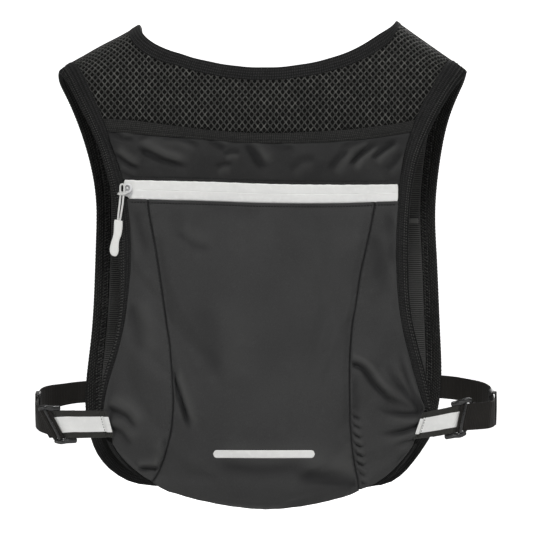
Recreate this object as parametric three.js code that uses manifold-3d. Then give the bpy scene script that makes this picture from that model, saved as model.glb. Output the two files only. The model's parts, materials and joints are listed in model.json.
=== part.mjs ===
// Reflective running vest: back panel with a zipped pocket, shoulders, two front panels
// with chest pockets, a centre zip and two side straps.
// Millimetres, +Z up. X runs across the back, the back's outer side faces -Y and the wearer
// faces +Y, so left is -X. The origin is on the wearer's side of the back panel.
//
// The cloth is laid out on one surface that runs up the back, over the shoulders and down
// the front. A place on it is [x, drop]: drop is the distance from the shoulder ridge
// measured along the cloth, positive on the back and negative on the front.
import * as THREE from 'three';
import Module from 'manifold-3d';
import { mergeVertices } from 'three/addons/utils/BufferGeometryUtils.js';

const wasm = await Module();
wasm.setup();

// ---------- driving dimensions ----------
const ROLL_R = 42; // radius of the shoulder roll
const DEPTH = 2 * ROLL_R; // back inner face to front inner face
const HALF_TURN = ROLL_R * Math.PI / 2; // drop at which the roll becomes upright
const FLAT_HALF = 125; // the cloth is flat out to this half width
const SIDE_CURL = 0.008; // how fast the sides turn towards the middle of the depth
const LINING_T = 1.4;
const FABRIC_IN = 1.7; // outer fabric lies between these two offsets
const FABRIC_OUT = 3.1;
const BIND_IN = -0.2; // binding lies between these two offsets
const BIND_OUT = 3.9;
const BIND_W = 6.2; // width of the front bindings
const GAP = 0.25; // half of the gap between neighbouring pieces
const RIDGE_CLEAR = 14; // traced points nearer the ridge than this are left out
const SEAM_LEVEL = 170; // above this the yoke's side edges follow the unrolled armhole

const BACK = 1;
const FRONT = -1;
const SIDES = [['left', -1], ['right', 1]]; // name and sign of x

// ---------- outlines, [x, z] ----------
// top of the shoulders, left to right
const RIDGE = [
  [-210.6, 178.2], [-192.6, 189], [-187.2, 193.5], [-183.6, 198.5], [-179.1, 202.1],
  [-165.6, 209.2], [-147.6, 219.6], [-129.6, 228.6], [-117, 235.8], [-102.6, 244.3],
  [-75.6, 260.1], [-50, 268.2], [-25, 273], [0, 274.6], [30, 272.6], [60, 266.8],
  [85, 259.6], [104.4, 252], [124.2, 238.5], [131.4, 233.1], [149.4, 220.5],
  [167.4, 207.9], [176.4, 202.1], [181.8, 198.5], [184.5, 194.4], [189.9, 189.9],
  [212.4, 174.6],
];
// armhole binding on the back, outer and inner line, bottom to top
const ARM_OUT = {
  left: [
    [-148.1, -107.1], [-147.6, -97.2], [-146.7, -88.2], [-144.9, -79.2], [-142.2, -69.3],
    [-139.5, -63], [-136.8, -56.7], [-134.1, -49.1], [-131.8, -40.5], [-130.3, -28.8],
    [-129.8, -13.5], [-129.6, 4.5], [-130.1, 27], [-131, 46.8], [-132.3, 66.6],
    [-134.6, 79.2], [-136.8, 90], [-139.5, 99], [-141.8, 108], [-144, 117], [-146.2, 126],
    [-149.4, 135], [-152.6, 141.3], [-155.7, 147.2], [-158.4, 153], [-161.1, 158.4],
    [-163.8, 163.8], [-167, 170.1], [-170.1, 175.5], [-173.7, 181.8], [-177.8, 188.1],
    [-182.2, 191.7], [-186.3, 193.1],
  ],
  right: [
    [149.4, -107.1], [149.2, -99], [148.3, -90], [146.2, -81], [144, -72.9], [141.3, -63],
    [139.1, -54], [136.8, -45], [133.9, -34.2], [132.3, -27], [131, -16.2], [130.1, 0],
    [129.6, 19.8], [129.6, 45], [130.1, 63], [130.5, 73.8], [131.2, 82.8], [132.3, 91.8],
    [134.1, 100.8], [135.9, 108.9], [137.7, 117.9], [140, 126], [143.6, 133.2],
    [147.2, 141.3], [150.3, 149.4], [153, 154.8], [155.7, 160.2], [158.8, 164.7],
    [162, 170.1], [165.6, 176.4], [170.1, 182.2], [175.5, 187.2], [183.2, 192.6],
  ],
};
const ARM_IN = {
  left: [
    [-144, -107.1], [-144, -100.8], [-142.2, -90.9], [-139.1, -81], [-135.9, -72],
    [-132.8, -63], [-130.1, -54], [-127.8, -45], [-126.2, -36], [-124.7, -27],
    [-123.3, -16.2], [-121.5, 0], [-120.2, 13.5], [-119.2, 28.8], [-119.5, 46.8],
    [-120.6, 65.7], [-122.4, 78.3], [-124.7, 88.2], [-126.5, 98.1], [-128.2, 106.2],
    [-131, 116.1], [-134.6, 126], [-137.7, 135], [-140.8, 143.1], [-143.6, 152.1],
    [-146.2, 158.4], [-149, 164.7], [-152.1, 171.5], [-155.2, 178.7], [-158.4, 185],
    [-162, 191.7], [-166.1, 198.9], [-170.1, 207],
  ],
  right: [
    [144, -107.1], [141.3, -99], [138.6, -90.9], [135.7, -81.9], [133.2, -72], [131, -63],
    [128.7, -54], [126.5, -45], [124.2, -36], [122.4, -27], [120.8, -14.4], [119.5, 1.8],
    [118.8, 19.8], [118.4, 37.8], [119, 59.4], [120.2, 72], [121.5, 82.8], [122.1, 93.6],
    [122.4, 103.5], [123.1, 112.5], [124.7, 119.7], [126.9, 126.9], [129.6, 134.1],
    [131.4, 142.2], [134.1, 149.4], [136.3, 154.8], [139.1, 160.7], [141.8, 166.1],
    [144.9, 172.3], [148.5, 179.1], [153, 186.8], [159.3, 194.8], [167.4, 206.6],
  ],
};
// neck binding on the back, left to right
const NECK_OUT = [
  [-112, 233.1], [-110.2, 230], [-107.1, 225.9], [-102.6, 222], [-93.6, 217.8],
  [-84.6, 214.6], [-71.1, 210.3], [-56.7, 206.5], [-39.6, 202.9], [-21.6, 200.2],
  [0, 199.3], [21.6, 200.4], [38.7, 203], [54.9, 206.7], [66.6, 210.2], [77.4, 214.2],
  [88.2, 219.3], [98.1, 225], [108, 230.8], [117, 236.2], [121.5, 238.3],
];
const NECK_IN = [
  [-122.4, 229.5], [-119.7, 222.3], [-115.2, 217.3], [-109.8, 213.3], [-101.7, 209.2],
  [-92.7, 206.1], [-81.9, 202.5], [-69.3, 198.9], [-54.9, 195], [-38.7, 191.7],
  [-20.7, 189.3], [0, 188.5], [21.6, 189.6], [40.5, 192.4], [57.6, 196.2], [70.2, 199.8],
  [81.9, 204], [93.6, 209.7], [104.4, 215.6], [116.1, 222.5], [133.2, 231.3],
];
// seam tape under the yoke, left to right
const TAPE_TOP = [
  [-143.6, 153.9], [-129.6, 153.2], [-111.6, 151.7], [-93.6, 149.1], [-75.6, 146.7],
  [-57.6, 144.5], [-30.6, 141.8], [0, 140.4], [32.4, 141.3], [59.4, 142.8], [81.9, 144.5],
  [104.4, 147.2], [122.4, 149.8], [135.9, 153],
];
const TAPE_BOTTOM = [
  [-140.8, 143.1], [-129.6, 142.2], [-111.6, 140.7], [-93.6, 139.2], [-75.6, 137.7],
  [-57.6, 136.3], [-30.6, 133.7], [0, 132.3], [32.4, 132.7], [59.4, 133.8], [81.9, 135.5],
  [104.4, 138.1], [118.8, 140.4], [131.4, 142.5],
];
// seams between the back pocket's centre and side panels, top to bottom
const POCKET_SEAM = {
  left: [
    [-104.9, 81], [-103.5, 70.2], [-100.8, 55.8], [-98.1, 42.3], [-96, 28.8],
    [-93.6, 13.5], [-91.4, -1.8], [-88.8, -18], [-86.4, -34.2], [-84.3, -50.4],
    [-82.8, -66.6], [-81.7, -81], [-81.2, -94.5], [-81.5, -108], [-82.8, -121.5],
    [-85.2, -135], [-88.2, -145.8], [-90.9, -153.9], [-94, -161.1], [-96.8, -166.5],
    [-99.9, -171.9],
  ],
  right: [
    [99.9, 78.3], [97.4, 63], [94.5, 49.5], [91.2, 35.1], [88, 21.6], [85.3, 6.3],
    [82.8, -9], [80.6, -22.5], [78.8, -36], [77.4, -50.4], [76.5, -66.6], [76.1, -85.5],
    [76.1, -102.6], [76.7, -117], [77.8, -131.4], [79.2, -144], [80.6, -154.8],
    [82.4, -163.8], [84, -171.9], [85, -179.1],
  ],
};
// side edges of the back below the armholes, top to bottom
const LOWER_SIDE = {
  left: [
    [-143.8, -108], [-141.3, -116.1], [-138.3, -124.2], [-136.5, -131.4], [-135.5, -138.6],
  ],
  right: [
    [142.7, -107.1], [141.3, -114.3], [138.6, -123.3], [136.2, -130.5], [133.9, -137.7],
  ],
};
// bottom edges of the back pocket's three panels, each left to right
const POCKET_BOTTOM = {
  left: [
    [-135.5, -138.6], [-131.4, -145.3], [-126, -152.1], [-120.6, -157.5],
    [-113.9, -162.9], [-107.1, -167.8], [-99.9, -171.9],
  ],
  centre: [
    [-99.9, -171.9], [-92.7, -176.8], [-84.6, -180.3], [-72, -184.1], [-57.6, -188.3],
    [-43.2, -191.3], [-27.9, -194], [-12.6, -195.8], [0.9, -196.6], [16.2, -195.9],
    [32.4, -194], [46.8, -191.3], [58.5, -188.6], [70.2, -185.4], [78.3, -182.5],
    [85, -179.1],
  ],
  right: [
    [85, -179.1], [92.2, -176.8], [99.9, -173.4], [108, -168.3], [115.2, -162],
    [122.4, -154.3], [128.2, -147.2], [133.9, -137.7],
  ],
};
// bottom of the back lining: shares its outer ends with the pocket
const LINING_BOTTOM = [
  ...POCKET_BOTTOM.left.slice(0, 6),
  [-98.1, -172.8], [-80.1, -177.3], [-57.6, -180.5], [-28.8, -182.7], [0, -183.6],
  [28.8, -182.7], [59.4, -180], [81.9, -176.8],
  ...POCKET_BOTTOM.right.slice(2),
];
// lower edge of the back hem binding, left to right
const HEM_OUT = [
  [-142.2, -134.1], [-139.5, -140.4], [-135.9, -146.7], [-131, -153], [-124.7, -159.3],
  [-117.5, -164.7], [-109.8, -169.7], [-100.8, -174.6], [-81.9, -180], [-58.5, -183.6],
  [-28.8, -186.1], [0, -187.2], [28.8, -186.1], [60.3, -183.2], [83.7, -179.6],
  [101.7, -176], [111.6, -170.6], [119.7, -163.3], [126.9, -155.2], [132.3, -148.1],
  [137.7, -138.6],
];
// outer edge of the fronts beside the armholes, top to bottom
const FRONT_OUT = {
  left: [
    [-190.8, 196.7], [-187.5, 189.3], [-182.9, 181.9], [-178.8, 174.5], [-175.1, 167.2],
    [-172.1, 159.8], [-169.4, 152.4], [-166.8, 145.1], [-164.6, 137.7], [-162.4, 130.3],
    [-160.4, 122.9], [-158.7, 115.6], [-157.1, 108.2], [-155.7, 100.8], [-154.5, 91.6],
    [-153.6, 82.4], [-153.1, 71.4], [-153.5, 60.3], [-154.1, 45.6], [-154.5, 27.1],
    [-155.2, 8.7], [-155.7, -9.7], [-156.7, -26.3], [-157.8, -42.9], [-159.6, -57.6],
    [-161.5, -72.4], [-162.9, -87.1], [-163.9, -101.9], [-163.1, -116.6],
    [-161.3, -127.7], [-158.5, -136.9],
  ],
  right: [
    [187.9, 196.7], [182.8, 189.3], [178.2, 181.9], [174.5, 174.5], [171.3, 167.2],
    [168.8, 159.8], [166.7, 152.4], [165.1, 145.1], [163.6, 137.7], [162.4, 130.3],
    [161.2, 122.9], [160.3, 115.6], [159.3, 108.2], [158.4, 100.8], [157.5, 91.6],
    [156.9, 82.4], [156.3, 71.4], [156.4, 60.3], [157.2, 45.6], [158.2, 30.8],
    [158.9, 12.4], [159.6, -7.9], [160.4, -26.3], [161, -44.7], [161.9, -59.5],
    [162.4, -72.4], [162.1, -87.1], [161, -100], [158.9, -112.9], [155.7, -125.8],
    [151.5, -137.8],
  ],
};
// bottom edge of the fronts, side to middle
const FRONT_BOTTOM = {
  left: [
    [-158.5, -136.9], [-156.2, -144.2], [-153, -151.6], [-148.4, -159], [-142.4, -165.9],
    [-135, -171.9], [-126.3, -176.9], [-116.1, -180], [-103.2, -181.6], [-82, -183.2],
    [-54.4, -184.3], [-26.8, -185.1], [-1.9, -185.3],
  ],
  right: [
    [151.5, -137.8], [147.4, -144.7], [142.8, -152.1], [137.7, -159.4], [132.2, -166.4],
    [125.7, -172.8], [117.9, -178], [107.8, -181.3], [95.8, -182.8], [74.6, -183.9],
    [51.6, -184.6], [28.5, -185.1], [1.8, -185.3],
  ],
};
// neckline of the fronts, shoulder to middle
const FRONT_NECK = {
  left: [
    [-114.7, 238.1], [-111.5, 228], [-107.4, 213.2], [-102.3, 197.6], [-94.9, 181.9],
    [-84.8, 166.2], [-71, 150.6], [-53.5, 135.8], [-33.2, 123.4], [-15.7, 115.6],
    [-1.9, 111.9],
  ],
  right: [
    [124.3, 243.5], [121.6, 231.7], [117, 216], [111.4, 200.3], [103.1, 183.8],
    [93, 168.1], [79.2, 152.4], [61.7, 137.7], [40.5, 124.8], [20.2, 116], [1.8, 111.9],
  ],
};

// ---------- numbers and vectors ----------
const lerp = (a, b, t) => a + (b - a) * t;
const mix = (p, q, t) => p.map((v, k) => lerp(v, q[k], t));
const clamp = (v, low, high) => Math.max(low, Math.min(high, v));
// eased step from 0 at `from` to 1 at `to`
function smooth(from, to, v) {
  const t = clamp((v - from) / (to - from), 0, 1);
  return t * t * (3 - 2 * t);
}
// count + 1 values of make(t), t evenly spaced from 0 to 1
const stations = (count, make) => Array.from({ length: count + 1 }, (_, i) => make(i / count));
const rev = (list) => [...list].reverse();
const distance = (p, q) => Math.hypot(p[0] - q[0], p[1] - q[1]);
const plus = (p, q, scale = 1) => p.map((v, k) => v + scale * q[k]);
const minus = (p, q) => plus(p, q, -1);
const cross = (p, q) => [
  p[1] * q[2] - p[2] * q[1],
  p[2] * q[0] - p[0] * q[2],
  p[0] * q[1] - p[1] * q[0],
];
const dot = (p, q) => p[0] * q[0] + p[1] * q[1] + p[2] * q[2];

// ---------- the vest's surface ----------
function tracedRidge(x) {
  const i = RIDGE.findIndex((p) => x <= p[0]);
  const [before, after] = [RIDGE[i - 1], RIDGE[i]];
  return lerp(before[1], after[1], (x - before[0]) / (after[0] - before[0]));
}
// ridge height, averaged to round its corners
const ridgeZ = (x) => [-6, -3, 0, 3, 6].reduce((sum, dx) => sum + tracedRidge(x + dx), 0) / 5;
// [x, z] on the back or the front to [x, drop]
function unroll([x, z], face) {
  const below = Math.max(0, ridgeZ(x) - z);
  const run = below < ROLL_R
    ? ROLL_R * Math.acos(1 - below / ROLL_R)
    : HALF_TURN + below - ROLL_R;
  return [x, run * face];
}
const onBack = (curve) => curve.map((p) => unroll(p, BACK));
const onFront = (curve) => curve.map((p) => unroll(p, FRONT));
const frontDrop = (x, z) => unroll([x, z], FRONT)[1];

const curl = (x) => SIDE_CURL * Math.max(0, Math.abs(x) - FLAT_HALF) ** 2;
// inner face of the vest
function surface(x, drop) {
  const run = Math.abs(drop);
  const face = drop >= 0 ? BACK : FRONT;
  let z = ridgeZ(x) - ROLL_R - (run - HALF_TURN);
  let reach = 1;
  if (run < HALF_TURN) {
    z = ridgeZ(x) - ROLL_R * (1 - Math.cos(run / ROLL_R));
    reach = Math.sin(run / ROLL_R);
  }
  return [x, ROLL_R - face * (ROLL_R - curl(x)) * reach, z];
}
const heightAt = (x, drop) => surface(x, drop)[2];
function outward(x, drop) {
  const step = 0.5;
  const alongX = minus(surface(x + step, drop), surface(x - step, drop));
  const alongDrop = minus(surface(x, drop + step), surface(x, drop - step));
  const normal = cross(alongX, alongDrop);
  const length = Math.hypot(...normal);
  return normal.map((v) => -v / length);
}
const at = (x, drop, offset) => plus(surface(x, drop), outward(x, drop), offset);

// ---------- curves ----------
function runLengths(curve) {
  const lengths = [0];
  for (let i = 1; i < curve.length; i++) {
    lengths.push(lengths[i - 1] + distance(curve[i], curve[i - 1]));
  }
  return lengths;
}
// point at a share of a curve's length
function along(curve, share) {
  const lengths = runLengths(curve);
  const wanted = share * lengths.at(-1);
  const i = lengths.findIndex((length, k) => k > 0 && wanted <= length);
  return mix(curve[i - 1], curve[i], (wanted - lengths[i - 1]) / (lengths[i] - lengths[i - 1]));
}
const even = (curve, count) => stations(count, (t) => along(curve, t));
// part of a curve where one coordinate (0 or 1) lies between two values
function cut(curve, axis, low, high) {
  const kept = [];
  curve.forEach((point, i) => {
    if (i > 0) {
      const before = curve[i - 1];
      for (const limit of [low, high]) {
        if ((before[axis] - limit) * (point[axis] - limit) < 0) {
          const t = (limit - before[axis]) / (point[axis] - before[axis]);
          kept.push(mix(before, point, t));
        }
      }
    }
    if (point[axis] >= low && point[axis] <= high) kept.push(point);
  });
  return kept;
}
// x where the second coordinate first reaches a value, or the last x if it never does
function xAt(curve, value) {
  for (let i = 1; i < curve.length; i++) {
    const [p, q] = [curve[i - 1], curve[i]];
    if ((p[1] - value) * (q[1] - value) <= 0 && p[1] !== q[1]) {
      return lerp(p[0], q[0], (value - p[1]) / (q[1] - p[1]));
    }
  }
  return curve.at(-1)[0];
}
// part of an [x, drop] curve, resampled at even drops
const between = (curve, dropFrom, dropTo) => stations(18, (t) => {
  const drop = lerp(dropFrom, dropTo, t);
  return [xAt(curve, drop), drop];
});
// moves a curve sideways in the [x, drop] plane
function offsetCurve(curve, width) {
  return curve.map((p, i) => {
    const before = curve[Math.max(0, i - 1)];
    const after = curve[Math.min(curve.length - 1, i + 1)];
    const scale = width / distance(before, after);
    return [p[0] - (after[1] - before[1]) * scale, p[1] + (after[0] - before[0]) * scale];
  });
}
function smoothCurve(curve, passes) {
  let result = curve;
  for (let pass = 0; pass < passes; pass++) {
    result = result.map((p, i, all) => (i === 0 || i === all.length - 1
      ? p
      : p.map((v, k) => (all[i - 1][k] + 2 * v + all[i + 1][k]) / 4)));
  }
  return result;
}
const clearRidge = (curve) => curve.filter((p) => Math.abs(p[1]) > RIDGE_CLEAR);
// lines across the cloth; on the back the height may vary with x
const backLine = (xFrom, xTo, zOf, count = 16) => stations(count, (t) => {
  const x = lerp(xFrom, xTo, t);
  return unroll([x, zOf(x)], BACK);
});
const frontLine = (xFrom, xTo, z, count) => stations(count, (t) => (
  unroll([lerp(xFrom, xTo, t), z], FRONT)));
const frontUpright = (x, zFrom, zTo) => stations(8, (t) => (
  unroll([x, lerp(zFrom, zTo, t)], FRONT)));

// ---------- grids of [x, drop] ----------
// grid between two edges that run side by side
const strip = (first, second, count, across = 1) => stations(count, (t) => {
  const [p, q] = [along(first, t), along(second, t)];
  return stations(across, (u) => mix(p, q, u));
});
// grid between four edges: bottom and top run left to right, left and right run upwards
function patch(bottom, top, left, right, columns, rows) {
  const bottomLeft = mix(bottom[0], left[0], 0.5);
  const bottomRight = mix(bottom.at(-1), right[0], 0.5);
  const topLeft = mix(top[0], left.at(-1), 0.5);
  const topRight = mix(top.at(-1), right.at(-1), 0.5);
  // a point of an edge whose ends have been moved onto the corners
  const fitted = (curve, start, end, t) => along(curve, t).map((v, k) => (
    v + (1 - t) * (start[k] - curve[0][k]) + t * (end[k] - curve.at(-1)[k])));
  return stations(columns, (u) => stations(rows, (v) => {
    const low = fitted(bottom, bottomLeft, bottomRight, u);
    const high = fitted(top, topLeft, topRight, u);
    const west = fitted(left, bottomLeft, topLeft, v);
    const east = fitted(right, bottomRight, topRight, v);
    return [0, 1].map((k) => (
      (1 - v) * low[k] + v * high[k] + (1 - u) * west[k] + u * east[k]
      - ((1 - u) * (1 - v) * bottomLeft[k] + u * (1 - v) * bottomRight[k]
        + (1 - u) * v * topLeft[k] + u * v * topRight[k])));
  }));
}
// patch on one front, its side edges given as armhole edge and middle edge and its lower
// and upper edges running from the armhole to the middle
function frontPatch(side, lower, upper, arm, middle, columns, rows) {
  return side < 0
    ? patch(lower, upper, arm, middle, columns, rows)
    : patch(rev(lower), rev(upper), middle, arm, columns, rows);
}

// ---------- solids ----------
// geometry of a closed surface, turned so that its faces look outwards
function closedGeometry(verts, tris) {
  const volume = tris.reduce((sum, [a, b, c]) => (
    sum + dot(verts[a], cross(verts[b], verts[c]))), 0);
  if (volume < 0) tris.forEach((tri) => tri.reverse());
  const geo = new THREE.BufferGeometry();
  geo.setAttribute('position', new THREE.Float32BufferAttribute(verts.flat(), 3));
  geo.setIndex(tris.flat());
  return mergeVertices(geo, 1e-4);
}
const quad = (a, b, c, d) => [[a, b, c], [a, c, d]];
// closed sheet over a grid; inner and outer are its faces' offsets, as numbers or functions
// of x and drop, and shrink draws in its edges
function sheet(grid, inner, outer, shrink = GAP) {
  const pull = (p, next) => mix(p, next, shrink / (distance(p, next) || 1));
  const pullEnds = (list, move) => [
    move(list[0], list[1]), ...list.slice(1, -1), move(list.at(-1), list.at(-2)),
  ];
  const rows = pullEnds(
    grid.map((row) => pullEnds(row, pull)),
    (row, next) => row.map((p, j) => pull(p, next[j])),
  );
  const face = (offset) => rows.flat().map(([x, drop]) => (
    at(x, drop, typeof offset === 'function' ? offset(x, drop) : offset)));
  const verts = [...face(inner), ...face(outer)];
  const tris = [];
  const endI = rows.length - 1;
  const endJ = rows[0].length - 1;
  const id = (i, j, top) => i * (endJ + 1) + j + top * (endI + 1) * (endJ + 1);
  for (let i = 0; i < endI; i++) {
    for (let j = 0; j < endJ; j++) {
      tris.push(...quad(id(i, j, 1), id(i + 1, j, 1), id(i + 1, j + 1, 1), id(i, j + 1, 1)));
      tris.push(...quad(id(i, j, 0), id(i, j + 1, 0), id(i + 1, j + 1, 0), id(i + 1, j, 0)));
    }
  }
  for (let i = 0; i < endI; i++) {
    tris.push(...quad(id(i, 0, 0), id(i + 1, 0, 0), id(i + 1, 0, 1), id(i, 0, 1)));
    tris.push(...quad(id(i, endJ, 0), id(i, endJ, 1), id(i + 1, endJ, 1), id(i + 1, endJ, 0)));
  }
  for (let j = 0; j < endJ; j++) {
    tris.push(...quad(id(0, j, 0), id(0, j, 1), id(0, j + 1, 1), id(0, j + 1, 0)));
    tris.push(...quad(id(endI, j, 0), id(endI, j + 1, 0), id(endI, j + 1, 1), id(endI, j, 1)));
  }
  return closedGeometry(verts, tris);
}
// ribbon through sections of [upper edge, lower edge] points, centred on them
function slab(sections, thickness) {
  const verts = [];
  const tris = [];
  const end = sections.length - 1;
  const middle = ([upper, lower]) => mix(upper, lower, 0.5);
  sections.forEach(([upper, lower], i) => {
    const before = middle(sections[Math.max(0, i - 1)]);
    const after = middle(sections[Math.min(end, i + 1)]);
    const normal = cross(minus(after, before), minus(upper, lower));
    const half = thickness / 2 / Math.hypot(...normal);
    verts.push(plus(upper, normal, half), plus(lower, normal, half));
    verts.push(plus(lower, normal, -half), plus(upper, normal, -half));
  });
  for (let i = 0; i < end; i++) {
    for (let k = 0; k < 4; k++) {
      const here = i * 4 + k;
      const beside = i * 4 + (k + 1) % 4;
      tris.push(...quad(here, beside, beside + 4, here + 4));
    }
  }
  tris.push([0, 2, 1], [0, 3, 2], ...quad(end * 4, end * 4 + 1, end * 4 + 2, end * 4 + 3));
  return closedGeometry(verts, tris);
}
// keeps positions only and welds equal points
function clean(geo) {
  const bare = geo.clone();
  for (const key of Object.keys(bare.attributes)) {
    if (key !== 'position') bare.deleteAttribute(key);
  }
  return mergeVertices(bare, 1e-4);
}
function toManifold(geo) {
  const welded = clean(geo);
  const mesh = new wasm.Mesh({
    numProp: 3,
    vertProperties: new Float32Array(welded.attributes.position.array),
    triVerts: new Uint32Array(welded.index.array),
  });
  mesh.merge();
  return new wasm.Manifold(mesh);
}
function fromManifold(manifold) {
  const mesh = manifold.getMesh();
  const geo = new THREE.BufferGeometry();
  const positions = new Float32Array(mesh.vertProperties);
  geo.setAttribute('position', new THREE.BufferAttribute(positions, 3));
  geo.setIndex(new THREE.BufferAttribute(new Uint32Array(mesh.triVerts), 1));
  return geo;
}
const unite = (parts) => parts.map((geo) => toManifold(geo)).reduce((sum, m) => sum.add(m));
const join = (parts) => fromManifold(unite(parts));
const carve = (manifold, cutters) => fromManifold(
  cutters.reduce((rest, geo) => rest.subtract(toManifold(geo)), manifold),
);
// cuts a sheet with each tool in turn and keeps the largest part
const trimmed = (geo, ...tools) => tools.reduce((rest, tool) => {
  const parts = toManifold(rest).subtract(tool).decompose();
  parts.sort((p, q) => q.volume() - p.volume());
  return fromManifold(parts[0]);
}, geo);
function box(x0, x1, y0, y1, z0, z1) {
  const geo = new THREE.BoxGeometry(x1 - x0, y1 - y0, z1 - z0);
  return geo.translate((x0 + x1) / 2, (y0 + y1) / 2, (z0 + z1) / 2);
}
// plate in the XZ plane with rounded corners, thickness along Y
function rounded(x0, x1, y0, y1, z0, z1, radius, curveSegments = 4) {
  const quarter = Math.PI / 2;
  const shape = new THREE.Shape();
  shape.moveTo(x0 + radius, z0);
  shape.lineTo(x1 - radius, z0);
  shape.absarc(x1 - radius, z0 + radius, radius, -quarter, 0, false);
  shape.lineTo(x1, z1 - radius);
  shape.absarc(x1 - radius, z1 - radius, radius, 0, quarter, false);
  shape.lineTo(x0 + radius, z1);
  shape.absarc(x0 + radius, z1 - radius, radius, quarter, Math.PI, false);
  shape.lineTo(x0, z0 + radius);
  shape.absarc(x0 + radius, z0 + radius, radius, Math.PI, Math.PI * 1.5, false);
  const options = { depth: y1 - y0, bevelEnabled: false, curveSegments };
  const geo = new THREE.ExtrudeGeometry(shape, options);
  geo.rotateX(quarter); // the shape's y becomes z, its depth runs to -y
  geo.translate(0, y1, 0);
  return clean(geo);
}
function polygon(points) {
  const shape = new THREE.Shape(points.map(([x, y]) => new THREE.Vector2(x, y)));
  shape.closePath();
  return shape;
}
// upright ring round the X direction
function ring(radius, wire, sides, steps, x, y, z) {
  const geo = new THREE.TorusGeometry(radius, wire, sides, steps);
  return clean(geo.rotateY(Math.PI / 2).translate(x, y, z));
}
// moved copy; a mirroring matrix also turns the faces back outwards
function place(geo, matrix) {
  const moved = geo.clone().applyMatrix4(matrix);
  if (matrix.determinant() < 0) {
    const { index } = moved;
    for (let i = 0; i < index.count; i += 3) {
      const first = index.getX(i);
      index.setX(i, index.getX(i + 2));
      index.setX(i + 2, first);
    }
  }
  return moved;
}

// ---------- materials and the group ----------
const MATERIALS = {
  fabric: { color: 0x38383a, roughness: 0.9, metalness: 0 },
  mesh: { color: 0x2c2c2b, roughness: 0.9, metalness: 0 },
  lining: { color: 0x242425, roughness: 0.9, metalness: 0 },
  binding: { color: 0x222224, roughness: 0.8, metalness: 0 },
  elastic: { color: 0x2a2a2b, roughness: 0.9, metalness: 0 },
  webbing: { color: 0x262321, roughness: 0.8, metalness: 0 },
  reflective: { color: 0xd4d4d2, roughness: 0.4, metalness: 0.2 },
  coil: { color: 0x8c8c8a, roughness: 0.5, metalness: 0 },
  zipmetal: { color: 0x9a9a9c, roughness: 0.35, metalness: 0.8 },
  plastic: { color: 0x1b1b1c, roughness: 0.5, metalness: 0 },
  rubber: { color: 0xd9d9d7, roughness: 0.7, metalness: 0 },
  cord: { color: 0x303032, roughness: 0.9, metalness: 0 },
};
const group = new THREE.Group();
group.name = 'running_vest';
function add(name, material, geo) {
  const mesh = new THREE.Mesh(geo, new THREE.MeshStandardMaterial(MATERIALS[material]));
  mesh.name = name;
  group.add(mesh);
}

// ---------- armhole and neck edges ----------
// each armhole edge runs from the bottom of the back over the shoulder to the front's bottom
const armholes = {};
const frontNeck = {}; // neckline edges on the fronts, shoulder to middle
for (const [tag, side] of SIDES) {
  const front = clearRidge(onFront(FRONT_OUT[tag]));
  const frontInner = offsetCurve(smoothCurve(even(front, 40), 2), -side * BIND_W);
  const armEdge = (back, rest) => (
    smoothCurve(even([...clearRidge(onBack(back)), ...rest], 60), 3));
  armholes[tag] = {
    outer: armEdge(ARM_OUT[tag], front),
    inner: armEdge(ARM_IN[tag], frontInner),
  };
  const neck = clearRidge(onFront(FRONT_NECK[tag]));
  const neckOuter = even(smoothCurve(even(neck, 40), 2), 40);
  frontNeck[tag] = { outer: neckOuter, inner: offsetCurve(neckOuter, side * BIND_W) };
}
// the neck edges run front left, round the back, front right
const neckEdge = (line, back) => smoothCurve(even([
  ...rev(frontNeck.left[line]), ...clearRidge(onBack(back)), ...frontNeck.right[line],
], 110), 3);
const neckGrid = strip(neckEdge('outer', NECK_OUT), neckEdge('inner', NECK_IN), 84);
const hemGrid = strip(onBack(HEM_OUT), onBack(LINING_BOTTOM), 26);

// widened copies of the bindings cut their neighbours back to an even gap
const neckCutter = toManifold(sheet(neckGrid, -2, BIND_OUT + 2, -0.35));
const hemCutter = toManifold(sheet(hemGrid, -2, BIND_OUT, -0.3));

// the back's share of each armhole's inner line, as [x, z], bottom to top
const backArm = {};
for (const [tag] of SIDES) {
  backArm[tag] = armholes[tag].inner
    .filter((p) => p[1] > 0)
    .map(([x, drop]) => [x, heightAt(x, drop)]);
}
const armPart = (tag, zFrom, zTo) => onBack(cut(backArm[tag], 1, zFrom, zTo));
// whole side edge of the back, bottom to top
const sideEdge = (tag, zTo) => [
  ...rev(onBack(cut(LOWER_SIDE[tag], 1, -200, -110))), ...armPart(tag, -106.5, zTo),
];
// a tape line cut off where the armholes pass a height
const acrossBack = (line, z) => cut(line, 0, xAt(backArm.left, z), xAt(backArm.right, z));
const tapeTop = acrossBack(TAPE_TOP, 152);
const tapeBottom = acrossBack(TAPE_BOTTOM, 142);

// ---------- upper back ----------
const ZIP_Z = 87.25; // back zip centre height at the middle
const ZIP_SLOPE = -0.0095;
const ZIP_HALF = 8.1; // half height of the back zip
const zipZ = (x) => ZIP_Z + ZIP_SLOPE * x;
const zipTopZ = (x) => zipZ(x) + ZIP_HALF;
const zipBottomZ = (x) => zipZ(x) - ZIP_HALF;

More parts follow.
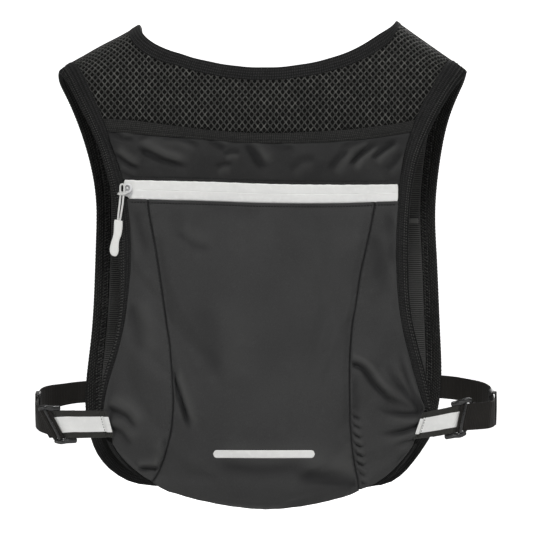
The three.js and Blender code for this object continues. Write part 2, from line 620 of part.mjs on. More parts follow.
// yoke from the tape up to the shoulder ridge
function yokePatch() {
  // the armhole's last stretch up to the ridge
  const ridgeEnd = (tag) => [xAt(armholes[tag].inner, 0), 0];
  const upperArm = (tag) => [
    ...armholes[tag].inner.filter((p) => p[1] > 2), ridgeEnd(tag),
  ].filter((p) => p[1] < unroll([p[0], SEAM_LEVEL], BACK)[1]);
  const yokeSide = (tag, zFrom) => [...armPart(tag, zFrom, SEAM_LEVEL), ...upperArm(tag)];
  const neck = onBack(NECK_IN);
  const neckLeft = [neck[0][0] - 3, 0];
  const neckRight = [neck.at(-1)[0] + 3, 0];
  const top = [
    ridgeEnd('left'), mix(ridgeEnd('left'), neckLeft, 0.5), neckLeft,
    ...neck.filter((p) => p[1] > 6),
    neckRight, mix(ridgeEnd('right'), neckRight, 0.5), ridgeEnd('right'),
  ];
  const left = yokeSide('left', tapeTop[0][1]);
  const right = yokeSide('right', tapeTop.at(-1)[1]);
  return patch(onBack(tapeTop), top, left, right, 30, 14);
}
function buildUpperBack() {
  const yoke = yokePatch();
  const left = sideEdge('left', tapeTop[0][1]);
  const right = sideEdge('right', tapeTop.at(-1)[1]);
  const lower = patch(onBack(LINING_BOTTOM), onBack(tapeTop), left, right, 30, 13);
  // the lining lies under the yoke and runs on down to the hem
  const liningGrid = lower.map((column, i) => [...column.slice(0, -1), ...yoke[i]]);
  add('back_lining', 'lining', trimmed(sheet(liningGrid, 0, LINING_T), hemCutter));
  add('back_mesh_yoke', 'mesh', sheet(yoke, FABRIC_IN, FABRIC_OUT));
  const tape = strip(onBack(tapeBottom), onBack(tapeTop), 30);
  add('yoke_seam_tape', 'binding', sheet(tape, FABRIC_IN, FABRIC_OUT + 0.3));

  const zLeft = zipTopZ(-123);
  const zRight = zipTopZ(122);
  const panel = patch(
    backLine(xAt(backArm.left, zLeft), xAt(backArm.right, zRight), zipTopZ),
    onBack(tapeBottom),
    armPart('left', zLeft, tapeBottom[0][1]),
    armPart('right', zRight, tapeBottom.at(-1)[1]),
    30,
    4,
  );
  // thicker away from the armholes
  const outer = (x) => FABRIC_OUT + 1.2 * smooth(0, 40, 110 - Math.abs(x));
  add('upper_back_panel', 'fabric', sheet(panel, FABRIC_IN + 0.15, outer));
}

// ---------- back zip ----------
const SLIDER_X = -121.6;
const ARCH_X = -3.4; // arch for the cord, from the slider's centre
const CORD_EYE = [SLIDER_X + ARCH_X, -8.55, zipZ(SLIDER_X + ARCH_X)]; // under the arch

function buildBackZip() {
  const band = (low, high) => strip(
    ...[low, high].map((dz) => backLine(-123.2, 120.2, (x) => zipZ(x) + dz, 12)),
    12,
  );
  add('back_zip_tape_upper', 'reflective', sheet(band(0.7, ZIP_HALF), 2.5, 3.4));
  add('back_zip_tape_lower', 'reflective', sheet(band(-ZIP_HALF, -0.7), 2.5, 3.4));
}
// half of the arch's outline seen along Z, [x, height], foot to top outside and back inside
const ARCH_OUTSIDE = [[3.6, 0], [3.6, 3], [2.4, 4.2]];
const ARCH_INSIDE = [[2.6, 0], [2.6, 2.6], [2, 3.2]];
function sliderArch() {
  const width = 1.6;
  const mirror = (points) => points.map(([x, y]) => [-x, y]);
  const shape = polygon([
    ...mirror(ARCH_OUTSIDE), ...rev(ARCH_OUTSIDE), ...ARCH_INSIDE, ...rev(mirror(ARCH_INSIDE)),
  ]);
  const geo = new THREE.ExtrudeGeometry(shape, { depth: width, bevelEnabled: false });
  geo.translate(0, 0, -width / 2);
  geo.rotateX(Math.PI); // rises along -Y
  return clean(geo.translate(ARCH_X, -5.5, 0));
}
function buildBackSlider() {
  const parts = [
    rounded(-8.2, 1.4, -5.6, -4.2, -5.8, 5.8, 2.2), // outer plate
    rounded(-0.6, 5.4, -2.1, -1.75, -3.6, 3.6, 1), // inner plate
    box(-0.4, 0.4, -4.4, -1.9, -0.3, 0.3), // neck
    sliderArch(),
  ];
  const tilt = new THREE.Matrix4().makeRotationY(-Math.atan(ZIP_SLOPE));
  const matrix = tilt.setPosition(SLIDER_X, 0, zipZ(SLIDER_X));
  add('back_zip_slider', 'zipmetal', place(join(parts), matrix));
}
// a loop through the arch, a knot and one cord for the two strands
function buildPullCord() {
  const [x, y, z] = CORD_EYE;
  const loop = ring(2.15, 0.75, 8, 20, x, y - 0.6, z);
  const knot = new THREE.SphereGeometry(2.3, 12, 8);
  knot.scale(1.1, 0.8, 1).translate(x - 0.1, y - 0.9, z - 4.5);
  const path = new THREE.CatmullRomCurve3([
    new THREE.Vector3(x - 0.1, y - 0.9, z - 4),
    new THREE.Vector3(x - 0.9, y - 0.4, z - 13),
    new THREE.Vector3(x - 2.6, y + 0.4, z - 24.2),
  ], false, 'centripetal');
  const section = new THREE.Shape();
  section.absarc(0, 0, 1.15, 0, Math.PI * 2, false);
  const cord = new THREE.ExtrudeGeometry(section, {
    steps: 10, extrudePath: path, curveSegments: 8, bevelEnabled: false,
  });
  add('back_pull_cord', 'cord', join([loop, clean(knot), clean(cord)]));
}
// moulded grip: [distance below its top, half width]
const GRIP_PROFILE = [
  [0, 1.8], [3, 2.9], [8, 3.7], [16, 4.2], [24, 4.3], [29, 3.9], [31.4, 2.6], [32, 0],
];
function buildPullGrip() {
  const [x, y, z] = CORD_EYE;
  const centreX = (down) => -0.19 * down - 0.0022 * down * down; // bends towards -X
  const shape = polygon([
    ...GRIP_PROFILE.map(([down, half]) => [centreX(down) - half, -down]),
    ...rev(GRIP_PROFILE).slice(1).map(([down, half]) => [centreX(down) + half, -down]),
  ]);
  const geo = new THREE.ExtrudeGeometry(shape, {
    depth: 2.4,
    bevelEnabled: true,
    bevelThickness: 0.7,
    bevelSize: 0.6,
    bevelOffset: -0.6,
    bevelSegments: 2,
  });
  geo.rotateX(Math.PI / 2);
  geo.translate(x - 2.7, y + 0.4 + 1.2, z - 26.2);
  add('back_pull_grip', 'rubber', clean(geo));
}

// ---------- back pocket ----------
const POCKET_BULGE = 14; // how far the back pocket stands out low down
function pocketBulge(x, drop) {
  const z = heightAt(x, drop);
  const down = smooth(26, -95, z);
  const foot = smooth(-203, -170, z);
  const middle = smooth(142, 60, Math.abs(x + 2));
  return POCKET_BULGE * (0.15 + 0.85 * down) * (0.35 + 0.65 * foot) * middle;
}
function buildBackPocket() {
  const seam = {};
  const seamX = {}; // where each seam meets the zip
  const armX = {};
  for (const [tag, side] of SIDES) {
    const rising = rev(POCKET_SEAM[tag]);
    const x = xAt(rising, 79.5);
    seamX[tag] = x;
    seam[tag] = onBack([...cut(rising, 1, -300, zipBottomZ(x) - 1), [x, zipBottomZ(x)]]);
    armX[tag] = xAt(backArm[tag], zipBottomZ(side < 0 ? -122 : 121));
  }
  const outerEdge = (tag) => sideEdge(tag, zipBottomZ(armX[tag]));
  // bottom edge, ends of the top edge, side edges, columns and top edge divisions
  const panels = {
    centre_panel: ['centre', seamX.left, seamX.right, seam.left, seam.right, 14, 16],
    side_panel_left: ['left', armX.left, seamX.left, outerEdge('left'), seam.left, 6, 4],
    side_panel_right: ['right', seamX.right, armX.right, seam.right, outerEdge('right'), 6, 4],
  };
  for (const [name, panel] of Object.entries(panels)) {
    const [bottom, xFrom, xTo, left, right, columns, divisions] = panel;
    const top = backLine(xFrom, xTo, zipBottomZ, divisions);
    const grid = patch(onBack(POCKET_BOTTOM[bottom]), top, left, right, columns, 16);
    add(`pocket_${name}`, 'fabric', sheet(
      grid,
      (x, drop) => FABRIC_IN + pocketBulge(x, drop),
      (x, drop) => FABRIC_OUT + pocketBulge(x, drop),
    ));
  }
}

// ---------- bindings ----------
function buildBindings() {
  add('back_hem_binding', 'binding', sheet(hemGrid, 0, 1.3));
  for (const [tag] of SIDES) {
    const grid = strip(armholes[tag].outer, armholes[tag].inner, 64);
    add(`armhole_binding_${tag}`, 'binding', sheet(grid, BIND_IN, BIND_OUT));
  }
  add('neck_binding', 'binding', sheet(neckGrid, BIND_IN, BIND_OUT));
}

// ---------- the two fronts ----------
const CENTRE_HALF = 7.4; // half width of the centre zip
const MESH_Z = 128; // the shoulder mesh ends here
const REFLECT_Z = 119; // the reflective strip ends here
const SHOULDER_DROP = -0.6; // the shoulder mesh starts here
const ARM_X = 155; // where heights beside the armhole are read off

// places that the pieces of one front share
function frontLayout(tag, side) {
  const armUp = rev(armholes[tag].inner);
  const neckDown = frontNeck[tag].inner;
  const armDrop = (z) => frontDrop(side * ARM_X, z);
  const meshArmX = xAt(armUp, armDrop(MESH_Z));
  const meshNeckDrop = frontDrop(xAt(neckDown, frontDrop(side * 60, MESH_Z)), MESH_Z);
  const meshNeckX = xAt(neckDown, meshNeckDrop);
  const stripArmX = xAt(armUp, armDrop(REFLECT_Z));
  const stripNeckX = xAt(neckDown, frontDrop(side * 30, REFLECT_Z));
  const meshLine = (count) => frontLine(meshArmX, meshNeckX, MESH_Z, count);
  const stripLine = (dz, count) => frontLine(stripArmX, stripNeckX, REFLECT_Z + dz, count);
  // neckline below a drop, clear of the centre zip
  const clearOfZip = (p) => Math.abs(p[0]) > CENTRE_HALF + 1;
  const neckBelow = (drop) => neckDown.filter((p) => p[1] < drop && clearOfZip(p));

  // inner line of the hem binding, armhole to centre zip
  const hemOut = onFront(FRONT_BOTTOM[tag]);
  const lowDrop = hemOut[0][1];
  const start = [xAt(armUp, lowDrop), lowDrop];
  const inset = offsetCurve(smoothCurve(even(hemOut, 30), 1), -side * BIND_W)
    .filter((p) => Math.abs(p[0]) < Math.abs(start[0]) - 2 && clearOfZip(p));
  const centreLowDrop = inset.at(-1)[1];
  const centreX = side * CENTRE_HALF;
  const hemIn = [start, ...inset, [centreX, centreLowDrop]];
  const hem = strip(even(hemOut, 26), even(hemIn, 26), 26);

  const neckLow = neckBelow(frontDrop(stripNeckX, REFLECT_Z));
  const neckEndDrop = neckLow.at(-1)[1];
  const centreTop = [centreX, neckEndDrop - 0.4];
  return {
    armUp,
    neckDown,
    armDrop,
    meshNeckX,
    meshNeckDrop,
    meshLine,
    stripLine,
    lowDrop,
    hemIn,
    hem,
    middle: [[centreX, centreLowDrop], centreTop],
    panelTop: [...stripLine(-0.2, 8), ...neckLow, centreTop],
    liningTop: [...meshLine(8), ...neckBelow(frontDrop(meshNeckX, MESH_Z)), centreTop],
    zipTop: heightAt(centreX, neckEndDrop) - 3,
    zipBottom: heightAt(centreX, centreLowDrop) + 1,
  };
}
// mesh from the chest up to the shoulder ridge
function buildFrontShoulder(tag, side, layout) {
  const { armUp, neckDown, meshNeckX, meshNeckDrop } = layout;
  const arm = between(armUp, layout.armDrop(MESH_Z), SHOULDER_DROP);
  const neckTop = [side < 0 ? -122 : 132, SHOULDER_DROP];
  const neckPart = neckDown.filter((p) => p[1] > meshNeckDrop && Math.abs(p[1]) > 10);
  const neck = [[meshNeckX, meshNeckDrop], ...rev(neckPart), neckTop];
  const top = [[arm.at(-1)[0], SHOULDER_DROP], neckTop];
  const grid = frontPatch(side, layout.meshLine(10), top, arm, neck, 10, 16);
  add(`front_mesh_shoulder_${tag}`, 'mesh', sheet(grid, 0, FABRIC_OUT));
}
// reflective strip, fabric panel, lining and lower edge binding
function buildFrontPanels(tag, side, layout) {
  const { armUp, armDrop, lowDrop, hemIn, hem, middle } = layout;
  const frontHemCutter = toManifold(sheet(hem, -2, BIND_OUT + 2, -0.35));
  const reflector = sheet(
    strip(layout.stripLine(0.3, 10), layout.meshLine(10), 14), FABRIC_IN, FABRIC_OUT,
  );
  add(`front_reflective_strip_${tag}`, 'reflective', trimmed(reflector, neckCutter));
  const body = (top, topZ, inner, outer) => {
    const arm = between(armUp, lowDrop, armDrop(topZ));
    const grid = frontPatch(side, hemIn, top, arm, middle, 14, 14);
    return trimmed(sheet(grid, inner, outer), frontHemCutter, neckCutter);
  };
  const panel = body(layout.panelTop, REFLECT_Z, FABRIC_IN, FABRIC_OUT);
  add(`front_panel_${tag}`, 'fabric', panel);
  add(`front_lining_${tag}`, 'lining', body(layout.liningTop, MESH_Z, 0, LINING_T));
  add(`front_hem_binding_${tag}`, 'binding', sheet(hem, BIND_IN, BIND_OUT));
}
// mesh edge band and elastic on the wearer's side, beside the armhole
function buildFrontEdgeBands(tag, side, { armUp }) {
  const edge = between(armUp, frontDrop(side * 150, -52), frontDrop(side * 150, 168));
  const inset = (width) => edge.map(([x, drop]) => [x - side * width, drop]);
  const start = 0.4;
  const meshBand = strip(inset(start), inset(start + 5.2), 18);
  const elasticBand = strip(inset(start + 5.6), inset(start + 34), 18, 2);
  add(`front_edge_mesh_${tag}`, 'mesh', sheet(meshBand, -1.5, -0.4));
  add(`front_elastic_lining_${tag}`, 'elastic', sheet(elasticBand, -1.5, -0.4));
}
function buildCentreZipHalf(tag, side, { zipTop, zipBottom }) {
  const toothX = 2.9; // teeth meet the tape here
  const band = (outerX, innerX, zFrom, zTo) => strip(
    frontUpright(side * outerX, zFrom, zTo), frontUpright(side * innerX, zFrom, zTo), 8,
  );
  const tape = band(CENTRE_HALF, toothX, zipBottom, zipTop);
  const teeth = band(toothX, 0.65, zipBottom + 1, zipTop - 2);
  add(`front_zip_tape_${tag}`, 'reflective', sheet(tape, 2.0, 2.8));
  add(`front_zip_teeth_${tag}`, 'coil', sheet(teeth, 1.7, 3.1));
}

// ---------- chest pockets ----------
const CHEST_ZIP_Z = 62;
const CHEST_SLIDER_X = 112;
const CHEST = { innerX: 22, outerX: 118, outerLowX: 112, top: CHEST_ZIP_Z - 8, bottom: -96 };

function chestBulge(x, drop) {
  const z = heightAt(x, drop);
  const across = smooth(0, 26, 48 - Math.abs(Math.abs(x) - 70));
  return 8 * across * smooth(34, -22, z) * smooth(CHEST.bottom, CHEST.bottom + 22, z);
}
function buildChestPocket(tag, side) {
  const { top, bottom } = CHEST;
  const inner = side * CHEST.innerX;
  const outer = side * CHEST.outerX;
  const outerLow = side * CHEST.outerLowX;
  const grid = frontPatch(
    side,
    frontLine(outerLow, inner, bottom, 6),
    frontLine(outer, inner, top, 6),
    onFront([[outerLow, bottom], [outer, top]]),
    onFront([[inner, bottom], [inner, top]]),
    9,
    9,
  );
  add(`chest_pocket_${tag}`, 'fabric', sheet(
    grid,
    (x, drop) => 3.5 + chestBulge(x, drop),
    (x, drop) => 4.8 + chestBulge(x, drop),
  ));
  for (const [name, low, high] of [['upper', 0.7, 7.5], ['lower', -7.5, -0.7]]) {
    const lines = [low, high].map((dz) => frontLine(inner, outer, CHEST_ZIP_Z + dz, 6));
    const tape = sheet(strip(...lines, 4), 4.2, 5.0);
    add(`chest_zip_tape_${name}_${tag}`, 'reflective', tape);
  }
}
// slider and pull at the outer end of the chest zip
function buildChestPull(tag, side) {
  const matrix = new THREE.Matrix4().makeTranslation(side * CHEST_SLIDER_X, DEPTH, CHEST_ZIP_Z);
  const slider = join([
    rounded(-5, 5, 5.35, 6.6, -5, 5, 2), // outer plate
    rounded(-4, 4, 3.4, 3.85, -3.2, 3.2, 1), // inner plate
    box(-0.45, 0.45, 3.6, 5.6, -0.35, 0.35), // neck
    box(-3.2, -2.2, 6.4, 9.8, -2.1, 1.6), // bridge cheeks
    box(2.2, 3.2, 6.4, 9.8, -2.1, 1.6),
    box(-3.2, 3.2, 9.0, 9.8, -2.1, -1.3), // bridge bar
  ]);
  add(`chest_zip_slider_${tag}`, 'zipmetal', place(slider, matrix));
  const pull = join([
    ring(1.75, 0.6, 8, 18, 0, 9.4, -1.7), // round the bridge bar
    box(-0.7, 0.7, 8.9, 9.9, -6.4, -3.2), // neck
    rounded(-2.6, 2.6, 8.7, 10.1, -26, -5.6, 1.8), // tab
  ]);
  add(`chest_pull_${tag}`, 'rubber', place(pull, matrix));
}

// ---------- centre zip slider and inner loop ----------
function buildCentreSlider(z) {
  const matrix = new THREE.Matrix4().makeTranslation(0, DEPTH, z);
  const slider = join([
    rounded(-5.2, 5.2, 3.5, 4.9, -6, 6, 2.2), // outer plate
    rounded(-4.6, 4.6, 0.4, 1.35, -5, 5, 1.6), // inner plate
    box(-0.32, 0.32, 1.0, 3.8, 2.6, 4.2), // neck
    box(-2.4, -1.4, 4.7, 7.9, -3.2, 3.2), // bridge cheeks
    box(1.4, 2.4, 4.7, 7.9, -3.2, 3.2),
    box(-2.4, 2.4, 7.1, 7.9, -0.7, 0.7), // bridge bar
  ]);
  add('front_zip_slider', 'zipmetal', place(slider, matrix));
  const pull = join([
    ring(1.75, 0.6, 8, 18, 0, 7.5, 0), // round the bridge bar
    box(-0.7, 0.7, 7.0, 8.0, -5.4, -1.5), // neck
    rounded(-3.2, 3.2, 6.7, 8.3, -34, -4.6, 2.6), // tab
  ]);
  add('front_zip_pull', 'rubber', place(pull, matrix));
}
// small flat loop on the right front's inner side
function buildInnerLoop() {
  const outerX = 142.5;
  const y = DEPTH - curl(outerX) - 2.4;
  add('inner_loop_right', 'cord', rounded(131, outerX, y - 0.8, y - 0.2, 61, 65.6, 0.8));
}

// ---------- side straps ----------
const WEB_T = 1.8; // thickness of the long webbing
const WEB_HALF = 12.5; // half width of the webbing
const HINGE_Y = 4.2;
const LOCK_BAR = 8.2; // middle bar of the lock, from the hinge bar
const TAB_STEPS = 8;
const GLIDE_RISE = 7; // the webbing's rise along its straight run, over its length in Y
const GLIDE_SLOPE = GLIDE_RISE / 38;
// hingeX, hingeZ: centre of the lock's hinge bar; lean: its outward lean per unit height;
// turnX: x of the straight run, turnZ: its middle height; frontZ: height at the front end;
// tabTop, tabBottom: corners of the tab on the back, [x, z]
const STRAPS = {
  left: {
    hingeX: -179, hingeZ: -121.2, lean: 0.52, turnX: 206, turnZ: -109, frontZ: -96,
    tabTop: [-145.6, -108.4], tabBottom: [-139.2, -132.6],
  },
  right: {
    hingeX: 168.5, hingeZ: -117.4, lean: 0.2, turnX: 208.5, turnZ: -107, frontZ: -92,
    tabTop: [144.6, -109.8], tabBottom: [136.4, -134.0],
  },
};
// frame of a lock: first axis outwards along the strap, second to -Y, third along the bar
function lockFrame(side, { hingeX, hingeZ, lean }) {
  const axis = new THREE.Vector3(side * lean, 0, 1).normalize();
  const outwards = new THREE.Vector3(side * axis.z, 0, -side * axis.x);
  const matrix = new THREE.Matrix4().makeBasis(outwards, new THREE.Vector3(0, -1, 0), axis);
  matrix.setPosition(hingeX, HINGE_Y, hingeZ);
  return {
    barHalf: WEB_HALF / axis.z, // half width measured along the leaning bar
    point: (out, back, up) => new THREE.Vector3(out, back, up).applyMatrix4(matrix).toArray(),
    put: (geo) => place(geo, matrix),
  };
}
// round bar along the lock's third axis
function bar(out, radius, half) {
  const geo = new THREE.CylinderGeometry(radius, radius, 2 * half, 16);
  return clean(geo.rotateX(Math.PI / 2).translate(out, 0, 0));
}
// folded webbing with an eye round the lock's hinge bar, and a reflective strip on it
function buildTab(tag, strap, { barHalf, point, put }) {
  const foldTop = point(-3, 0, barHalf);
  const foldBottom = point(-3, 0, -barHalf);
  const sections = stations(TAB_STEPS, (t) => {
    const y = lerp(1.9, HINGE_Y, smooth(0, 1, t));
    const edge = ([x, z], fold) => [lerp(x, fold[0], t), y, lerp(z, fold[2], t)];
    return [edge(strap.tabTop, foldTop), edge(strap.tabBottom, foldBottom)];
  });
  const body = unite([slab(sections, 2.6), put(bar(0, 4.1, barHalf))]);
  const hole = put(bar(0, 2.2, barHalf + 1));
  add(`side_tab_webbing_${tag}`, 'webbing', carve(body, [hole]));

  const reflector = stations(TAB_STEPS, (share) => {
    const place8 = lerp(0.06, 0.8, share) * TAB_STEPS;
    const low = Math.floor(place8);
    const [upper, lower] = [0, 1].map((k) => (
      mix(sections[low][k], sections[low + 1][k], place8 - low)));
    return [0.24, 0.76].map((u) => plus(mix(upper, lower, u), [0, -2, 0]));
  });
  add(`side_reflective_strip_${tag}`, 'reflective', slab(reflector, 0.6));
}
// ladder-lock: two rails and three bars
function buildLock(tag, { barHalf, put }) {
  const barEnd = barHalf + 1;
  const parts = [
    box(-2.3, 15.5, -2.1, 2.1, barHalf + 0.6, barHalf + 3.6),
    box(-2.3, 15.5, -2.1, 2.1, -barHalf - 3.6, -barHalf - 0.6),
    bar(0, 1.6, barEnd),
    bar(LOCK_BAR, 1.5, barEnd),
    box(12.6, 15.4, -0.2, 1.9, -barEnd, barEnd),
  ];
  add(`ladder_lock_${tag}`, 'plastic', put(join(parts)));
}
// short run of webbing wrapped round the lock's middle bar
function buildLockWebbing(tag, { barHalf, point }) {
  const wrapR = 2.9;
  const half = barHalf - 0.4;
  const wrap = [1, 2, 3, 4, 5].map((i) => {
    const angle = Math.PI * i / 6;
    return [LOCK_BAR - wrapR * Math.sin(angle), wrapR * Math.cos(angle)];
  });
  const path = [
    [19.6, 3.2], [16, 3.7], [12, 3.4], [8.6, 3.0],
    ...wrap,
    [8.6, -3.0], [14, -3.2], [19.4, -3.4],
  ];
  const sections = path.map(([out, back]) => [point(out, back, half), point(out, back, -half)]);
  add(`lock_webbing_${tag}`, 'webbing', slab(sections, 1.5));
}
// main run of webbing from the lock to the front panel, and the tri-glide on it
function buildStrapRun(tag, side, strap, { point }) {
  const { turnX, turnZ, frontZ, lean } = strap;
  const [lockX, startY, startZ] = point(21, -3.6, 0);
  const startX = Math.abs(lockX);
  const overFront = (x, lift) => [x, DEPTH - curl(x) + lift];
  // middle line as [distance from x = 0, y]
  const path = [
    [startX, startY],
    [lerp(startX, turnX, 0.45), startY + 1.4],
    [lerp(startX, turnX, 0.82), startY + 5],
    [turnX - 0.35, startY + 10.5],
    [turnX, startY + 16],
    [turnX, startY + 26],
    [turnX, startY + 36],
    [turnX, startY + 46],
    [turnX, startY + 54],
    [turnX - 1.2, startY + 60],
    [turnX - 5, startY + 66],
    [turnX - 11, startY + 70.5],
    [turnX - 20, startY + 73.6],
    [turnX - 32, startY + 76.6],
    overFront(159, 5.9),
    overFront(152, 5.9),
    overFront(144, 5.8),
    overFront(136, 5.7),
  ];
  const lengths = runLengths(path);
  const straightFrom = lengths[4];
  const straightTo = lengths[8];
  const lowZ = turnZ - GLIDE_RISE / 2;
  const highZ = turnZ + GLIDE_RISE / 2;
  // the height changes evenly along each of three stretches
  const heightOf = (length) => {
    if (length <= straightFrom) return lerp(startZ, lowZ, length / straightFrom);
    if (length <= straightTo) {
      return lerp(lowZ, highZ, (length - straightFrom) / (straightTo - straightFrom));
    }
    return lerp(highZ, frontZ, (length - straightTo) / (lengths.at(-1) - straightTo));
  };
  const sections = path.map(([x, y], i) => {
    const z = heightOf(lengths[i]);
    // the lock's lean fades out towards the straight run
    const fade = clamp(1 - lengths[i] / (straightFrom * 0.9), 0, 1);
    const shift = lean * fade * 0.9 * WEB_HALF;
    return [[side * (x + shift), y, z + WEB_HALF], [side * (x - shift), y, z - WEB_HALF]];
  });
  add(`side_strap_webbing_${tag}`, 'webbing', slab(sections, WEB_T));

  const glideAlong = 18; // from the start of the straight run
  buildTriGlide(tag, side, [
    side * turnX, startY + 16 + glideAlong, lowZ + GLIDE_SLOPE * glideAlong,
  ]);
}
function buildTriGlide(tag, side, centre) {
  const tilt = Math.atan(GLIDE_SLOPE);
  const windowHalf = WEB_HALF / Math.cos(tilt) + 0.5;
  const slotHalf = windowHalf - 1.5;
  const frameHalf = windowHalf + 3;
  const slotX = side > 0 ? [0, 9] : [-9, 0]; // the two slots open outwards
  const frame = rounded(-2.75, 2.75, -6.2, 6.2, -frameHalf, frameHalf, 1.2, 3);
  const glide = carve(toManifold(frame), [
    box(-1.45, 1.45, -9, 9, -windowHalf, windowHalf),
    box(...slotX, -3.6, -1.3, -slotHalf, slotHalf),
    box(...slotX, 1.3, 3.6, -slotHalf, slotHalf),
  ]);
  const matrix = new THREE.Matrix4().makeRotationX(tilt).setPosition(...centre);
  add(`tri_glide_${tag}`, 'plastic', place(glide, matrix));
}

// ---------- assembly ----------
buildUpperBack();
buildBackZip();
buildBackSlider();
buildPullCord();
buildPullGrip();
buildBackPocket();
buildBindings();

const zipTops = [];
for (const [tag, side] of SIDES) {
  const layout = frontLayout(tag, side);
  zipTops.push(layout.zipTop);
  buildFrontShoulder(tag, side, layout);
  buildFrontPanels(tag, side, layout);
  buildFrontEdgeBands(tag, side, layout);
  buildCentreZipHalf(tag, side, layout);
  buildChestPocket(tag, side);
  buildChestPull(tag, side);
}
buildCentreSlider(Math.min(...zipTops) - 10);
buildInnerLoop();

for (const [tag, side] of SIDES) {
  const strap = STRAPS[tag];
  const frame = lockFrame(side, strap);
  buildTab(tag, strap, frame);
  buildLock(tag, frame);
  buildLockWebbing(tag, frame);
  buildStrapRun(tag, side, strap, frame);
}

export default group;
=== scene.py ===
# A vest with a large pocket on its back, two chest pockets and a strap at each side.
# The wearer faces +Y with their left at -X and up along +Z. The back lies near y = 0 and the
# front near y = 84 mm. Sizes are in millimetres, and meshes are scaled to metres when made.
#
# The vest is drawn on one surface that folds over the shoulders. A pattern point is (x, s):
# s is the distance down from the shoulder ridge, above zero on the back and below on the front.
import json
import math
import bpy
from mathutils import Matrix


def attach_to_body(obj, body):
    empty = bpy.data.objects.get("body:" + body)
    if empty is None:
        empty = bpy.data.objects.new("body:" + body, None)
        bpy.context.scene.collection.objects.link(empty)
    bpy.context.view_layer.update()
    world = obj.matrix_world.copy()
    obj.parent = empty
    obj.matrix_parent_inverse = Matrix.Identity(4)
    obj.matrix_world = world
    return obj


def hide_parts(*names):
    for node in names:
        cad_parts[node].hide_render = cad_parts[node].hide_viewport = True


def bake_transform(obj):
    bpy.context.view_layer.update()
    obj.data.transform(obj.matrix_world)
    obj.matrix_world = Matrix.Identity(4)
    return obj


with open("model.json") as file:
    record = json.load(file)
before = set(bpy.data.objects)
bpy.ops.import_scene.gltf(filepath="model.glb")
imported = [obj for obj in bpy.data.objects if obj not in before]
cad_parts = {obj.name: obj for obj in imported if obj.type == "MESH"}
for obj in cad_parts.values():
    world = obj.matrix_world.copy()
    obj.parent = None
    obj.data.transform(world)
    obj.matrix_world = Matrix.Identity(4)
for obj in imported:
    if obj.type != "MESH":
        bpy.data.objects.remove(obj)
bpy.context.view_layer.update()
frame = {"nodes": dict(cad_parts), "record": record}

from types import SimpleNamespace

import bpy
import bmesh
import numpy as np
from mathutils import Vector
from mathutils.bvhtree import BVHTree

SCENE = bpy.context.scene
MM = 0.001
TAU = 2 * np.pi
SIDES = (("left", -1), ("right", 1))

# ---------------------------------------------------------------- driving dimensions
SHOULDER_RADIUS = 42.0
DEPTH = 2 * SHOULDER_RADIUS
HALF_TURN = SHOULDER_RADIUS * math.pi / 2  # length of surface from the ridge to upright cloth
FLAT_HALF = 125.0       # the surface is flat out to this x
SIDE_CURL = 0.008       # how fast it curls in beyond that
BINDING_WIDTH = 6.2
ZIP_HALF = 8.1          # nominal half width of the back zip
ZIP_START_X, ZIP_END_X = -126.3, 120.6
POCKET_BULGE = 14.0
FOLD_DEPTH = 2.3        # height in mm of a fold of strength 1
BACK_CLEAR = 2.1        # cloth on the back stays this far off the surface
CENTRE_HALF = 7.4       # each front panel begins at this x
STRIP_BOTTOM_Z, STRIP_TOP_Z = 119.0, 128.0
BACKWARD, FORWARD = (0, -1, 0), (0, 1, 0)

# ---------------------------------------------------------------- outlines, rows of (x, z)
RIDGE = np.array([
    (-210.6, 178.2), (-192.6, 189), (-187.2, 193.5), (-183.6, 198.5), (-179.1, 202.1),
    (-165.6, 209.2), (-147.6, 219.6), (-129.6, 228.6), (-117, 235.8), (-102.6, 244.3),
    (-75.6, 260.1), (-50, 268.2), (-25, 273), (0, 274.6), (30, 272.6), (60, 266.8), (85, 259.6),
    (104.4, 252), (124.2, 238.5), (131.4, 233.1), (149.4, 220.5), (167.4, 207.9), (176.4, 202.1),
    (181.8, 198.5), (184.5, 194.4), (189.9, 189.9), (212.4, 174.6)])
# edges of the armhole binding on the back, from the bottom up
ARM_OUTER_L = np.array([
    (-148.1, -107.1), (-147.6, -97.2), (-146.7, -88.2), (-144.9, -79.2), (-142.2, -69.3),
    (-139.5, -63), (-136.8, -56.7), (-134.1, -49.1), (-131.8, -40.5), (-130.3, -28.8),
    (-129.8, -13.5), (-129.6, 4.5), (-130.1, 27), (-131, 46.8), (-132.3, 66.6), (-134.6, 79.2),
    (-136.8, 90), (-139.5, 99), (-141.8, 108), (-144, 117), (-146.2, 126), (-149.4, 135),
    (-152.6, 141.3), (-155.7, 147.2), (-158.4, 153), (-161.1, 158.4), (-163.8, 163.8),
    (-167, 170.1), (-170.1, 175.5), (-173.7, 181.8), (-177.8, 188.1), (-182.2, 191.7),
    (-186.3, 193.1)])
ARM_INNER_L = np.array([
    (-144, -107.1), (-144, -100.8), (-142.2, -90.9), (-139.1, -81), (-135.9, -72), (-132.8, -63),
    (-130.1, -54), (-127.8, -45), (-126.2, -36), (-124.7, -27), (-123.3, -16.2), (-121.5, 0),
    (-120.2, 13.5), (-119.2, 28.8), (-119.5, 46.8), (-120.6, 65.7), (-122.4, 78.3),
    (-124.7, 88.2), (-126.5, 98.1), (-128.2, 106.2), (-131, 116.1), (-134.6, 126), (-137.7, 135),
    (-140.8, 143.1), (-143.6, 152.1), (-146.2, 158.4), (-149, 164.7), (-152.1, 171.5),
    (-155.2, 178.7), (-158.4, 185), (-162, 191.7), (-166.1, 198.9), (-170.1, 207)])
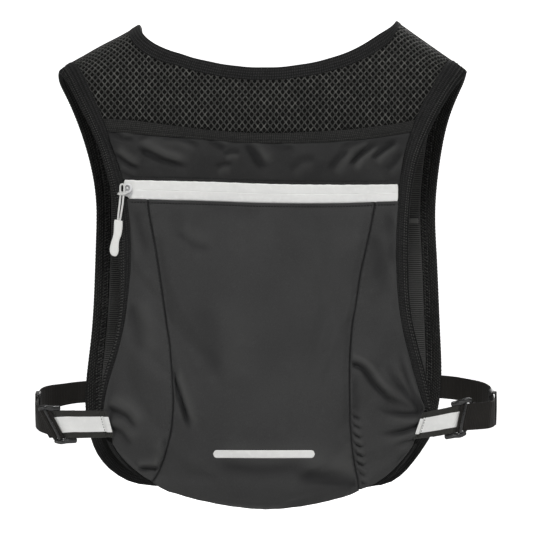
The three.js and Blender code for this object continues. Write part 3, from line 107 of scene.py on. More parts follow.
ARM_OUTER_R = np.array([
    (149.4, -107.1), (149.2, -99), (148.3, -90), (146.2, -81), (144, -72.9), (141.3, -63),
    (139.1, -54), (136.8, -45), (133.9, -34.2), (132.3, -27), (131, -16.2), (130.1, 0),
    (129.6, 19.8), (129.6, 45), (130.1, 63), (130.5, 73.8), (131.2, 82.8), (132.3, 91.8),
    (134.1, 100.8), (135.9, 108.9), (137.7, 117.9), (140, 126), (143.6, 133.2), (147.2, 141.3),
    (150.3, 149.4), (153, 154.8), (155.7, 160.2), (158.8, 164.7), (162, 170.1), (165.6, 176.4),
    (170.1, 182.2), (175.5, 187.2), (183.2, 192.6)])
ARM_INNER_R = np.array([
    (144, -107.1), (141.3, -99), (138.6, -90.9), (135.7, -81.9), (133.2, -72), (131, -63),
    (128.7, -54), (126.5, -45), (124.2, -36), (122.4, -27), (120.8, -14.4), (119.5, 1.8),
    (118.8, 19.8), (118.4, 37.8), (119, 59.4), (120.2, 72), (121.5, 82.8), (122.1, 93.6),
    (122.4, 103.5), (123.1, 112.5), (124.7, 119.7), (126.9, 126.9), (129.6, 134.1),
    (131.4, 142.2), (134.1, 149.4), (136.3, 154.8), (139.1, 160.7), (141.8, 166.1),
    (144.9, 172.3), (148.5, 179.1), (153, 186.8), (159.3, 194.8), (167.4, 206.6)])
# edges of the neck binding on the back
NECK_OUTER = np.array([
    (-112, 233.1), (-110.2, 230), (-107.1, 225.9), (-102.6, 222), (-93.6, 217.8), (-84.6, 214.6),
    (-71.1, 210.3), (-56.7, 206.5), (-39.6, 202.9), (-21.6, 200.2), (0, 199.3), (21.6, 200.4),
    (38.7, 203), (54.9, 206.7), (66.6, 210.2), (77.4, 214.2), (88.2, 219.3), (98.1, 225),
    (108, 230.8), (117, 236.2), (121.5, 238.3)])
NECK_INNER = np.array([
    (-122.4, 229.5), (-119.7, 222.3), (-115.2, 217.3), (-109.8, 213.3), (-101.7, 209.2),
    (-92.7, 206.1), (-81.9, 202.5), (-69.3, 198.9), (-54.9, 195), (-38.7, 191.7), (-20.7, 189.3),
    (0, 188.5), (21.6, 189.6), (40.5, 192.4), (57.6, 196.2), (70.2, 199.8), (81.9, 204),
    (93.6, 209.7), (104.4, 215.6), (116.1, 222.5), (133.2, 231.3)])
# the band below the net on the back
BAND_TOP = np.array([
    (-143.6, 153.9), (-129.6, 153.2), (-111.6, 151.7), (-93.6, 149.1), (-75.6, 146.7),
    (-57.6, 144.5), (-30.6, 141.8), (0, 140.4), (32.4, 141.3), (59.4, 142.8), (81.9, 144.5),
    (104.4, 147.2), (122.4, 149.8), (135.9, 153)])
BAND_BOTTOM = np.array([
    (-140.8, 143.1), (-129.6, 142.2), (-111.6, 140.7), (-93.6, 139.2), (-75.6, 137.7),
    (-57.6, 136.3), (-30.6, 133.7), (0, 132.3), (32.4, 132.7), (59.4, 133.8), (81.9, 135.5),
    (104.4, 138.1), (118.8, 140.4), (131.4, 142.5)])
# long seams of the back pocket, from the top down
SEAM_L = np.array([
    (-104.9, 81), (-103.5, 70.2), (-100.8, 55.8), (-98.1, 42.3), (-96, 28.8), (-93.6, 13.5),
    (-91.4, -1.8), (-88.8, -18), (-86.4, -34.2), (-84.3, -50.4), (-82.8, -66.6), (-81.7, -81),
    (-81.2, -94.5), (-81.5, -108), (-82.8, -121.5), (-85.2, -135), (-88.2, -145.8),
    (-90.9, -153.9), (-94, -161.1), (-96.8, -166.5), (-99.9, -171.9)])
SEAM_R = np.array([
    (99.9, 78.3), (97.4, 63), (94.5, 49.5), (91.2, 35.1), (88, 21.6), (85.3, 6.3), (82.8, -9),
    (80.6, -22.5), (78.8, -36), (77.4, -50.4), (76.5, -66.6), (76.1, -85.5), (76.1, -102.6),
    (76.7, -117), (77.8, -131.4), (79.2, -144), (80.6, -154.8), (82.4, -163.8), (84, -171.9),
    (85, -179.1)])
# pocket edge between its bottom and the armholes, from the bottom up
POCKET_CORNER = {
    "left": [(-135.5, -138.6), (-136.5, -131.4), (-138.3, -124.2), (-141.3, -116.1)],
    "right": [(133.9, -137.7), (136.2, -130.5), (138.6, -123.3), (141.3, -114.3)]}
POCKET_BOTTOM_L = np.array([
    (-135.5, -138.6), (-131.4, -145.3), (-126, -152.1), (-120.6, -157.5), (-113.9, -162.9),
    (-107.1, -167.8), (-99.9, -171.9)])
POCKET_BOTTOM_C = np.array([
    (-99.9, -171.9), (-92.7, -176.8), (-84.6, -180.3), (-72, -184.1), (-57.6, -188.3),
    (-43.2, -191.3), (-27.9, -194), (-12.6, -195.8), (0.9, -196.6), (16.2, -195.9), (32.4, -194),
    (46.8, -191.3), (58.5, -188.6), (70.2, -185.4), (78.3, -182.5), (85, -179.1)])
POCKET_BOTTOM_R = np.array([
    (85, -179.1), (92.2, -176.8), (99.9, -173.4), (108, -168.3), (115.2, -162), (122.4, -154.3),
    (128.2, -147.2), (133.9, -137.7)])
# the lining shares the pocket's corners and runs straighter between them
LINING_BOTTOM = np.vstack([
    POCKET_BOTTOM_L[:-1],
    [(-98.1, -172.8), (-80.1, -177.3), (-57.6, -180.5), (-28.8, -182.7), (0, -183.6),
     (28.8, -182.7), (59.4, -180), (81.9, -176.8)],
    POCKET_BOTTOM_R[2:]])
HEM_OUTER = np.array([
    (-142.2, -134.1), (-139.5, -140.4), (-135.9, -146.7), (-131, -153), (-124.7, -159.3),
    (-117.5, -164.7), (-109.8, -169.7), (-100.8, -174.6), (-81.9, -180), (-58.5, -183.6),
    (-28.8, -186.1), (0, -187.2), (28.8, -186.1), (60.3, -183.2), (83.7, -179.6), (101.7, -176),
    (111.6, -170.6), (119.7, -163.3), (126.9, -155.2), (132.3, -148.1), (137.7, -138.6)])
# front panels: armhole side from the top down, then the bottom towards the middle
FRONT_OUTER_L = np.array([
    (-190.8, 196.7), (-187.5, 189.3), (-182.9, 181.9), (-178.8, 174.5), (-175.1, 167.2),
    (-172.1, 159.8), (-169.4, 152.4), (-166.8, 145.1), (-164.6, 137.7), (-162.4, 130.3),
    (-160.4, 122.9), (-158.7, 115.6), (-157.1, 108.2), (-155.7, 100.8), (-154.5, 91.6),
    (-153.6, 82.4), (-153.1, 71.4), (-153.5, 60.3), (-154.1, 45.6), (-154.5, 27.1), (-155.2, 8.7),
    (-155.7, -9.7), (-156.7, -26.3), (-157.8, -42.9), (-159.6, -57.6), (-161.5, -72.4),
    (-162.9, -87.1), (-163.9, -101.9), (-163.1, -116.6), (-161.3, -127.7), (-158.5, -136.9)])
FRONT_OUTER_R = np.array([
    (187.9, 196.7), (182.8, 189.3), (178.2, 181.9), (174.5, 174.5), (171.3, 167.2),
    (168.8, 159.8), (166.7, 152.4), (165.1, 145.1), (163.6, 137.7), (162.4, 130.3),
    (161.2, 122.9), (160.3, 115.6), (159.3, 108.2), (158.4, 100.8), (157.5, 91.6), (156.9, 82.4),
    (156.3, 71.4), (156.4, 60.3), (157.2, 45.6), (158.2, 30.8), (158.9, 12.4), (159.6, -7.9),
    (160.4, -26.3), (161, -44.7), (161.9, -59.5), (162.4, -72.4), (162.1, -87.1), (161, -100),
    (158.9, -112.9), (155.7, -125.8), (151.5, -137.8)])
FRONT_BOTTOM = {
    "left": [(-158.5, -136.9), (-156.2, -144.2), (-153, -151.6), (-148.4, -159),
             (-142.4, -165.9), (-135, -171.9), (-126.3, -176.9), (-116.1, -180),
             (-103.2, -181.6), (-82, -183.2), (-54.4, -184.3), (-26.8, -185.1), (-1.9, -185.3)],
    "right": [(151.5, -137.8), (147.4, -144.7), (142.8, -152.1), (137.7, -159.4),
              (132.2, -166.4), (125.7, -172.8), (117.9, -178), (107.8, -181.3),
              (95.8, -182.8), (74.6, -183.9), (51.6, -184.6), (28.5, -185.1), (1.8, -185.3)]}
FRONT_NECK_L = np.array([
    (-114.7, 238.1), (-111.5, 228), (-107.4, 213.2), (-102.3, 197.6), (-94.9, 181.9),
    (-84.8, 166.2), (-71, 150.6), (-53.5, 135.8), (-33.2, 123.4), (-15.7, 115.6), (-1.9, 111.9)])
FRONT_NECK_R = np.array([
    (124.3, 243.5), (121.6, 231.7), (117, 216), (111.4, 200.3), (103.1, 183.8), (93, 168.1),
    (79.2, 152.4), (61.7, 137.7), (40.5, 124.8), (20.2, 116), (1.8, 111.9)])
# the back zip: (x, z of its middle, half width)
ZIP_LINE = np.array([
    (-130, 90.9, 8.5), (-120, 90.5, 8.6), (-89, 89.6, 8.8), (-43, 88.5, 8.9), (-8, 87.1, 8.9),
    (32, 86.3, 8.7), (70, 86.3, 8.5), (99, 86.9, 8.0), (121, 87.6, 7.7), (130, 87.9, 7.6)])

# ---------------------------------------------------------------- folds pressed into the cloth
# Each is (points (x, z) of its valley, width, strength, kind). The sign of the kind says on
# which side the soft ridge lies. Kind 2 is gathered: deepest at its first point.
UPPER_FOLDS = [
    ([(-142.2, 144), (-133.2, 140.4), (-126, 135.9), (-115.2, 135.9)], 2.4, 1.1, 1),
    ([(-117, 135.9), (-102.6, 140.4), (-84.6, 138.6)], 3.0, 0.6, -1),
    ([(-115.2, 129.6), (-104.4, 123.3), (-90, 116.1), (-66.6, 109.8)], 3.2, 1.4, 1),
    ([(-136.8, 124.2), (-129.6, 118.8), (-120.6, 111.6), (-109.8, 108.9)], 2.6, 1.0, 1),
    ([(-93.6, 136.8), (-79.2, 137.7), (-68.4, 134.1), (-57.6, 127.8)], 2.6, 0.8, -1),
    ([(-52.2, 136.8), (-41.4, 130.5), (-32.4, 126)], 2.6, 1.1, 1),
    ([(-37.8, 122.4), (-28.8, 125.1), (-19.8, 124.2)], 2.4, 0.7, -1),
    ([(-18.9, 133.2), (-10.8, 126), (-3.6, 115.2), (3.6, 108)], 3.4, 1.2, 1),
    ([(-45, 109.8), (-36, 113.4), (-27, 112.5)], 2.6, 0.7, -1),
    ([(3.6, 135), (14.4, 128.7), (28.8, 126.9)], 3.2, 0.7, 1),
    ([(19.8, 106.2), (32.4, 117), (48.6, 118.8)], 3.6, 0.5, -1),
    ([(57.6, 106.2), (66.6, 118.8), (79.2, 129.6)], 3.2, 0.8, -1),
    ([(75.6, 109.8), (84.6, 120.6), (95.4, 128.7), (104.4, 135)], 2.6, 1.3, -1),
    ([(95.4, 117), (106.2, 126), (120.6, 135.9)], 2.6, 1.2, -1),
    ([(68.4, 127.8), (82.8, 133.2), (97.2, 138.6)], 2.6, 0.7, -1),
    ([(108, 106.2), (117, 114.3), (124.2, 126)], 2.6, 0.6, -1),
    ([(-131.4, 107.1), (-124.2, 104.4), (-115.2, 98.1)], 2.2, 0.5, 1),
]
LEFT_FOLDS = [
    ([(-144.9, -107.1), (-135, -108.9), (-124.2, -113.4), (-114.3, -127.8)], 4.2, 1.3, 1),
    ([(-142.2, -124.2), (-129.6, -127.8), (-118.8, -141.3)], 4.0, 0.9, 1),
    ([(-115.2, -162), (-104.4, -160.2), (-90.9, -161.1)], 2.6, 1.2, 1),
    ([(-122.4, -9), (-115.2, -36), (-111.6, -63)], 6.0, 0.7, 1),
    ([(-118.8, 76.5), (-111.6, 54), (-102.6, 25.2)], 5.0, 0.5, -1),
    ([(-89.1, -131.4), (-86.4, -145.8), (-93.6, -162)], 3.4, 0.9, -1),
]
CENTRE_FOLDS = [
    ([(-82.8, -68.4), (-81, -79.2), (-75.6, -95.4), (-69.3, -113.4), (-66.6, -129.6)],
     2.8, 1.5, 1),
    ([(-81, 52.2), (-63, 39.6), (-45, 35.1)], 4.2, 0.5, 1),
    ([(-61.2, 84.6), (-30.6, 72), (5.4, 68.4)], 8.0, 0.35, 1),
    ([(-48.6, -154.8), (-3.6, -162), (50.4, -155.7)], 7.0, 0.8, 1),
    ([(-57.6, -9), (-45, -45), (-46.8, -90)], 11.0, 0.4, 1),
    ([(23.4, -165.6), (55.8, -168.3), (79.2, -172.8), (108, -181.8)], 7.0, 1.2, 1),
]
# on the right, folds run out from the strap's tab
RIGHT_FOLDS = [
    ([(79.2, -66.15), (86.4, -67.05), (91.8, -72.9), (99, -84.6), (110.7, -96.3),
      (126.9, -104.4), (143.1, -109.8)], 3.0, 1.6, 2),
    ([(144.9, -107.1), (138.6, -99), (131.4, -86.4), (126, -70.2), (121.5, -50.4)],
     2.8, 1.3, -2),
    ([(144.9, -106.2), (140.4, -93.6), (136.8, -72), (134.1, -43.2)], 2.4, 1.0, -2),
    ([(144, -108.9), (131.4, -97.2), (117, -79.2), (106.2, -59.4)], 3.2, 1.0, -2),
    ([(143.1, -110.7), (127.8, -112.5), (111.6, -109.8), (97.2, -102.6)], 3.0, 1.1, 2),
    ([(138.6, -122.4), (126.9, -126.9), (113.4, -129.6), (99, -127.8)], 3.0, 1.3, 2),
    ([(136.8, -133.2), (126, -136.8), (113.4, -140.4)], 3.0, 1.1, 2),
    ([(133.2, -141.3), (124.2, -151.2), (113.4, -162)], 3.2, 0.9, 2),
    ([(79.2, -73.8), (81.9, -99), (81, -126)], 4.5, 0.7, -1),
    ([(111.6, 76.5), (115.2, 45), (118.8, 9)], 5.0, 0.6, 1),
    ([(97.2, 54), (104.4, 25.2), (108, -9)], 7.0, 0.5, 1),
]
# short puckers down the right seam: (x of the start, strength)
PUCKERS = [(76.14, 0.75), (76.68, 0.95), (77.31, 1.10), (78.21, 1.20),
           (79.11, 1.20), (80.28, 1.10), (81.54, 1.00), (82.98, 0.80)]
PUCKER_TOP_Z, PUCKER_PITCH, PUCKER_WIDTH = -108.9, 8.46, 1.5
for i, (x, strength) in enumerate(PUCKERS):
    z = PUCKER_TOP_Z - PUCKER_PITCH * i
    RIGHT_FOLDS.append(([(x, z), (x + 3.96, z - 4.05), (x + 10.71, z - 7.65)],
                        PUCKER_WIDTH, strength, 1))
# chest pockets, with x measured outwards
CHEST_FOLDS = [
    ([(60, 40), (80, 20), (104, 12)], 4.0, 1.0, 1),
    ([(30, 30), (50, 16), (60, -6)], 4.5, 0.8, -1),
    ([(40, -70), (70, -78), (100, -70)], 4.0, 1.1, 1),
    ([(28, -40), (40, -56), (44, -80)], 3.6, 0.9, 1),
    ([(112, -30), (98, -46), (92, -70)], 3.8, 1.0, 1),
    ([(70, 44), (74, 20), (70, -10)], 6.0, 0.6, -1),
]


# ---------------------------------------------------------------- the surface and its curves
def smoothstep(a, b, v):
    t = np.clip((np.asarray(v, float) - a) / (b - a), 0, 1)
    return t * t * (3 - 2 * t)


def bell(v, centre, width):
    return np.exp(-((v - centre) / width) ** 2)


def unit(v):
    return v / np.maximum(np.linalg.norm(v, axis=-1, keepdims=True), 1e-9)


RIDGE_WEIGHTS = np.exp(-np.linspace(-1.8, 1.8, 9) ** 2)
RIDGE_WEIGHTS /= RIDGE_WEIGHTS.sum()
RIDGE_OFFSETS = np.linspace(-11, 11, 9)


def ridge_height(x):
    """Height of the shoulder ridge, its corners eased."""
    x = np.asarray(x, float)
    return sum(w * np.interp(x + o, RIDGE[:, 0], RIDGE[:, 1])
               for w, o in zip(RIDGE_WEIGHTS, RIDGE_OFFSETS))


def to_pattern(curve, side):
    """Points (x, z) to pattern points; side is 1 on the back and -1 on the front."""
    c = np.asarray(curve, float)
    d = np.maximum(0, ridge_height(c[:, 0]) - c[:, 1])
    over = SHOULDER_RADIUS * np.arccos(np.clip(1 - d / SHOULDER_RADIUS, -1, 1))
    s = np.where(d < SHOULDER_RADIUS, over, HALF_TURN + d - SHOULDER_RADIUS)
    return np.stack([c[:, 0], s * side], 1)


def curl(x):
    e = np.maximum(0, np.abs(x) - FLAT_HALF)
    return SIDE_CURL * e * e


def surface(points):
    points = np.asarray(points, float)
    x, s = points[..., 0], points[..., 1]
    a = np.abs(s)
    turn = np.minimum(a, HALF_TURN) / SHOULDER_RADIUS
    drop = SHOULDER_RADIUS * (1 - np.cos(turn))
    z = ridge_height(x) - drop - np.maximum(0, a - HALF_TURN)
    y = DEPTH / 2 - np.where(s >= 0, 1, -1) * (DEPTH / 2 - curl(x)) * np.sin(turn)
    return np.stack([x, y, z], -1)


def normal(points):
    along_x, along_s = np.array([0.8, 0]), np.array([0, 0.8])
    u = surface(points + along_x) - surface(points - along_x)
    v = surface(points + along_s) - surface(points - along_s)
    return unit(-np.cross(u, v))


def place(points, lift):
    """Pattern points raised off the surface."""
    return surface(points) + normal(points) * np.asarray(lift, float)[..., None]


def height(points):
    return surface(points)[..., 2]


def lengths(c):
    return np.concatenate([[0], np.cumsum(np.linalg.norm(np.diff(c, axis=0), axis=1))])


def along(c, t):
    c = np.asarray(c, float)
    L = lengths(c)
    w = np.clip(t, 0, 1) * L[-1]
    return np.stack([np.interp(w, L, c[:, k]) for k in range(c.shape[1])], -1)


def even(c, n):
    return along(c, np.linspace(0, 1, n + 1))


def smooth_curve(c, rounds):
    c = np.array(c, float)
    for _ in range(rounds):
        c[1:-1] = (c[:-2] + 2 * c[1:-1] + c[2:]) / 4
    return c


def offset_curve(c, distance):
    d = unit(np.gradient(c, axis=0))
    return c + np.stack([-d[:, 1], d[:, 0]], 1) * distance


def clear_ridge(c, margin=14):
    return c[np.abs(c[:, 1]) > margin]


def x_at(c, level):
    """x where a line first reaches a level of its second column."""
    v = c[:, 1] - level
    i = np.nonzero(v[:-1] * v[1:] <= 0)[0]
    if not len(i):
        return c[np.argmin(np.abs(v)), 0]
    i = i[0]
    f = v[i] / (v[i] - v[i + 1]) if v[i] != v[i + 1] else 0
    return c[i, 0] + f * (c[i + 1, 0] - c[i, 0])


def patch(bottom, top, left, right, nu, nv):
    """A grid stretched between four edges, which are first made to meet at the corners."""
    u, v = np.linspace(0, 1, nu + 1), np.linspace(0, 1, nv + 1)
    c00, c10 = (bottom[0] + left[0]) / 2, (bottom[-1] + right[0]) / 2
    c01, c11 = (top[0] + left[-1]) / 2, (top[-1] + right[-1]) / 2

    def fix(c, a, b, t):
        return along(c, t) + (1 - t)[:, None] * (a - c[0]) + t[:, None] * (b - c[-1])

    B, T = fix(bottom, c00, c10, u), fix(top, c01, c11, u)
    L, Q = fix(left, c00, c01, v), fix(right, c10, c11, v)
    U, V = u[:, None, None], v[None, :, None]
    return ((1 - V) * B[:, None] + V * T[:, None] + (1 - U) * L[None] + U * Q[None]
            - ((1 - U) * (1 - V) * c00 + U * (1 - V) * c10 + (1 - U) * V * c01 + U * V * c11))


def back_line(x0, x1, z_of_x, count=60):
    x = np.linspace(x0, x1, count)
    return to_pattern(np.stack([x, z_of_x(x)], 1), 1)


def front_line(x0, x1, z, count=40):
    x = np.linspace(x0, x1, count)
    return to_pattern(np.stack([x, np.full(count, float(z))], 1), -1)


# ---------------------------------------------------------------- lines shared by the pieces
def armhole_edges(back_outer, back_inner, front_outer, side):
    """Outer and inner edge of an armhole binding, from the back's bottom to the front's."""
    front = clear_ridge(to_pattern(front_outer, -1))
    inset = offset_curve(smooth_curve(even(front, 40), 2), -side * BINDING_WIDTH)
    pairs = ((back_outer, front), (back_inner, inset))
    return [smooth_curve(even(np.vstack([clear_ridge(to_pattern(back, 1)), rest]), 160), 14)
            for back, rest in pairs]


arm_outer, arm_inner, arm_back = {}, {}, {}  # arm_back is the inner edge on the back, in (x, z)
for (tag, side), edges in zip(SIDES, ((ARM_OUTER_L, ARM_INNER_L, FRONT_OUTER_L),
                                      (ARM_OUTER_R, ARM_INNER_R, FRONT_OUTER_R))):
    arm_outer[tag], arm_inner[tag] = armhole_edges(*edges, side)
    back = arm_inner[tag][arm_inner[tag][:, 1] > 0]
    arm_back[tag] = np.stack([back[:, 0], height(back)], 1)


def back_edge(tag, z0, z1):
    """Part of an armhole's inner edge on the back, lower end first."""
    rows = [[x_at(arm_back[tag], z), z] for z in np.linspace(z0, z1, 60)]
    return to_pattern(np.array(rows), 1)


zip_x = np.linspace(-130, 130, 131)
zip_curve = np.stack([zip_x] + [np.interp(zip_x, ZIP_LINE[:, 0], ZIP_LINE[:, k])
                                for k in (1, 2)], 1)
zip_curve[:, 1:] = smooth_curve(zip_curve, 40)[:, 1:]


def zip_middle(x):
    return np.interp(x, zip_curve[:, 0], zip_curve[:, 1])


def zip_half_width(x):
    return np.interp(x, zip_curve[:, 0], zip_curve[:, 2])


def zip_top(x):
    return zip_middle(x) + zip_half_width(x)


def zip_bottom(x):
    return zip_middle(x) - zip_half_width(x)


# neck, from the left front round the back to the right front
front_neck_l, front_neck_r = [smooth_curve(even(clear_ridge(to_pattern(c, -1)), 40), 4)
                              for c in (FRONT_NECK_L, FRONT_NECK_R)]


def neck_line(left, back, right):
    joined = np.vstack([left[::-1], clear_ridge(to_pattern(back, 1)), right])
    return smooth_curve(even(joined, 280), 26)


neck_outer = neck_line(front_neck_l, NECK_OUTER, front_neck_r)
neck_inner = neck_line(offset_curve(front_neck_l, -BINDING_WIDTH), NECK_INNER,
                       offset_curve(front_neck_r, BINDING_WIDTH))
neck_back = neck_inner[neck_inner[:, 1] > 0]
neck_back = neck_back[np.argsort(neck_back[:, 0])]
neck_front = {}
for tag, side in SIDES:
    half = neck_inner[(neck_inner[:, 1] <= 0) & (neck_inner[:, 0] * side > 0)]
    neck_front[tag] = half[np.argsort(half[:, 1])]


def arm_x(tag, s):
    """x of an armhole's inner edge at distance s."""
    c = arm_inner[tag]
    return np.interp(s, c[::-1, 1], c[::-1, 0])


def cut_at_armholes(curve, z):
    x = np.linspace(x_at(arm_back["left"], z), x_at(arm_back["right"], z), 90)
    return np.stack([x, np.interp(x, curve[:, 0], curve[:, 1])], 1)


band_top = cut_at_armholes(BAND_TOP, 152)
band_bottom = cut_at_armholes(BAND_BOTTOM, 142)


# ---------------------------------------------------------------- meshes
def make(name, verts, faces, *materials, uv=None, face_slots=None, tone=None):
    """A smooth mesh object from millimetres; tone is a value per point that sets painted shade
    and painted highlight in its colour.
    """
    me = bpy.data.meshes.new(name)
    v = np.asarray(verts, float) * MM
    me.from_pydata(v.tolist(), [], [tuple(int(k) for k in f) for f in faces])
    if uv is not None:
        layer = me.uv_layers.new(name="UVMap")
        idx = np.zeros(len(me.loops), np.int32)
        me.loops.foreach_get("vertex_index", idx)
        values = (np.asarray(uv, float)[idx] * MM).astype(np.float32)
        layer.data.foreach_set("uv", values.ravel())
    for m in materials:
        me.materials.append(m)
    if face_slots is not None:
        me.polygons.foreach_set("material_index", np.asarray(face_slots, np.int32))
    me.validate()
    bm = bmesh.new()
    bm.from_mesh(me)
    bmesh.ops.recalc_face_normals(bm, faces=bm.faces)
    bm.to_mesh(me)
    bm.free()
    if tone is not None:
        attribute = me.attributes.new("tone", "FLOAT", "POINT")
        attribute.data.foreach_set("value", np.asarray(tone, np.float32).ravel())
    me.polygons.foreach_set("use_smooth", [True] * len(me.polygons))
    me.update()
    ob = bpy.data.objects.new(name, me)
    SCENE.collection.objects.link(ob)
    return ob


def attach(ob, slot, *replaced, body="vest"):
    """Tells the frame what a piece moves with and what it stands for; slot, its material family,
    is not used.
    """
    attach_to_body(ob, body)
    if replaced:
        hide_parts(*replaced)


def grid_faces(nu, nv, off=0):
    i, j = np.meshgrid(np.arange(nu - 1), np.arange(nv - 1), indexing="ij")
    a = (i * nv + j + off).ravel()
    return np.stack([a, a + nv, a + nv + 1, a + 1], 1)


def solid_faces(nu, nv):
    """Faces of a solid between two grids, one stored after the other."""
    count = nu * nv
    rim = np.concatenate([np.arange(nu) * nv, (nu - 1) * nv + np.arange(1, nv),
                          np.arange(nu - 2, -1, -1) * nv + nv - 1, np.arange(nv - 2, 0, -1)])
    following = np.roll(rim, -1)
    wall = np.stack([rim, following, following + count, rim + count], 1)
    return np.concatenate([grid_faces(nu, nv), grid_faces(nu, nv, count)[:, ::-1], wall])


def tube_faces(rings, sides, closed=False):
    """Faces of a tube of point rings, capped unless it closes on itself."""
    spans = rings if closed else rings - 1
    I, J = (k.ravel() for k in np.meshgrid(np.arange(spans), np.arange(sides), indexing="ij"))
    here, there, turn = I * sides, (I + 1) % rings * sides, (J + 1) % sides
    F = np.stack([here + J, here + turn, there + turn, there + J], 1).tolist()
    if not closed:
        F += [list(range(sides))[::-1], [(rings - 1) * sides + j for j in range(sides)]]
    return F


def shell(name, outer, inner, material, uv, tone=None):
    """Closed solid between two point grids of the same layout."""
    V = np.concatenate([outer.reshape(-1, 3), inner.reshape(-1, 3)])
    U = np.concatenate([uv.reshape(-1, 2), uv.reshape(-1, 2)])
    T = None if tone is None else np.concatenate([tone.ravel(), tone.ravel()])
    return make(name, V, solid_faces(*outer.shape[:2]), material, uv=U, tone=T)


def sheet(name, grid, inner, outer, material, tone=None):
    """Solid over a pattern grid between two lifts off the surface."""
    uv = grid * np.array([1, -1])
    return shell(name, place(grid, outer), place(grid, inner), material, uv, tone)


def rounded(angles, power, y_power=None):
    """Points of a superellipse: power 1 is round, and less is squarer."""
    c, s = np.cos(angles), np.sin(angles)
    return np.sign(c) * np.abs(c) ** power, np.sign(s) * np.abs(s) ** (y_power or power)


def turns(count):
    return np.linspace(0, TAU, count, endpoint=False)


def tube(name, outer, inner, low, high, count, sides, power, widen, relief, *materials,
         side_slots=None):
    """A closed tube between two pattern lines. relief(across, along) shapes its top."""
    a, b = even(outer, count), even(inner, count)
    across, up = rounded(turns(sides), power)
    mid, half = (a + b) / 2, (b - a) / 2
    w = np.linalg.norm(half, axis=1, keepdims=True)
    half = half * (1 + widen / np.maximum(w, 0.1))
    P = mid[:, None] + half[:, None] * across[None, :, None]
    t = np.linspace(0, 1, count + 1)[:, None] * lengths(a)[-1]
    thick = (high - low) / 2
    lift = (low + high) / 2 + thick * up + (up > 0) * relief(across, t)
    girth = np.hypot(np.diff(across) * float(w.mean()), np.diff(up) * thick)
    shape = (count + 1, sides)
    uv = np.stack([np.broadcast_to(np.concatenate([[0], np.cumsum(girth)]), shape),
                   np.broadcast_to(t, shape)], -1)
    slots = None
    if side_slots:
        slots = np.tile(side_slots(across, up), count).tolist() + [0, 0]
    return make(name, place(P, lift).reshape(-1, 3), tube_faces(count + 1, sides), *materials,
                uv=uv.reshape(-1, 2), face_slots=slots)


def tape(name, outer, inner, material, low, high, sides, count, power, widen,
         groove=5.0, pucker=0.0):
    """Rounded tape. groove places a sewn line across it; beyond 1 there is none."""
    def relief(across, t):
        return (0.25 * bell(across, -0.2, 0.9) - 0.55 * bell(across, groove, 0.16)
                + pucker * np.sin(t * TAU / 5.2) * bell(across, groove - 0.12, 0.35))

    return tube(name, outer, inner, low, high, count, sides, power, widen, relief, material)


def capsules(name, P, Q, N, r, material):
    """Many short stitches in one mesh, each a closed capsule from P to Q lying on normal N."""
    sides = 5
    P, Q, N = (np.asarray(k, float) for k in (P, Q, N))
    d = Q - P
    L = np.linalg.norm(d, axis=1, keepdims=True)
    d = d / np.maximum(L, 1e-9)
    w = unit(np.cross(d, N))
    n = np.cross(w, d)
    th = turns(sides)[None, :, None]
    rings = []
    for f, size in ((0.0, 0.45), (0.18, 1.0), (0.82, 1.0), (1.0, 0.45)):
        centre = (P + d * L * f)[:, None]
        rings.append(centre + size * r * (np.cos(th) * w[:, None]
                                          + 0.75 * np.sin(th) * n[:, None]))
    one = tube_faces(4, sides)
    F = [[4 * sides * k + i for i in f] for k in range(len(P)) for f in one]
    return make(name, np.stack(rings, 1).reshape(-1, 3), F, material)


def stitches(name, curve, lift, pitch, length, r, material):
    """Stitches along a pattern line, part of the bindings."""
    L = lengths(curve)[-1]
    t0 = (np.arange(max(1, int(L / pitch))) + 0.15) * pitch / L
    a, b = along(curve, t0), along(curve, t0 + length / L)
    attach(capsules(name, place(a, lift), place(b, lift), normal(a), r, material), "binding")


def space_stitches(name, C, lift, r, pitch=2.9, length=1.8, away=BACKWARD):
    """Stitches along a line of points in space, part of the cloth."""
    C = np.asarray(C, float)
    L = lengths(C)
    w0 = (np.arange(max(1, int(L[-1] / pitch))) + 0.15) * pitch
    A, B = (np.stack([np.interp(w, L, C[:, j]) for j in range(3)], 1)
            for w in (w0, w0 + length))
    N = np.broadcast_to(np.array(away, float), A.shape)
    attach(capsules(name, A + N * lift, B + N * lift, N, r, THREAD), "fabric")


# ---------------------------------------------------------------- materials
def srgb(v):
    v = np.asarray(v, float) / 255
    return np.where(v <= 0.04045, v / 12.92, ((v + 0.055) / 1.055) ** 2.4).tolist()


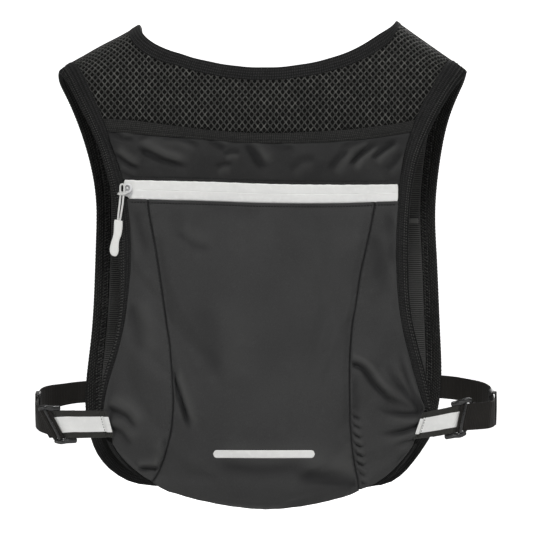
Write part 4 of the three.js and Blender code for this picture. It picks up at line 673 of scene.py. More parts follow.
class Shader:
    """A small builder for node materials."""

    def __init__(self, name, colour, rough, metal=0.0, sheen=0.0, spec=0.3):
        self.material = bpy.data.materials.new(name)
        self.material.use_nodes = True
        self.tree = self.material.node_tree
        self.shader = self.tree.nodes["Principled BSDF"]
        self.coords = self.node("TexCoord")
        self.colour = self.rgb(colour)
        self.relief = None
        inputs = self.shader.inputs
        inputs["Roughness"].default_value = rough
        inputs["Metallic"].default_value = metal
        inputs["Specular IOR Level"].default_value = spec
        if sheen:
            inputs["Sheen Weight"].default_value = sheen
            inputs["Sheen Roughness"].default_value = 0.45

    def node(self, kind):
        return self.tree.nodes.new("ShaderNode" + kind)

    def link(self, source, target):
        self.tree.links.new(source, target)

    def rgb(self, c):
        n = self.node("RGB")
        n.outputs[0].default_value = (*srgb(c), 1)
        return n.outputs[0]

    def mapping(self, coordinates, scale):
        n = self.node("Mapping")
        n.inputs["Scale"].default_value = scale
        self.link(self.coords.outputs[coordinates], n.inputs["Vector"])
        return n.outputs[0]

    def noise(self, scale, detail=3, rough=0.55, stretch=(1, 1, 1)):
        n = self.node("TexNoise")
        n.inputs["Scale"].default_value = scale
        n.inputs["Detail"].default_value = detail
        n.inputs["Roughness"].default_value = rough
        self.link(self.mapping("Object", stretch), n.inputs["Vector"])
        return n.outputs["Fac"]

    def bands(self, scale, axis="X", distortion=0.0):
        n = self.node("TexWave")
        n.wave_type = "BANDS"
        n.bands_direction = axis
        n.inputs["Scale"].default_value = scale
        n.inputs["Distortion"].default_value = distortion
        n.inputs["Detail"].default_value = 0
        self.link(self.mapping("UV", (1, 1, 1)), n.inputs["Vector"])
        return n.outputs["Fac"]

    def multiply(self, a, b, clamp=False):
        n = self.node("Math")
        n.operation = "MULTIPLY"
        n.use_clamp = clamp
        self.link(a, n.inputs[0])
        if isinstance(b, float):
            n.inputs[1].default_value = b
        else:
            self.link(b, n.inputs[1])
        return n.outputs[0]

    def remap(self, v, low, high, to_low=0.0, to_high=1.0):
        n = self.node("MapRange")
        for key, x in (("From Min", low), ("From Max", high),
                       ("To Min", to_low), ("To Max", to_high)):
            n.inputs[key].default_value = x
        self.link(v, n.inputs["Value"])
        return n.outputs[0]

    def tint(self, source, colour, low, high, amount):
        """Mixes a colour in as the source goes from low to high."""
        fac = self.remap(source, low, high)
        n = self.node("Mix")
        n.data_type = "RGBA"
        self.link(self.multiply(fac, amount, clamp=True), n.inputs[0])
        self.link(self.colour, n.inputs[6])
        self.link(self.rgb(colour), n.inputs[7])
        self.colour = n.outputs[2]

    def bump(self, v, strength, distance):
        n = self.node("Bump")
        n.inputs["Strength"].default_value = strength
        n.inputs["Distance"].default_value = distance
        self.link(v, n.inputs["Height"])
        if self.relief is not None:
            self.link(self.relief, n.inputs["Normal"])
        self.relief = n.outputs[0]

    def roughness(self, v, low, high):
        self.link(self.remap(v, 0, 1, low, high), self.shader.inputs["Roughness"])

    def tone(self, valley, crest, valley_mix, crest_mix):
        """Painted shade in the valleys and painted highlight on the crests of the mesh."""
        n = self.node("Attribute")
        n.attribute_name = "tone"
        self.tint(n.outputs["Fac"], valley, low=0, high=-1, amount=valley_mix)
        self.tint(n.outputs["Fac"], crest, low=0, high=1, amount=crest_mix)

    def end(self):
        self.link(self.colour, self.shader.inputs["Base Color"])
        if self.relief is not None:
            self.link(self.relief, self.shader.inputs["Normal"])
        return self.material


def band_scale(pitch):
    """Scale of a band texture whose bands are pitch mm apart."""
    return 1 / (pitch * MM) * 0.314159


def woven(name, colour, light, dark, pitch, rough, sheen, strength, spec, tone=None):
    """Plain woven cloth: crossing threads, mottling, lint and, given a tone, painted shade in
    fold valleys with painted highlight on fold crests.
    """
    m = Shader(name, colour, rough, sheen=sheen, spec=spec)
    scale = band_scale(pitch)
    weave = m.multiply(m.bands(scale, "X"), m.bands(scale, "Y"))
    m.tint(weave, light, low=0.15, high=0.9, amount=0.28)
    # broad mottling, then lint
    m.tint(m.noise(16, detail=5, rough=0.6), dark, low=0.42, high=0.78, amount=0.5)
    m.tint(m.noise(70, detail=4, rough=0.65), light, low=0.55, high=0.85, amount=0.35)
    m.tint(m.noise(900, detail=2, rough=0.5), light, low=0.56, high=0.76, amount=0.45)
    m.tint(m.noise(760, detail=2, rough=0.5, stretch=(1.2, 1, 1)), dark,
           low=0.56, high=0.76, amount=0.6)
    # the tone paints shade into the fold valleys and highlight onto the fold crests
    if tone:
        m.tone(**tone)
    m.bump(weave, strength, distance=0.0004)
    m.bump(m.noise(55, detail=4, rough=0.6), strength=0.12, distance=0.002)
    m.roughness(m.noise(30), low=rough - 0.08, high=rough + 0.1)
    return m.end()


def ribbed(name, colour, light, dark, pitch, rough=0.6, strength=0.6, sheen=0.2):
    """Ribs across the length, with finer threads along it."""
    m = Shader(name, colour, rough, sheen=sheen, spec=0.25)
    scale = band_scale(pitch)
    ribs = m.bands(scale, "Y")
    threads = m.bands(scale * 2.7, "X")
    m.tint(ribs, light, low=0.35, high=1.0, amount=0.6)
    m.tint(m.noise(40, detail=4, rough=0.6), dark, low=0.45, high=0.8, amount=0.5)
    m.bump(ribs, strength, distance=0.0006)
    m.bump(threads, strength * 0.5, distance=0.0003)
    m.roughness(m.noise(60), low=rough - 0.1, high=rough + 0.08)
    return m.end()


def knit(name, colour, light, dark, pitch):
    """Coarse knitted tape: pale loops over dark gaps, uneven from loop to loop."""
    rough = 0.8
    m = Shader(name, colour, rough, sheen=0.05, spec=0.2)
    scale = band_scale(pitch)
    loop = m.multiply(m.bands(scale, "X", distortion=0.6),
                      m.bands(scale * 0.8, "Y", distortion=0.6))
    m.tint(loop, light, low=0.35, high=0.95, amount=0.7)
    m.tint(loop, dark, low=0.22, high=0.0, amount=0.75)
    m.tint(m.noise(420, rough=0.6), dark, low=0.52, high=0.72, amount=0.75)
    m.tint(m.noise(520, detail=2, rough=0.6, stretch=(1, 1, 1.3)), light,
           low=0.60, high=0.72, amount=0.5)
    m.tint(m.noise(24, detail=4, rough=0.6), dark, low=0.45, high=0.75, amount=0.35)
    m.bump(loop, strength=0.5, distance=0.0006)
    m.bump(m.noise(420, rough=0.6), strength=0.25, distance=0.0005)
    m.roughness(m.noise(60), low=rough - 0.1, high=rough + 0.08)
    return m.end()


def film(name):
    """Silver reflective film on tape: grain, faint creases and scuffs."""
    m = Shader(name, (240, 240, 238), rough=0.42, metal=0.08, spec=0.5)
    m.tint(m.noise(14, detail=4, rough=0.6, stretch=(1, 1, 4)), (214, 214, 212),
           low=0.45, high=0.8, amount=0.5)
    m.tint(m.noise(260, detail=2, rough=0.5), (250, 250, 248), low=0.5, high=0.8, amount=0.5)
    m.tint(m.noise(90, detail=6, rough=0.75, stretch=(1, 1, 0.25)), (190, 190, 190),
           low=0.62, high=0.74, amount=0.3)
    m.bump(m.bands(band_scale(0.8), "X"), strength=0.10, distance=0.0003)
    m.bump(m.noise(1600, detail=2), strength=0.12, distance=0.0002)
    m.bump(m.noise(45, rough=0.6), strength=0.2, distance=0.0015)
    m.roughness(m.noise(120), low=0.34, high=0.55)
    return m.end()


def moulded(name, colour, light, rough, spec, metal=0.0):
    """Plastic, rubber or plated metal, paler on worn edges."""
    m = Shader(name, colour, rough, metal=metal, spec=spec)
    m.tint(m.noise(220, detail=5, rough=0.7), light, low=0.6, high=0.8, amount=0.3)
    m.bump(m.noise(2400, detail=2), strength=0.10, distance=0.0002)
    m.bump(m.noise(140, detail=4, rough=0.6), strength=0.06, distance=0.0006)
    m.roughness(m.noise(180, detail=4, rough=0.7), low=rough - 0.08, high=rough + 0.18)
    geometry = m.node("NewGeometry")
    m.tint(geometry.outputs["Pointiness"], light, low=0.53, high=0.6, amount=0.5)
    return m.end()


# colours are sRGB out of 255, in the order base, light, dark; pitches are in mm
# tone colours: valley is painted shade in the folds, crest is painted highlight on their ridges
POCKET_CLOTH = woven(
    "pocket_nylon", (55, 55, 55), (72, 72, 72), (44, 44, 44),
    pitch=0.8, rough=0.60, sheen=0.06, strength=0.35, spec=0.25,
    tone=dict(valley=(24, 24, 25), crest=(78, 78, 77), valley_mix=0.9, crest_mix=0.55))
# tone colours: valley is painted shade in the folds, crest is painted highlight on their ridges
UPPER_CLOTH = woven(
    "upper_nylon", (36, 36, 36), (52, 52, 52), (28, 28, 28),
    pitch=0.8, rough=0.60, sheen=0.06, strength=0.35, spec=0.25,
    tone=dict(valley=(14, 14, 15), crest=(70, 70, 69), valley_mix=0.95, crest_mix=0.65))
LINING = woven(
    "lining_knit", (22, 22, 21), (32, 32, 31), (15, 15, 15),
    pitch=1.3, rough=0.85, sheen=0.05, strength=0.5, spec=0.15)
# tone colours: crest is a painted highlight on the strand crests, valley is painted shade in the
# holes
NET_YARN = woven(
    "spacer_mesh_yarn", (50, 50, 47), (84, 84, 80), (32, 32, 30),
    pitch=0.7, rough=0.5, sheen=0.10, strength=0.4, spec=0.4,
    tone=dict(valley=(18, 18, 17), crest=(148, 148, 142), valley_mix=0.85, crest_mix=0.7))
BACKING = woven(
    "mesh_backing", (15, 15, 14), (22, 22, 21), (10, 10, 10),
    pitch=1.1, rough=0.9, sheen=0.03, strength=0.4, spec=0.1)
BINDING = knit("binding_tape", (35, 35, 35), (60, 60, 60), (13, 13, 13), pitch=1.7)
SEAM_TAPE = knit("seam_tape", (43, 43, 42), (70, 70, 68), (18, 18, 18), pitch=1.6)
# tone colours: valley is painted shade and crest is painted highlight along the ribs
ELASTIC = woven(
    "ribbed_elastic", (66, 66, 65), (86, 86, 85), (48, 48, 48),
    pitch=0.7, rough=0.7, sheen=0.08, strength=0.3, spec=0.25,
    tone=dict(valley=(24, 24, 24), crest=(104, 104, 102), valley_mix=0.9, crest_mix=0.7))
EDGE_YARN = knit("edge_mesh_yarn", (56, 56, 55), (112, 112, 110), (16, 16, 16), pitch=1.9)
WEBBING = ribbed("webbing", (28, 26, 23), (44, 41, 38), (19, 17, 16), pitch=1.3, sheen=0.08)
TAB_WEBBING = ribbed("tab_webbing", (47, 47, 44), (66, 66, 62), (34, 34, 32),
                     pitch=1.3, sheen=0.08)
FILM = film("reflective_film")
PLASTIC = moulded("black_acetal", (24, 24, 24), (60, 60, 60), rough=0.24, spec=0.8)
METAL = moulded("plated_slider", (236, 236, 237), (250, 250, 250),
                rough=0.3, spec=0.6, metal=0.05)
RUBBER = moulded("pale_rubber", (236, 236, 233), (247, 247, 245), rough=0.5, spec=0.4)
CORD = ribbed("silver_cord", (228, 228, 226), (246, 246, 244), (186, 186, 184),
              pitch=0.9, rough=0.5, strength=0.5)
GREY_LOOP = ribbed("grey_loop", (92, 92, 90), (120, 120, 118), (66, 66, 64),
                   pitch=0.9, rough=0.7, strength=0.5)
# dark thread; its darkness also stands in for painted shade in the needle holes
THREAD = ribbed("thread", (17, 17, 17), (30, 30, 30), (12, 12, 12),
                pitch=0.5, strength=0.3, sheen=0.05)
TEETH = moulded("zip_teeth", (150, 150, 148), (190, 190, 188), rough=0.4, spec=0.5)
KNIT_EDGE = knit("knitted_edge", (24, 24, 24), (56, 56, 55), (8, 8, 8), pitch=2.0)
KNIT_INSIDE = knit("knitted_edge_inside", (40, 40, 39), (88, 88, 86), (10, 10, 10), pitch=2.2)
LOOP_YARN = moulded("edge_loop_yarn", (52, 52, 51), (80, 80, 78), rough=0.6, spec=0.3)
BLACK_THREAD = moulded("black_thread", (13, 13, 13), (24, 24, 24), rough=0.7, spec=0.2)
SLIDER_BODY = moulded("slider_body", (196, 196, 197), (232, 232, 233),
                      rough=0.34, spec=0.5, metal=0.2)


# ---------------------------------------------------------------- grids of points in space
def interpolate(P, u, axis):
    """Smooth interpolation of a grid at fractional places along one axis."""
    P = np.moveaxis(np.asarray(P, float), axis, 0)
    n = len(P)
    u = np.clip(np.asarray(u, float), 0, n - 1)
    i = np.minimum(u.astype(int), n - 2)
    f = (u - i).reshape((-1,) + (1,) * (P.ndim - 1))
    a, b, c, d = (P[np.clip(i + k, 0, n - 1)] for k in (-1, 0, 1, 2))
    a = np.where((i == 0).reshape(f.shape), 2 * b - c, a)
    d = np.where((i == n - 2).reshape(f.shape), 2 * c - b, d)
    out = b + 0.5 * f * (c - a + f * (2 * a - 5 * b + 4 * c - d + f * (3 * (b - c) + d - a)))
    return np.moveaxis(out, 0, axis)


def refine(P, u, v):
    return interpolate(interpolate(P, u, 0), v, 1)


def places(a, b, step, near_ends):
    """Places from a to b, with more at the given distances from both ends."""
    p = [a, b] + list(np.arange(a + step, b - 0.01, step))
    for k in near_ends:
        p += [a + k, b - k]
    p = np.unique(np.round([k for k in p if a <= k <= b], 4))
    keep = [p[0]]
    for k in p[1:]:
        if k - keep[-1] > 0.07:
            keep.append(k)
    keep[-1] = b
    return np.array(keep)


def grid_normals(P, away=BACKWARD):
    n = unit(np.cross(np.gradient(P, axis=0), np.gradient(P, axis=1)))
    return -n if (n.reshape(-1, 3).mean(0) * np.array(away)).sum() < 0 else n


def edge_distance(P, axis, end):
    """Distance in mm from one side of a grid, measured along it."""
    d = np.linalg.norm(np.diff(P, axis=axis), axis=-1)
    c = np.concatenate([np.zeros_like(np.take(d, [0], axis)), np.cumsum(d, axis)], axis)
    return c if end == 0 else np.take(c, [-1], axis) - c


def all_edge_distances(P):
    return [edge_distance(P, axis, end) for axis in (0, 1) for end in (0, 1)]


def panel(name, P, material, half_thick, uv, relief, away=BACKWARD, tone=None):
    """Cloth of real thickness round a middle surface. The relief moves both its sides."""
    N = grid_normals(P, away)
    e = relief[..., None]
    return shell(name, P + N * (half_thick + e), P - N * (half_thick - 0.85 * e),
                 material, uv, tone)


def line_distance(x, z, line):
    """Signed distance to a line, and how far along it the nearest place is."""
    line = np.asarray(line, float)
    L = lengths(line)
    best, t, side = np.full(np.shape(x), 1e9), np.zeros(np.shape(x)), np.ones(np.shape(x))
    for i in range(len(line) - 1):
        a, d = line[i], line[i + 1] - line[i]
        u = np.clip(((x - a[0]) * d[0] + (z - a[1]) * d[1]) / (d @ d), 0, 1)
        q = np.hypot(x - a[0] - u * d[0], z - a[1] - u * d[1])
        m = q < best
        best = np.where(m, q, best)
        t = np.where(m, (L[i] + u * (L[i + 1] - L[i])) / L[-1], t)
        cross = d[0] * (z - a[1]) - d[1] * (x - a[0])
        side = np.where(m, np.where(cross >= 0, 1.0, -1.0), side)
    return best * side, t


def folds(x, z, table, fade_in=0.22, fade_out=0.7):
    """Sum of the folds of a table: a valley along each line and a soft ridge on one side."""
    h = np.zeros(np.shape(x))
    for points, w, strength, kind in table:
        line = even(smooth_curve(even(np.array(points, float), 24), 4), 24)
        d, t = line_distance(x, z, line)
        if abs(kind) == 2:
            taper = smoothstep(1, 0.35, t)
        else:
            taper = smoothstep(0, fade_in, t) * smoothstep(1, fade_out, t)
        s = 1 if kind >= 0 else -1
        h += strength * taper * (-bell(d, 0, w) + 0.75 * bell(d * s, 1.9 * w, 1.5 * w))
    return h


def ripple(x, z, frequency, seed):
    """Low, slow unevenness of cloth."""
    r = np.random.RandomState(seed)
    h = np.zeros(np.shape(x))
    for _ in range(9):
        a, f, p = r.uniform(0, math.pi), frequency * r.uniform(0.6, 1.7), r.uniform(0, 6.28)
        h += np.sin((np.cos(a) * x + np.sin(a) * z) * f + p) / 3
    return h


# ---------------------------------------------------------------- cloth simulation
CLOTH_FRAMES = 20
BAG_DEPTH = 9


def edge_pins(shape):
    pin = np.zeros(shape)
    pin[0] = pin[-1] = 1
    pin[:, 0] = pin[:, -1] = 1
    return pin


def simulate(name, P, pins, shrink, pressure, limit, gravity=0.0, away=BACKWARD):
    """Runs cloth on a grid held at its pins, and returns the grid moved by up to limit.
    A copy of the grid a little way behind closes the bag, and stays still."""
    nu, nv = P.shape[:2]
    n = nu * nv
    back = P - grid_normals(P, away) * BAG_DEPTH
    V = np.concatenate([P.reshape(-1, 3), back.reshape(-1, 3)])
    ob = make(name, V, solid_faces(nu, nv), POCKET_CLOTH)
    group = ob.vertex_groups.new(name="pin")
    weights = np.concatenate([pins.ravel(), np.ones(n)])
    for w in np.unique(weights):
        if w > 0:
            group.add([int(k) for k in np.nonzero(weights == w)[0]], float(w), "REPLACE")
    cloth = ob.modifiers.new("cloth", "CLOTH")
    settings = dict(
        quality=6, mass=0.12, tension_stiffness=12, compression_stiffness=12,
        shear_stiffness=12 * 0.4, bending_stiffness=0.4, air_damping=2,
        vertex_group_mass="pin", pin_stiffness=1.0, use_pressure=True,
        uniform_pressure_force=pressure, shrink_min=shrink)
    for key, value in settings.items():
        setattr(cloth.settings, key, value)
    cloth.settings.effector_weights.gravity = gravity
    cloth.collision_settings.use_collision = False
    cloth.collision_settings.use_self_collision = False
    cloth.point_cache.frame_start, cloth.point_cache.frame_end = 1, CLOTH_FRAMES
    for f in range(1, CLOTH_FRAMES + 1):
        SCENE.frame_set(f)
    dg = bpy.context.evaluated_depsgraph_get()
    me = ob.evaluated_get(dg).to_mesh()
    a = np.zeros(len(me.vertices) * 3, np.float32)
    me.vertices.foreach_get("co", a)
    moved = a.reshape(-1, 3)[:n].reshape(nu, nv, 3).astype(float) / MM
    ob.evaluated_get(dg).to_mesh_clear()
    bpy.data.objects.remove(ob)
    SCENE.frame_set(1)
    D = moved - P
    D[~np.isfinite(D)] = 0
    for _ in range(2):
        E = D.copy()
        E[1:-1] = (D[:-2] + 2 * D[1:-1] + D[2:]) / 4
        F = E.copy()
        F[:, 1:-1] = (E[:, :-2] + 2 * E[:, 1:-1] + E[:, 2:]) / 4
        D = F
    L = np.linalg.norm(D, axis=-1, keepdims=True)
    return P + D * np.minimum(1, limit / np.maximum(L, 1e-6))


# ---------------------------------------------------------------- net
NET_PITCH_X, NET_PITCH_Z = 5.6, 7.2
# corners of one hole in quarter pitches, and how far each is drawn in towards its middle
HOLE_RING = np.array([(2, 0), (1, 1), (0, 2), (-1, 1), (-2, 0), (-1, -1), (0, -2), (1, -1)])
HOLE_SIZE = np.array([0.65, 0.74, 0.74, 0.74] * 2)
CREST_LIFT, CORNER_LIFT, HOLE_LIFT, NET_BASE_LIFT = 2.85, 3.15, 2.2, 1.45


def net(name, side, inside, x_range, row_range):
    """Open net of diamond holes: every strand is a rounded ridge between two holes."""
    columns, rows = (np.arange(int(low / pitch) - 1, int(high / pitch) + 2)
                     for (low, high), pitch in ((x_range, NET_PITCH_X),
                                                (row_range, NET_PITCH_Z)))
    I, J = (k.ravel() for k in np.meshgrid(columns, rows, indexing="ij"))
    centres = np.concatenate([np.stack([4 * I, 4 * J], 1), np.stack([4 * I + 2, 4 * J + 2], 1)])

    def pattern(quarters):
        x = quarters[..., 0] * NET_PITCH_X / 4
        row = quarters[..., 1] * NET_PITCH_Z / 4
        row = row - 0.0009 * np.clip(row - 135, 0, 90) ** 2  # rows close up near the shoulder
        return np.stack([x, (HALF_TURN + ridge_height(x) - SHOULDER_RADIUS - row) * side], -1)

    p = pattern(centres)
    centres = centres[inside(p[:, 0], p[:, 1]) & (p[:, 1] * side > 3.2)]
    m = len(centres)
    ring = centres[:, None] + HOLE_RING[None]
    keys, inv = np.unique(ring.reshape(-1, 2), axis=0, return_inverse=True)
    inv = inv.reshape(m, 8)
    close = np.interp(centres[:, 1] * NET_PITCH_Z / 4, [140, 255], [1.0, 0.80])[:, None, None]
    hole = HOLE_RING[None] * HOLE_SIZE[None, :, None] * close + centres[:, None]
    nk = len(keys)
    strand, rim = pattern(keys.astype(float)), pattern(hole.astype(float))
    corner = (keys.sum(1) % 2 == 0) & (keys[:, 0] % 2 == 0)
    uneven = 0.10 * np.sin(keys[:, 0] * 1.7 + keys[:, 1] * 2.3)
    V = np.concatenate([place(strand, np.where(corner, CORNER_LIFT, CREST_LIFT) + uneven),
                        place(strand, NET_BASE_LIFT),
                        place(rim, HOLE_LIFT).reshape(-1, 3)])
    k0 = np.arange(8)
    k1 = (k0 + 1) % 8
    H = 2 * nk + np.arange(m * 8).reshape(m, 8)
    upper = np.stack([inv[:, k0], inv[:, k1], H[:, k1], H[:, k0]], -1).reshape(-1, 4)
    lower = np.stack([H[:, k0], H[:, k1], inv[:, k1] + nk, inv[:, k0] + nk], -1).reshape(-1, 4)
    e = np.sort(np.stack([inv[:, k0], inv[:, k1]], -1).reshape(-1, 2), 1)
    edges, uses = np.unique(e, axis=0, return_counts=True)
    b = edges[uses == 1]
    border = np.stack([b[:, 0], b[:, 1], b[:, 1] + nk, b[:, 0] + nk], 1)
    flat = np.array([1, -side])
    uv = np.concatenate([strand * flat, strand * flat, (rim * flat).reshape(-1, 2)])
    # painted highlights of random strength on the strand crests, and painted shade at the net's
    # base and round the holes
    shine = np.random.RandomState(17).rand(nk)
    shine = np.where(corner, -0.1, 0.2) + 0.85 * shine ** 2
    tone = np.concatenate([shine, np.full(nk, -1.0), np.full(m * 8, -0.8)])
    ob = make(name, V, np.concatenate([upper, lower, border]), NET_YARN, uv=uv, tone=tone)
    subdivision = ob.modifiers.new("subsurf", "SUBSURF")
    subdivision.levels = subdivision.render_levels = 1
    bpy.context.view_layer.update()
    dg = bpy.context.evaluated_depsgraph_get()
    me = bpy.data.meshes.new_from_object(ob.evaluated_get(dg), preserve_all_data_layers=True,
                                         depsgraph=dg)
    ob.modifiers.clear()
    coarse = ob.data
    ob.data = me
    bpy.data.meshes.remove(coarse)
    return ob


# ---------------------------------------------------------------- the back: net, lining, band
def in_yoke(x, s):
    z = HALF_TURN + ridge_height(x) - SHOULDER_RADIUS - s
    neck = np.interp(x, neck_back[:, 0], neck_back[:, 1], left=-50, right=-50)
    return ((x > arm_x("left", s) - 0.2) & (x < arm_x("right", s) + 0.2) & (s > neck - 2.0)
            & (z > np.interp(x, band_top[:, 0], band_top[:, 1]) + 0.2))


attach(net("yoke_net", 1, in_yoke, (-215, 215), (120, 330)), "mesh", "back_mesh_yoke")


def pocket_edge(tag, top_z):
    """Outer edge of the back below a height: the pocket's corner, then the armhole."""
    return np.vstack([to_pattern(POCKET_CORNER[tag], 1), back_edge(tag, -106.5, top_z)])


def back_lining():
    low = patch(to_pattern(LINING_BOTTOM, 1), to_pattern(band_top, 1),
                pocket_edge("left", band_top[0, 1]), pocket_edge("right", band_top[-1, 1]),
                90, 80)
    arms = []
    for tag, end in (("left", band_top[:1]), ("right", band_top[-1:])):
        arm = arm_inner[tag]
        arm = arm[(arm[:, 1] > 1.0) & (height(arm) > end[0, 1])]
        arms.append(np.vstack([to_pattern(end, 1), arm, [[arm_x(tag, 1.0), 1.0]]]))
    neck = neck_back[neck_back[:, 1] > 4]
    top = np.vstack([[arms[0][-1, 0], 1.0], [neck[0, 0] - 1, 1.0], neck,
                     [neck[-1, 0] + 1, 1.0], [arms[1][-1, 0], 1.0]])
    top = top - np.array([0, 1.0]) * (top[:, 1:] > 4)
    yoke = patch(to_pattern(band_top, 1), top, *arms, 90, 44)
    grid = np.concatenate([low[:, :-1], yoke], 1)
    attach(sheet("back_lining_knit", grid, 0.0, 1.32, LINING), "lining", "back_lining")


back_lining()
band_upper, band_lower = [smooth_curve(even(to_pattern(c, 1), 130), 6)
                          for c in (band_top, band_bottom)]
attach(tape("yoke_band", band_upper, band_lower, SEAM_TAPE, low=1.6, high=3.7, sides=22,
            count=150, power=0.3, widen=0.5), "binding", "yoke_seam_tape")


# ---------------------------------------------------------------- upper back panel
def upper_back():
    left_z, right_z = float(zip_top(-123)), float(zip_top(122))
    bottom = back_line(x_at(arm_back["left"], left_z), x_at(arm_back["right"], right_z),
                       zip_top, 120)
    grid = patch(bottom, to_pattern(band_bottom, 1),
                 back_edge("left", left_z, band_bottom[0, 1]),
                 back_edge("right", right_z, band_bottom[-1, 1]), 84, 17)
    x, z = grid[..., 0], height(grid)
    swell = np.sin(np.pi * np.clip(np.linspace(0, 1, 18)[None], 0, 1)) ** 0.7
    lift = 2.4 + (2.6 + 0.8 * ripple(x, z, 0.09, 3)) * swell
    P = place(grid, np.maximum(lift, BACK_CLEAR))
    P = simulate("upper_sim", P, edge_pins(x.shape), shrink=-0.02, pressure=1.2, limit=2.2)
    u, v = np.arange(0, 84.01, 0.4), places(0, 17, 0.4, (0.12, 0.3, 0.5, 0.75))
    P = refine(P, u, v)
    fold = folds(P[..., 0], P[..., 2], UPPER_FOLDS)
    fold = fold * np.sin(np.pi * np.clip(v / 17.0, 0, 1)[None]) ** 0.35
    # painted shade in the fold valleys and painted highlight on their ridges, with a little
    # random unevenness
    tone = np.clip(1.15 * fold + 0.10 * ripple(P[..., 0], P[..., 2], 0.12, 8), -1, 1)
    P = P + grid_normals(P) * (fold * FOLD_DEPTH)[..., None]
    P[..., 1] = np.minimum(P[..., 1], curl(P[..., 0]) - BACK_CLEAR)
    from_zip, from_band = edge_distance(P, 1, 0), edge_distance(P, 1, 1)
    relief = (0.30 * bell(from_zip, 1.1, 0.9) - 0.55 * bell(from_zip, 3.0, 0.7)
              - 0.7 * bell(from_band, 0, 1.2))
    uv = np.stack(np.meshgrid(np.interp(u, np.arange(85), x[:, 8]),
                              np.interp(v, np.arange(18), z[42]), indexing="ij"), -1)
    attach(panel("upper_back_cloth", P, UPPER_CLOTH, 0.65, uv, relief, tone=tone),
           "fabric", "upper_back_panel")
    return P


upper_cloth = upper_back()

# ---------------------------------------------------------------- back pocket
# three panels sewn on two long seams, shaped and simulated as one grid
SIDE_SPANS, CENTRE_SPANS, POCKET_ROWS = 13, 46, 66
SEAM_COLUMNS = (SIDE_SPANS, SIDE_SPANS + CENTRE_SPANS)
POCKET_COLUMNS = 2 * SIDE_SPANS + CENTRE_SPANS


def bulge(x, z):
    return (POCKET_BULGE * (0.15 + 0.85 * smoothstep(26, -95, z))
            * (0.35 + 0.65 * smoothstep(-203, -170, z)) * smoothstep(142, 60, np.abs(x + 2)))


def pocket_seam(line, top_x):
    """A long seam as a pattern line, from the bottom up to the zip."""
    top_z = float(zip_bottom(top_x))
    line = np.vstack([[top_x, top_z], line[line[:, 1] < top_z - 1]])[::-1]
    return smooth_curve(even(to_pattern(line, 1), 60), 3)


def pocket_grid():
    seam_x = [x_at(line, 79.5) for line in (SEAM_L, SEAM_R)]
    edge_x = [x_at(arm_back[tag], float(zip_bottom(x)))
              for tag, x in (("left", -122), ("right", 121))]
    seams = [pocket_seam(line, x) for line, x in zip((SEAM_L, SEAM_R), seam_x)]
    outer = [pocket_edge(tag, float(zip_bottom(x))) for (tag, _), x in zip(SIDES, edge_x)]
    left = patch(to_pattern(POCKET_BOTTOM_L, 1), back_line(edge_x[0], seam_x[0], zip_bottom),
                 outer[0], seams[0], SIDE_SPANS, POCKET_ROWS)
    centre = patch(to_pattern(POCKET_BOTTOM_C, 1), back_line(*seam_x, zip_bottom),
                   *seams, CENTRE_SPANS, POCKET_ROWS)
    right = patch(to_pattern(POCKET_BOTTOM_R, 1), back_line(seam_x[1], edge_x[1], zip_bottom),
                  seams[1], outer[1], SIDE_SPANS, POCKET_ROWS)
    left_seam, right_seam = (left[-1] + centre[0]) / 2, (centre[-1] + right[0]) / 2
    grid = np.concatenate([left[:-1], left_seam[None], centre[1:-1], right_seam[None],
                           right[1:]])
    return grid, seams


pocket_pattern, pocket_seams = pocket_grid()
pocket_x, pocket_z = pocket_pattern[..., 0], height(pocket_pattern)


def pocket_surface():
    x, z = pocket_x, pocket_z
    t = np.linspace(0, 1, POCKET_ROWS + 1)[None]
    column = np.arange(POCKET_COLUMNS + 1)
    from_side = np.minimum(column, POCKET_COLUMNS - column)[:, None] / 2.0
    hold = np.clip(from_side, 0, 1) * smoothstep(1, 0.96, t) * smoothstep(0, 0.02, t)
    seam_d = np.minimum(*[np.abs(line_distance(x, z, np.stack([s[:, 0], height(s)], 1))[0])
                          for s in pocket_seams])
    lift = 2.4 + bulge(x, z) + (0.8 + 0.9 * ripple(x, z, 0.05, 5)) * hold
    lift = lift - (1.6 * bell(seam_d, 0, 5.0) * smoothstep(-190, -150, z)
                   * smoothstep(78, 40, z))
    P = place(pocket_pattern, np.maximum(lift, 2.0))
    pin = edge_pins(x.shape)
    for column in SEAM_COLUMNS:
        pin[column, 1:-1] = 0.25
    P = simulate("pocket_sim", P, pin, shrink=-0.025, pressure=1.5, limit=4.0, gravity=0.15)
    P[..., 1] = np.minimum(P[..., 1], -2.0)
    return P


pocket_v = places(0, POCKET_ROWS, 0.25, (0.1, 0.25, 0.42, 0.62, 0.82))
pocket_points = interpolate(pocket_surface(), pocket_v, 1)
pocket_uv_z = np.interp(pocket_v, np.arange(POCKET_ROWS + 1), pocket_z[POCKET_COLUMNS // 2])


def pocket_lip(P):
    """Rows below the centre panel, where it turns under to the lining's edge."""
    x, y, z = P[:, 0].T
    lining_z = np.interp(x, LINING_BOTTOM[:, 0], LINING_BOTTOM[:, 1])
    rows = []
    for turn in np.linspace(np.pi / 2, 0, 7)[1:-1]:
        row_y = y * np.cos(turn) - 0.2 * (1 - np.cos(turn))
        row_z = (z + (lining_z - 0.6 - z) * np.sin(turn) ** 2
                 - 1.1 * np.sin(2 * turn) * smoothstep(100, 84, np.abs(x)))
        rows.append(np.stack([x, row_y, row_z], -1))
    return np.stack(rows, 1)


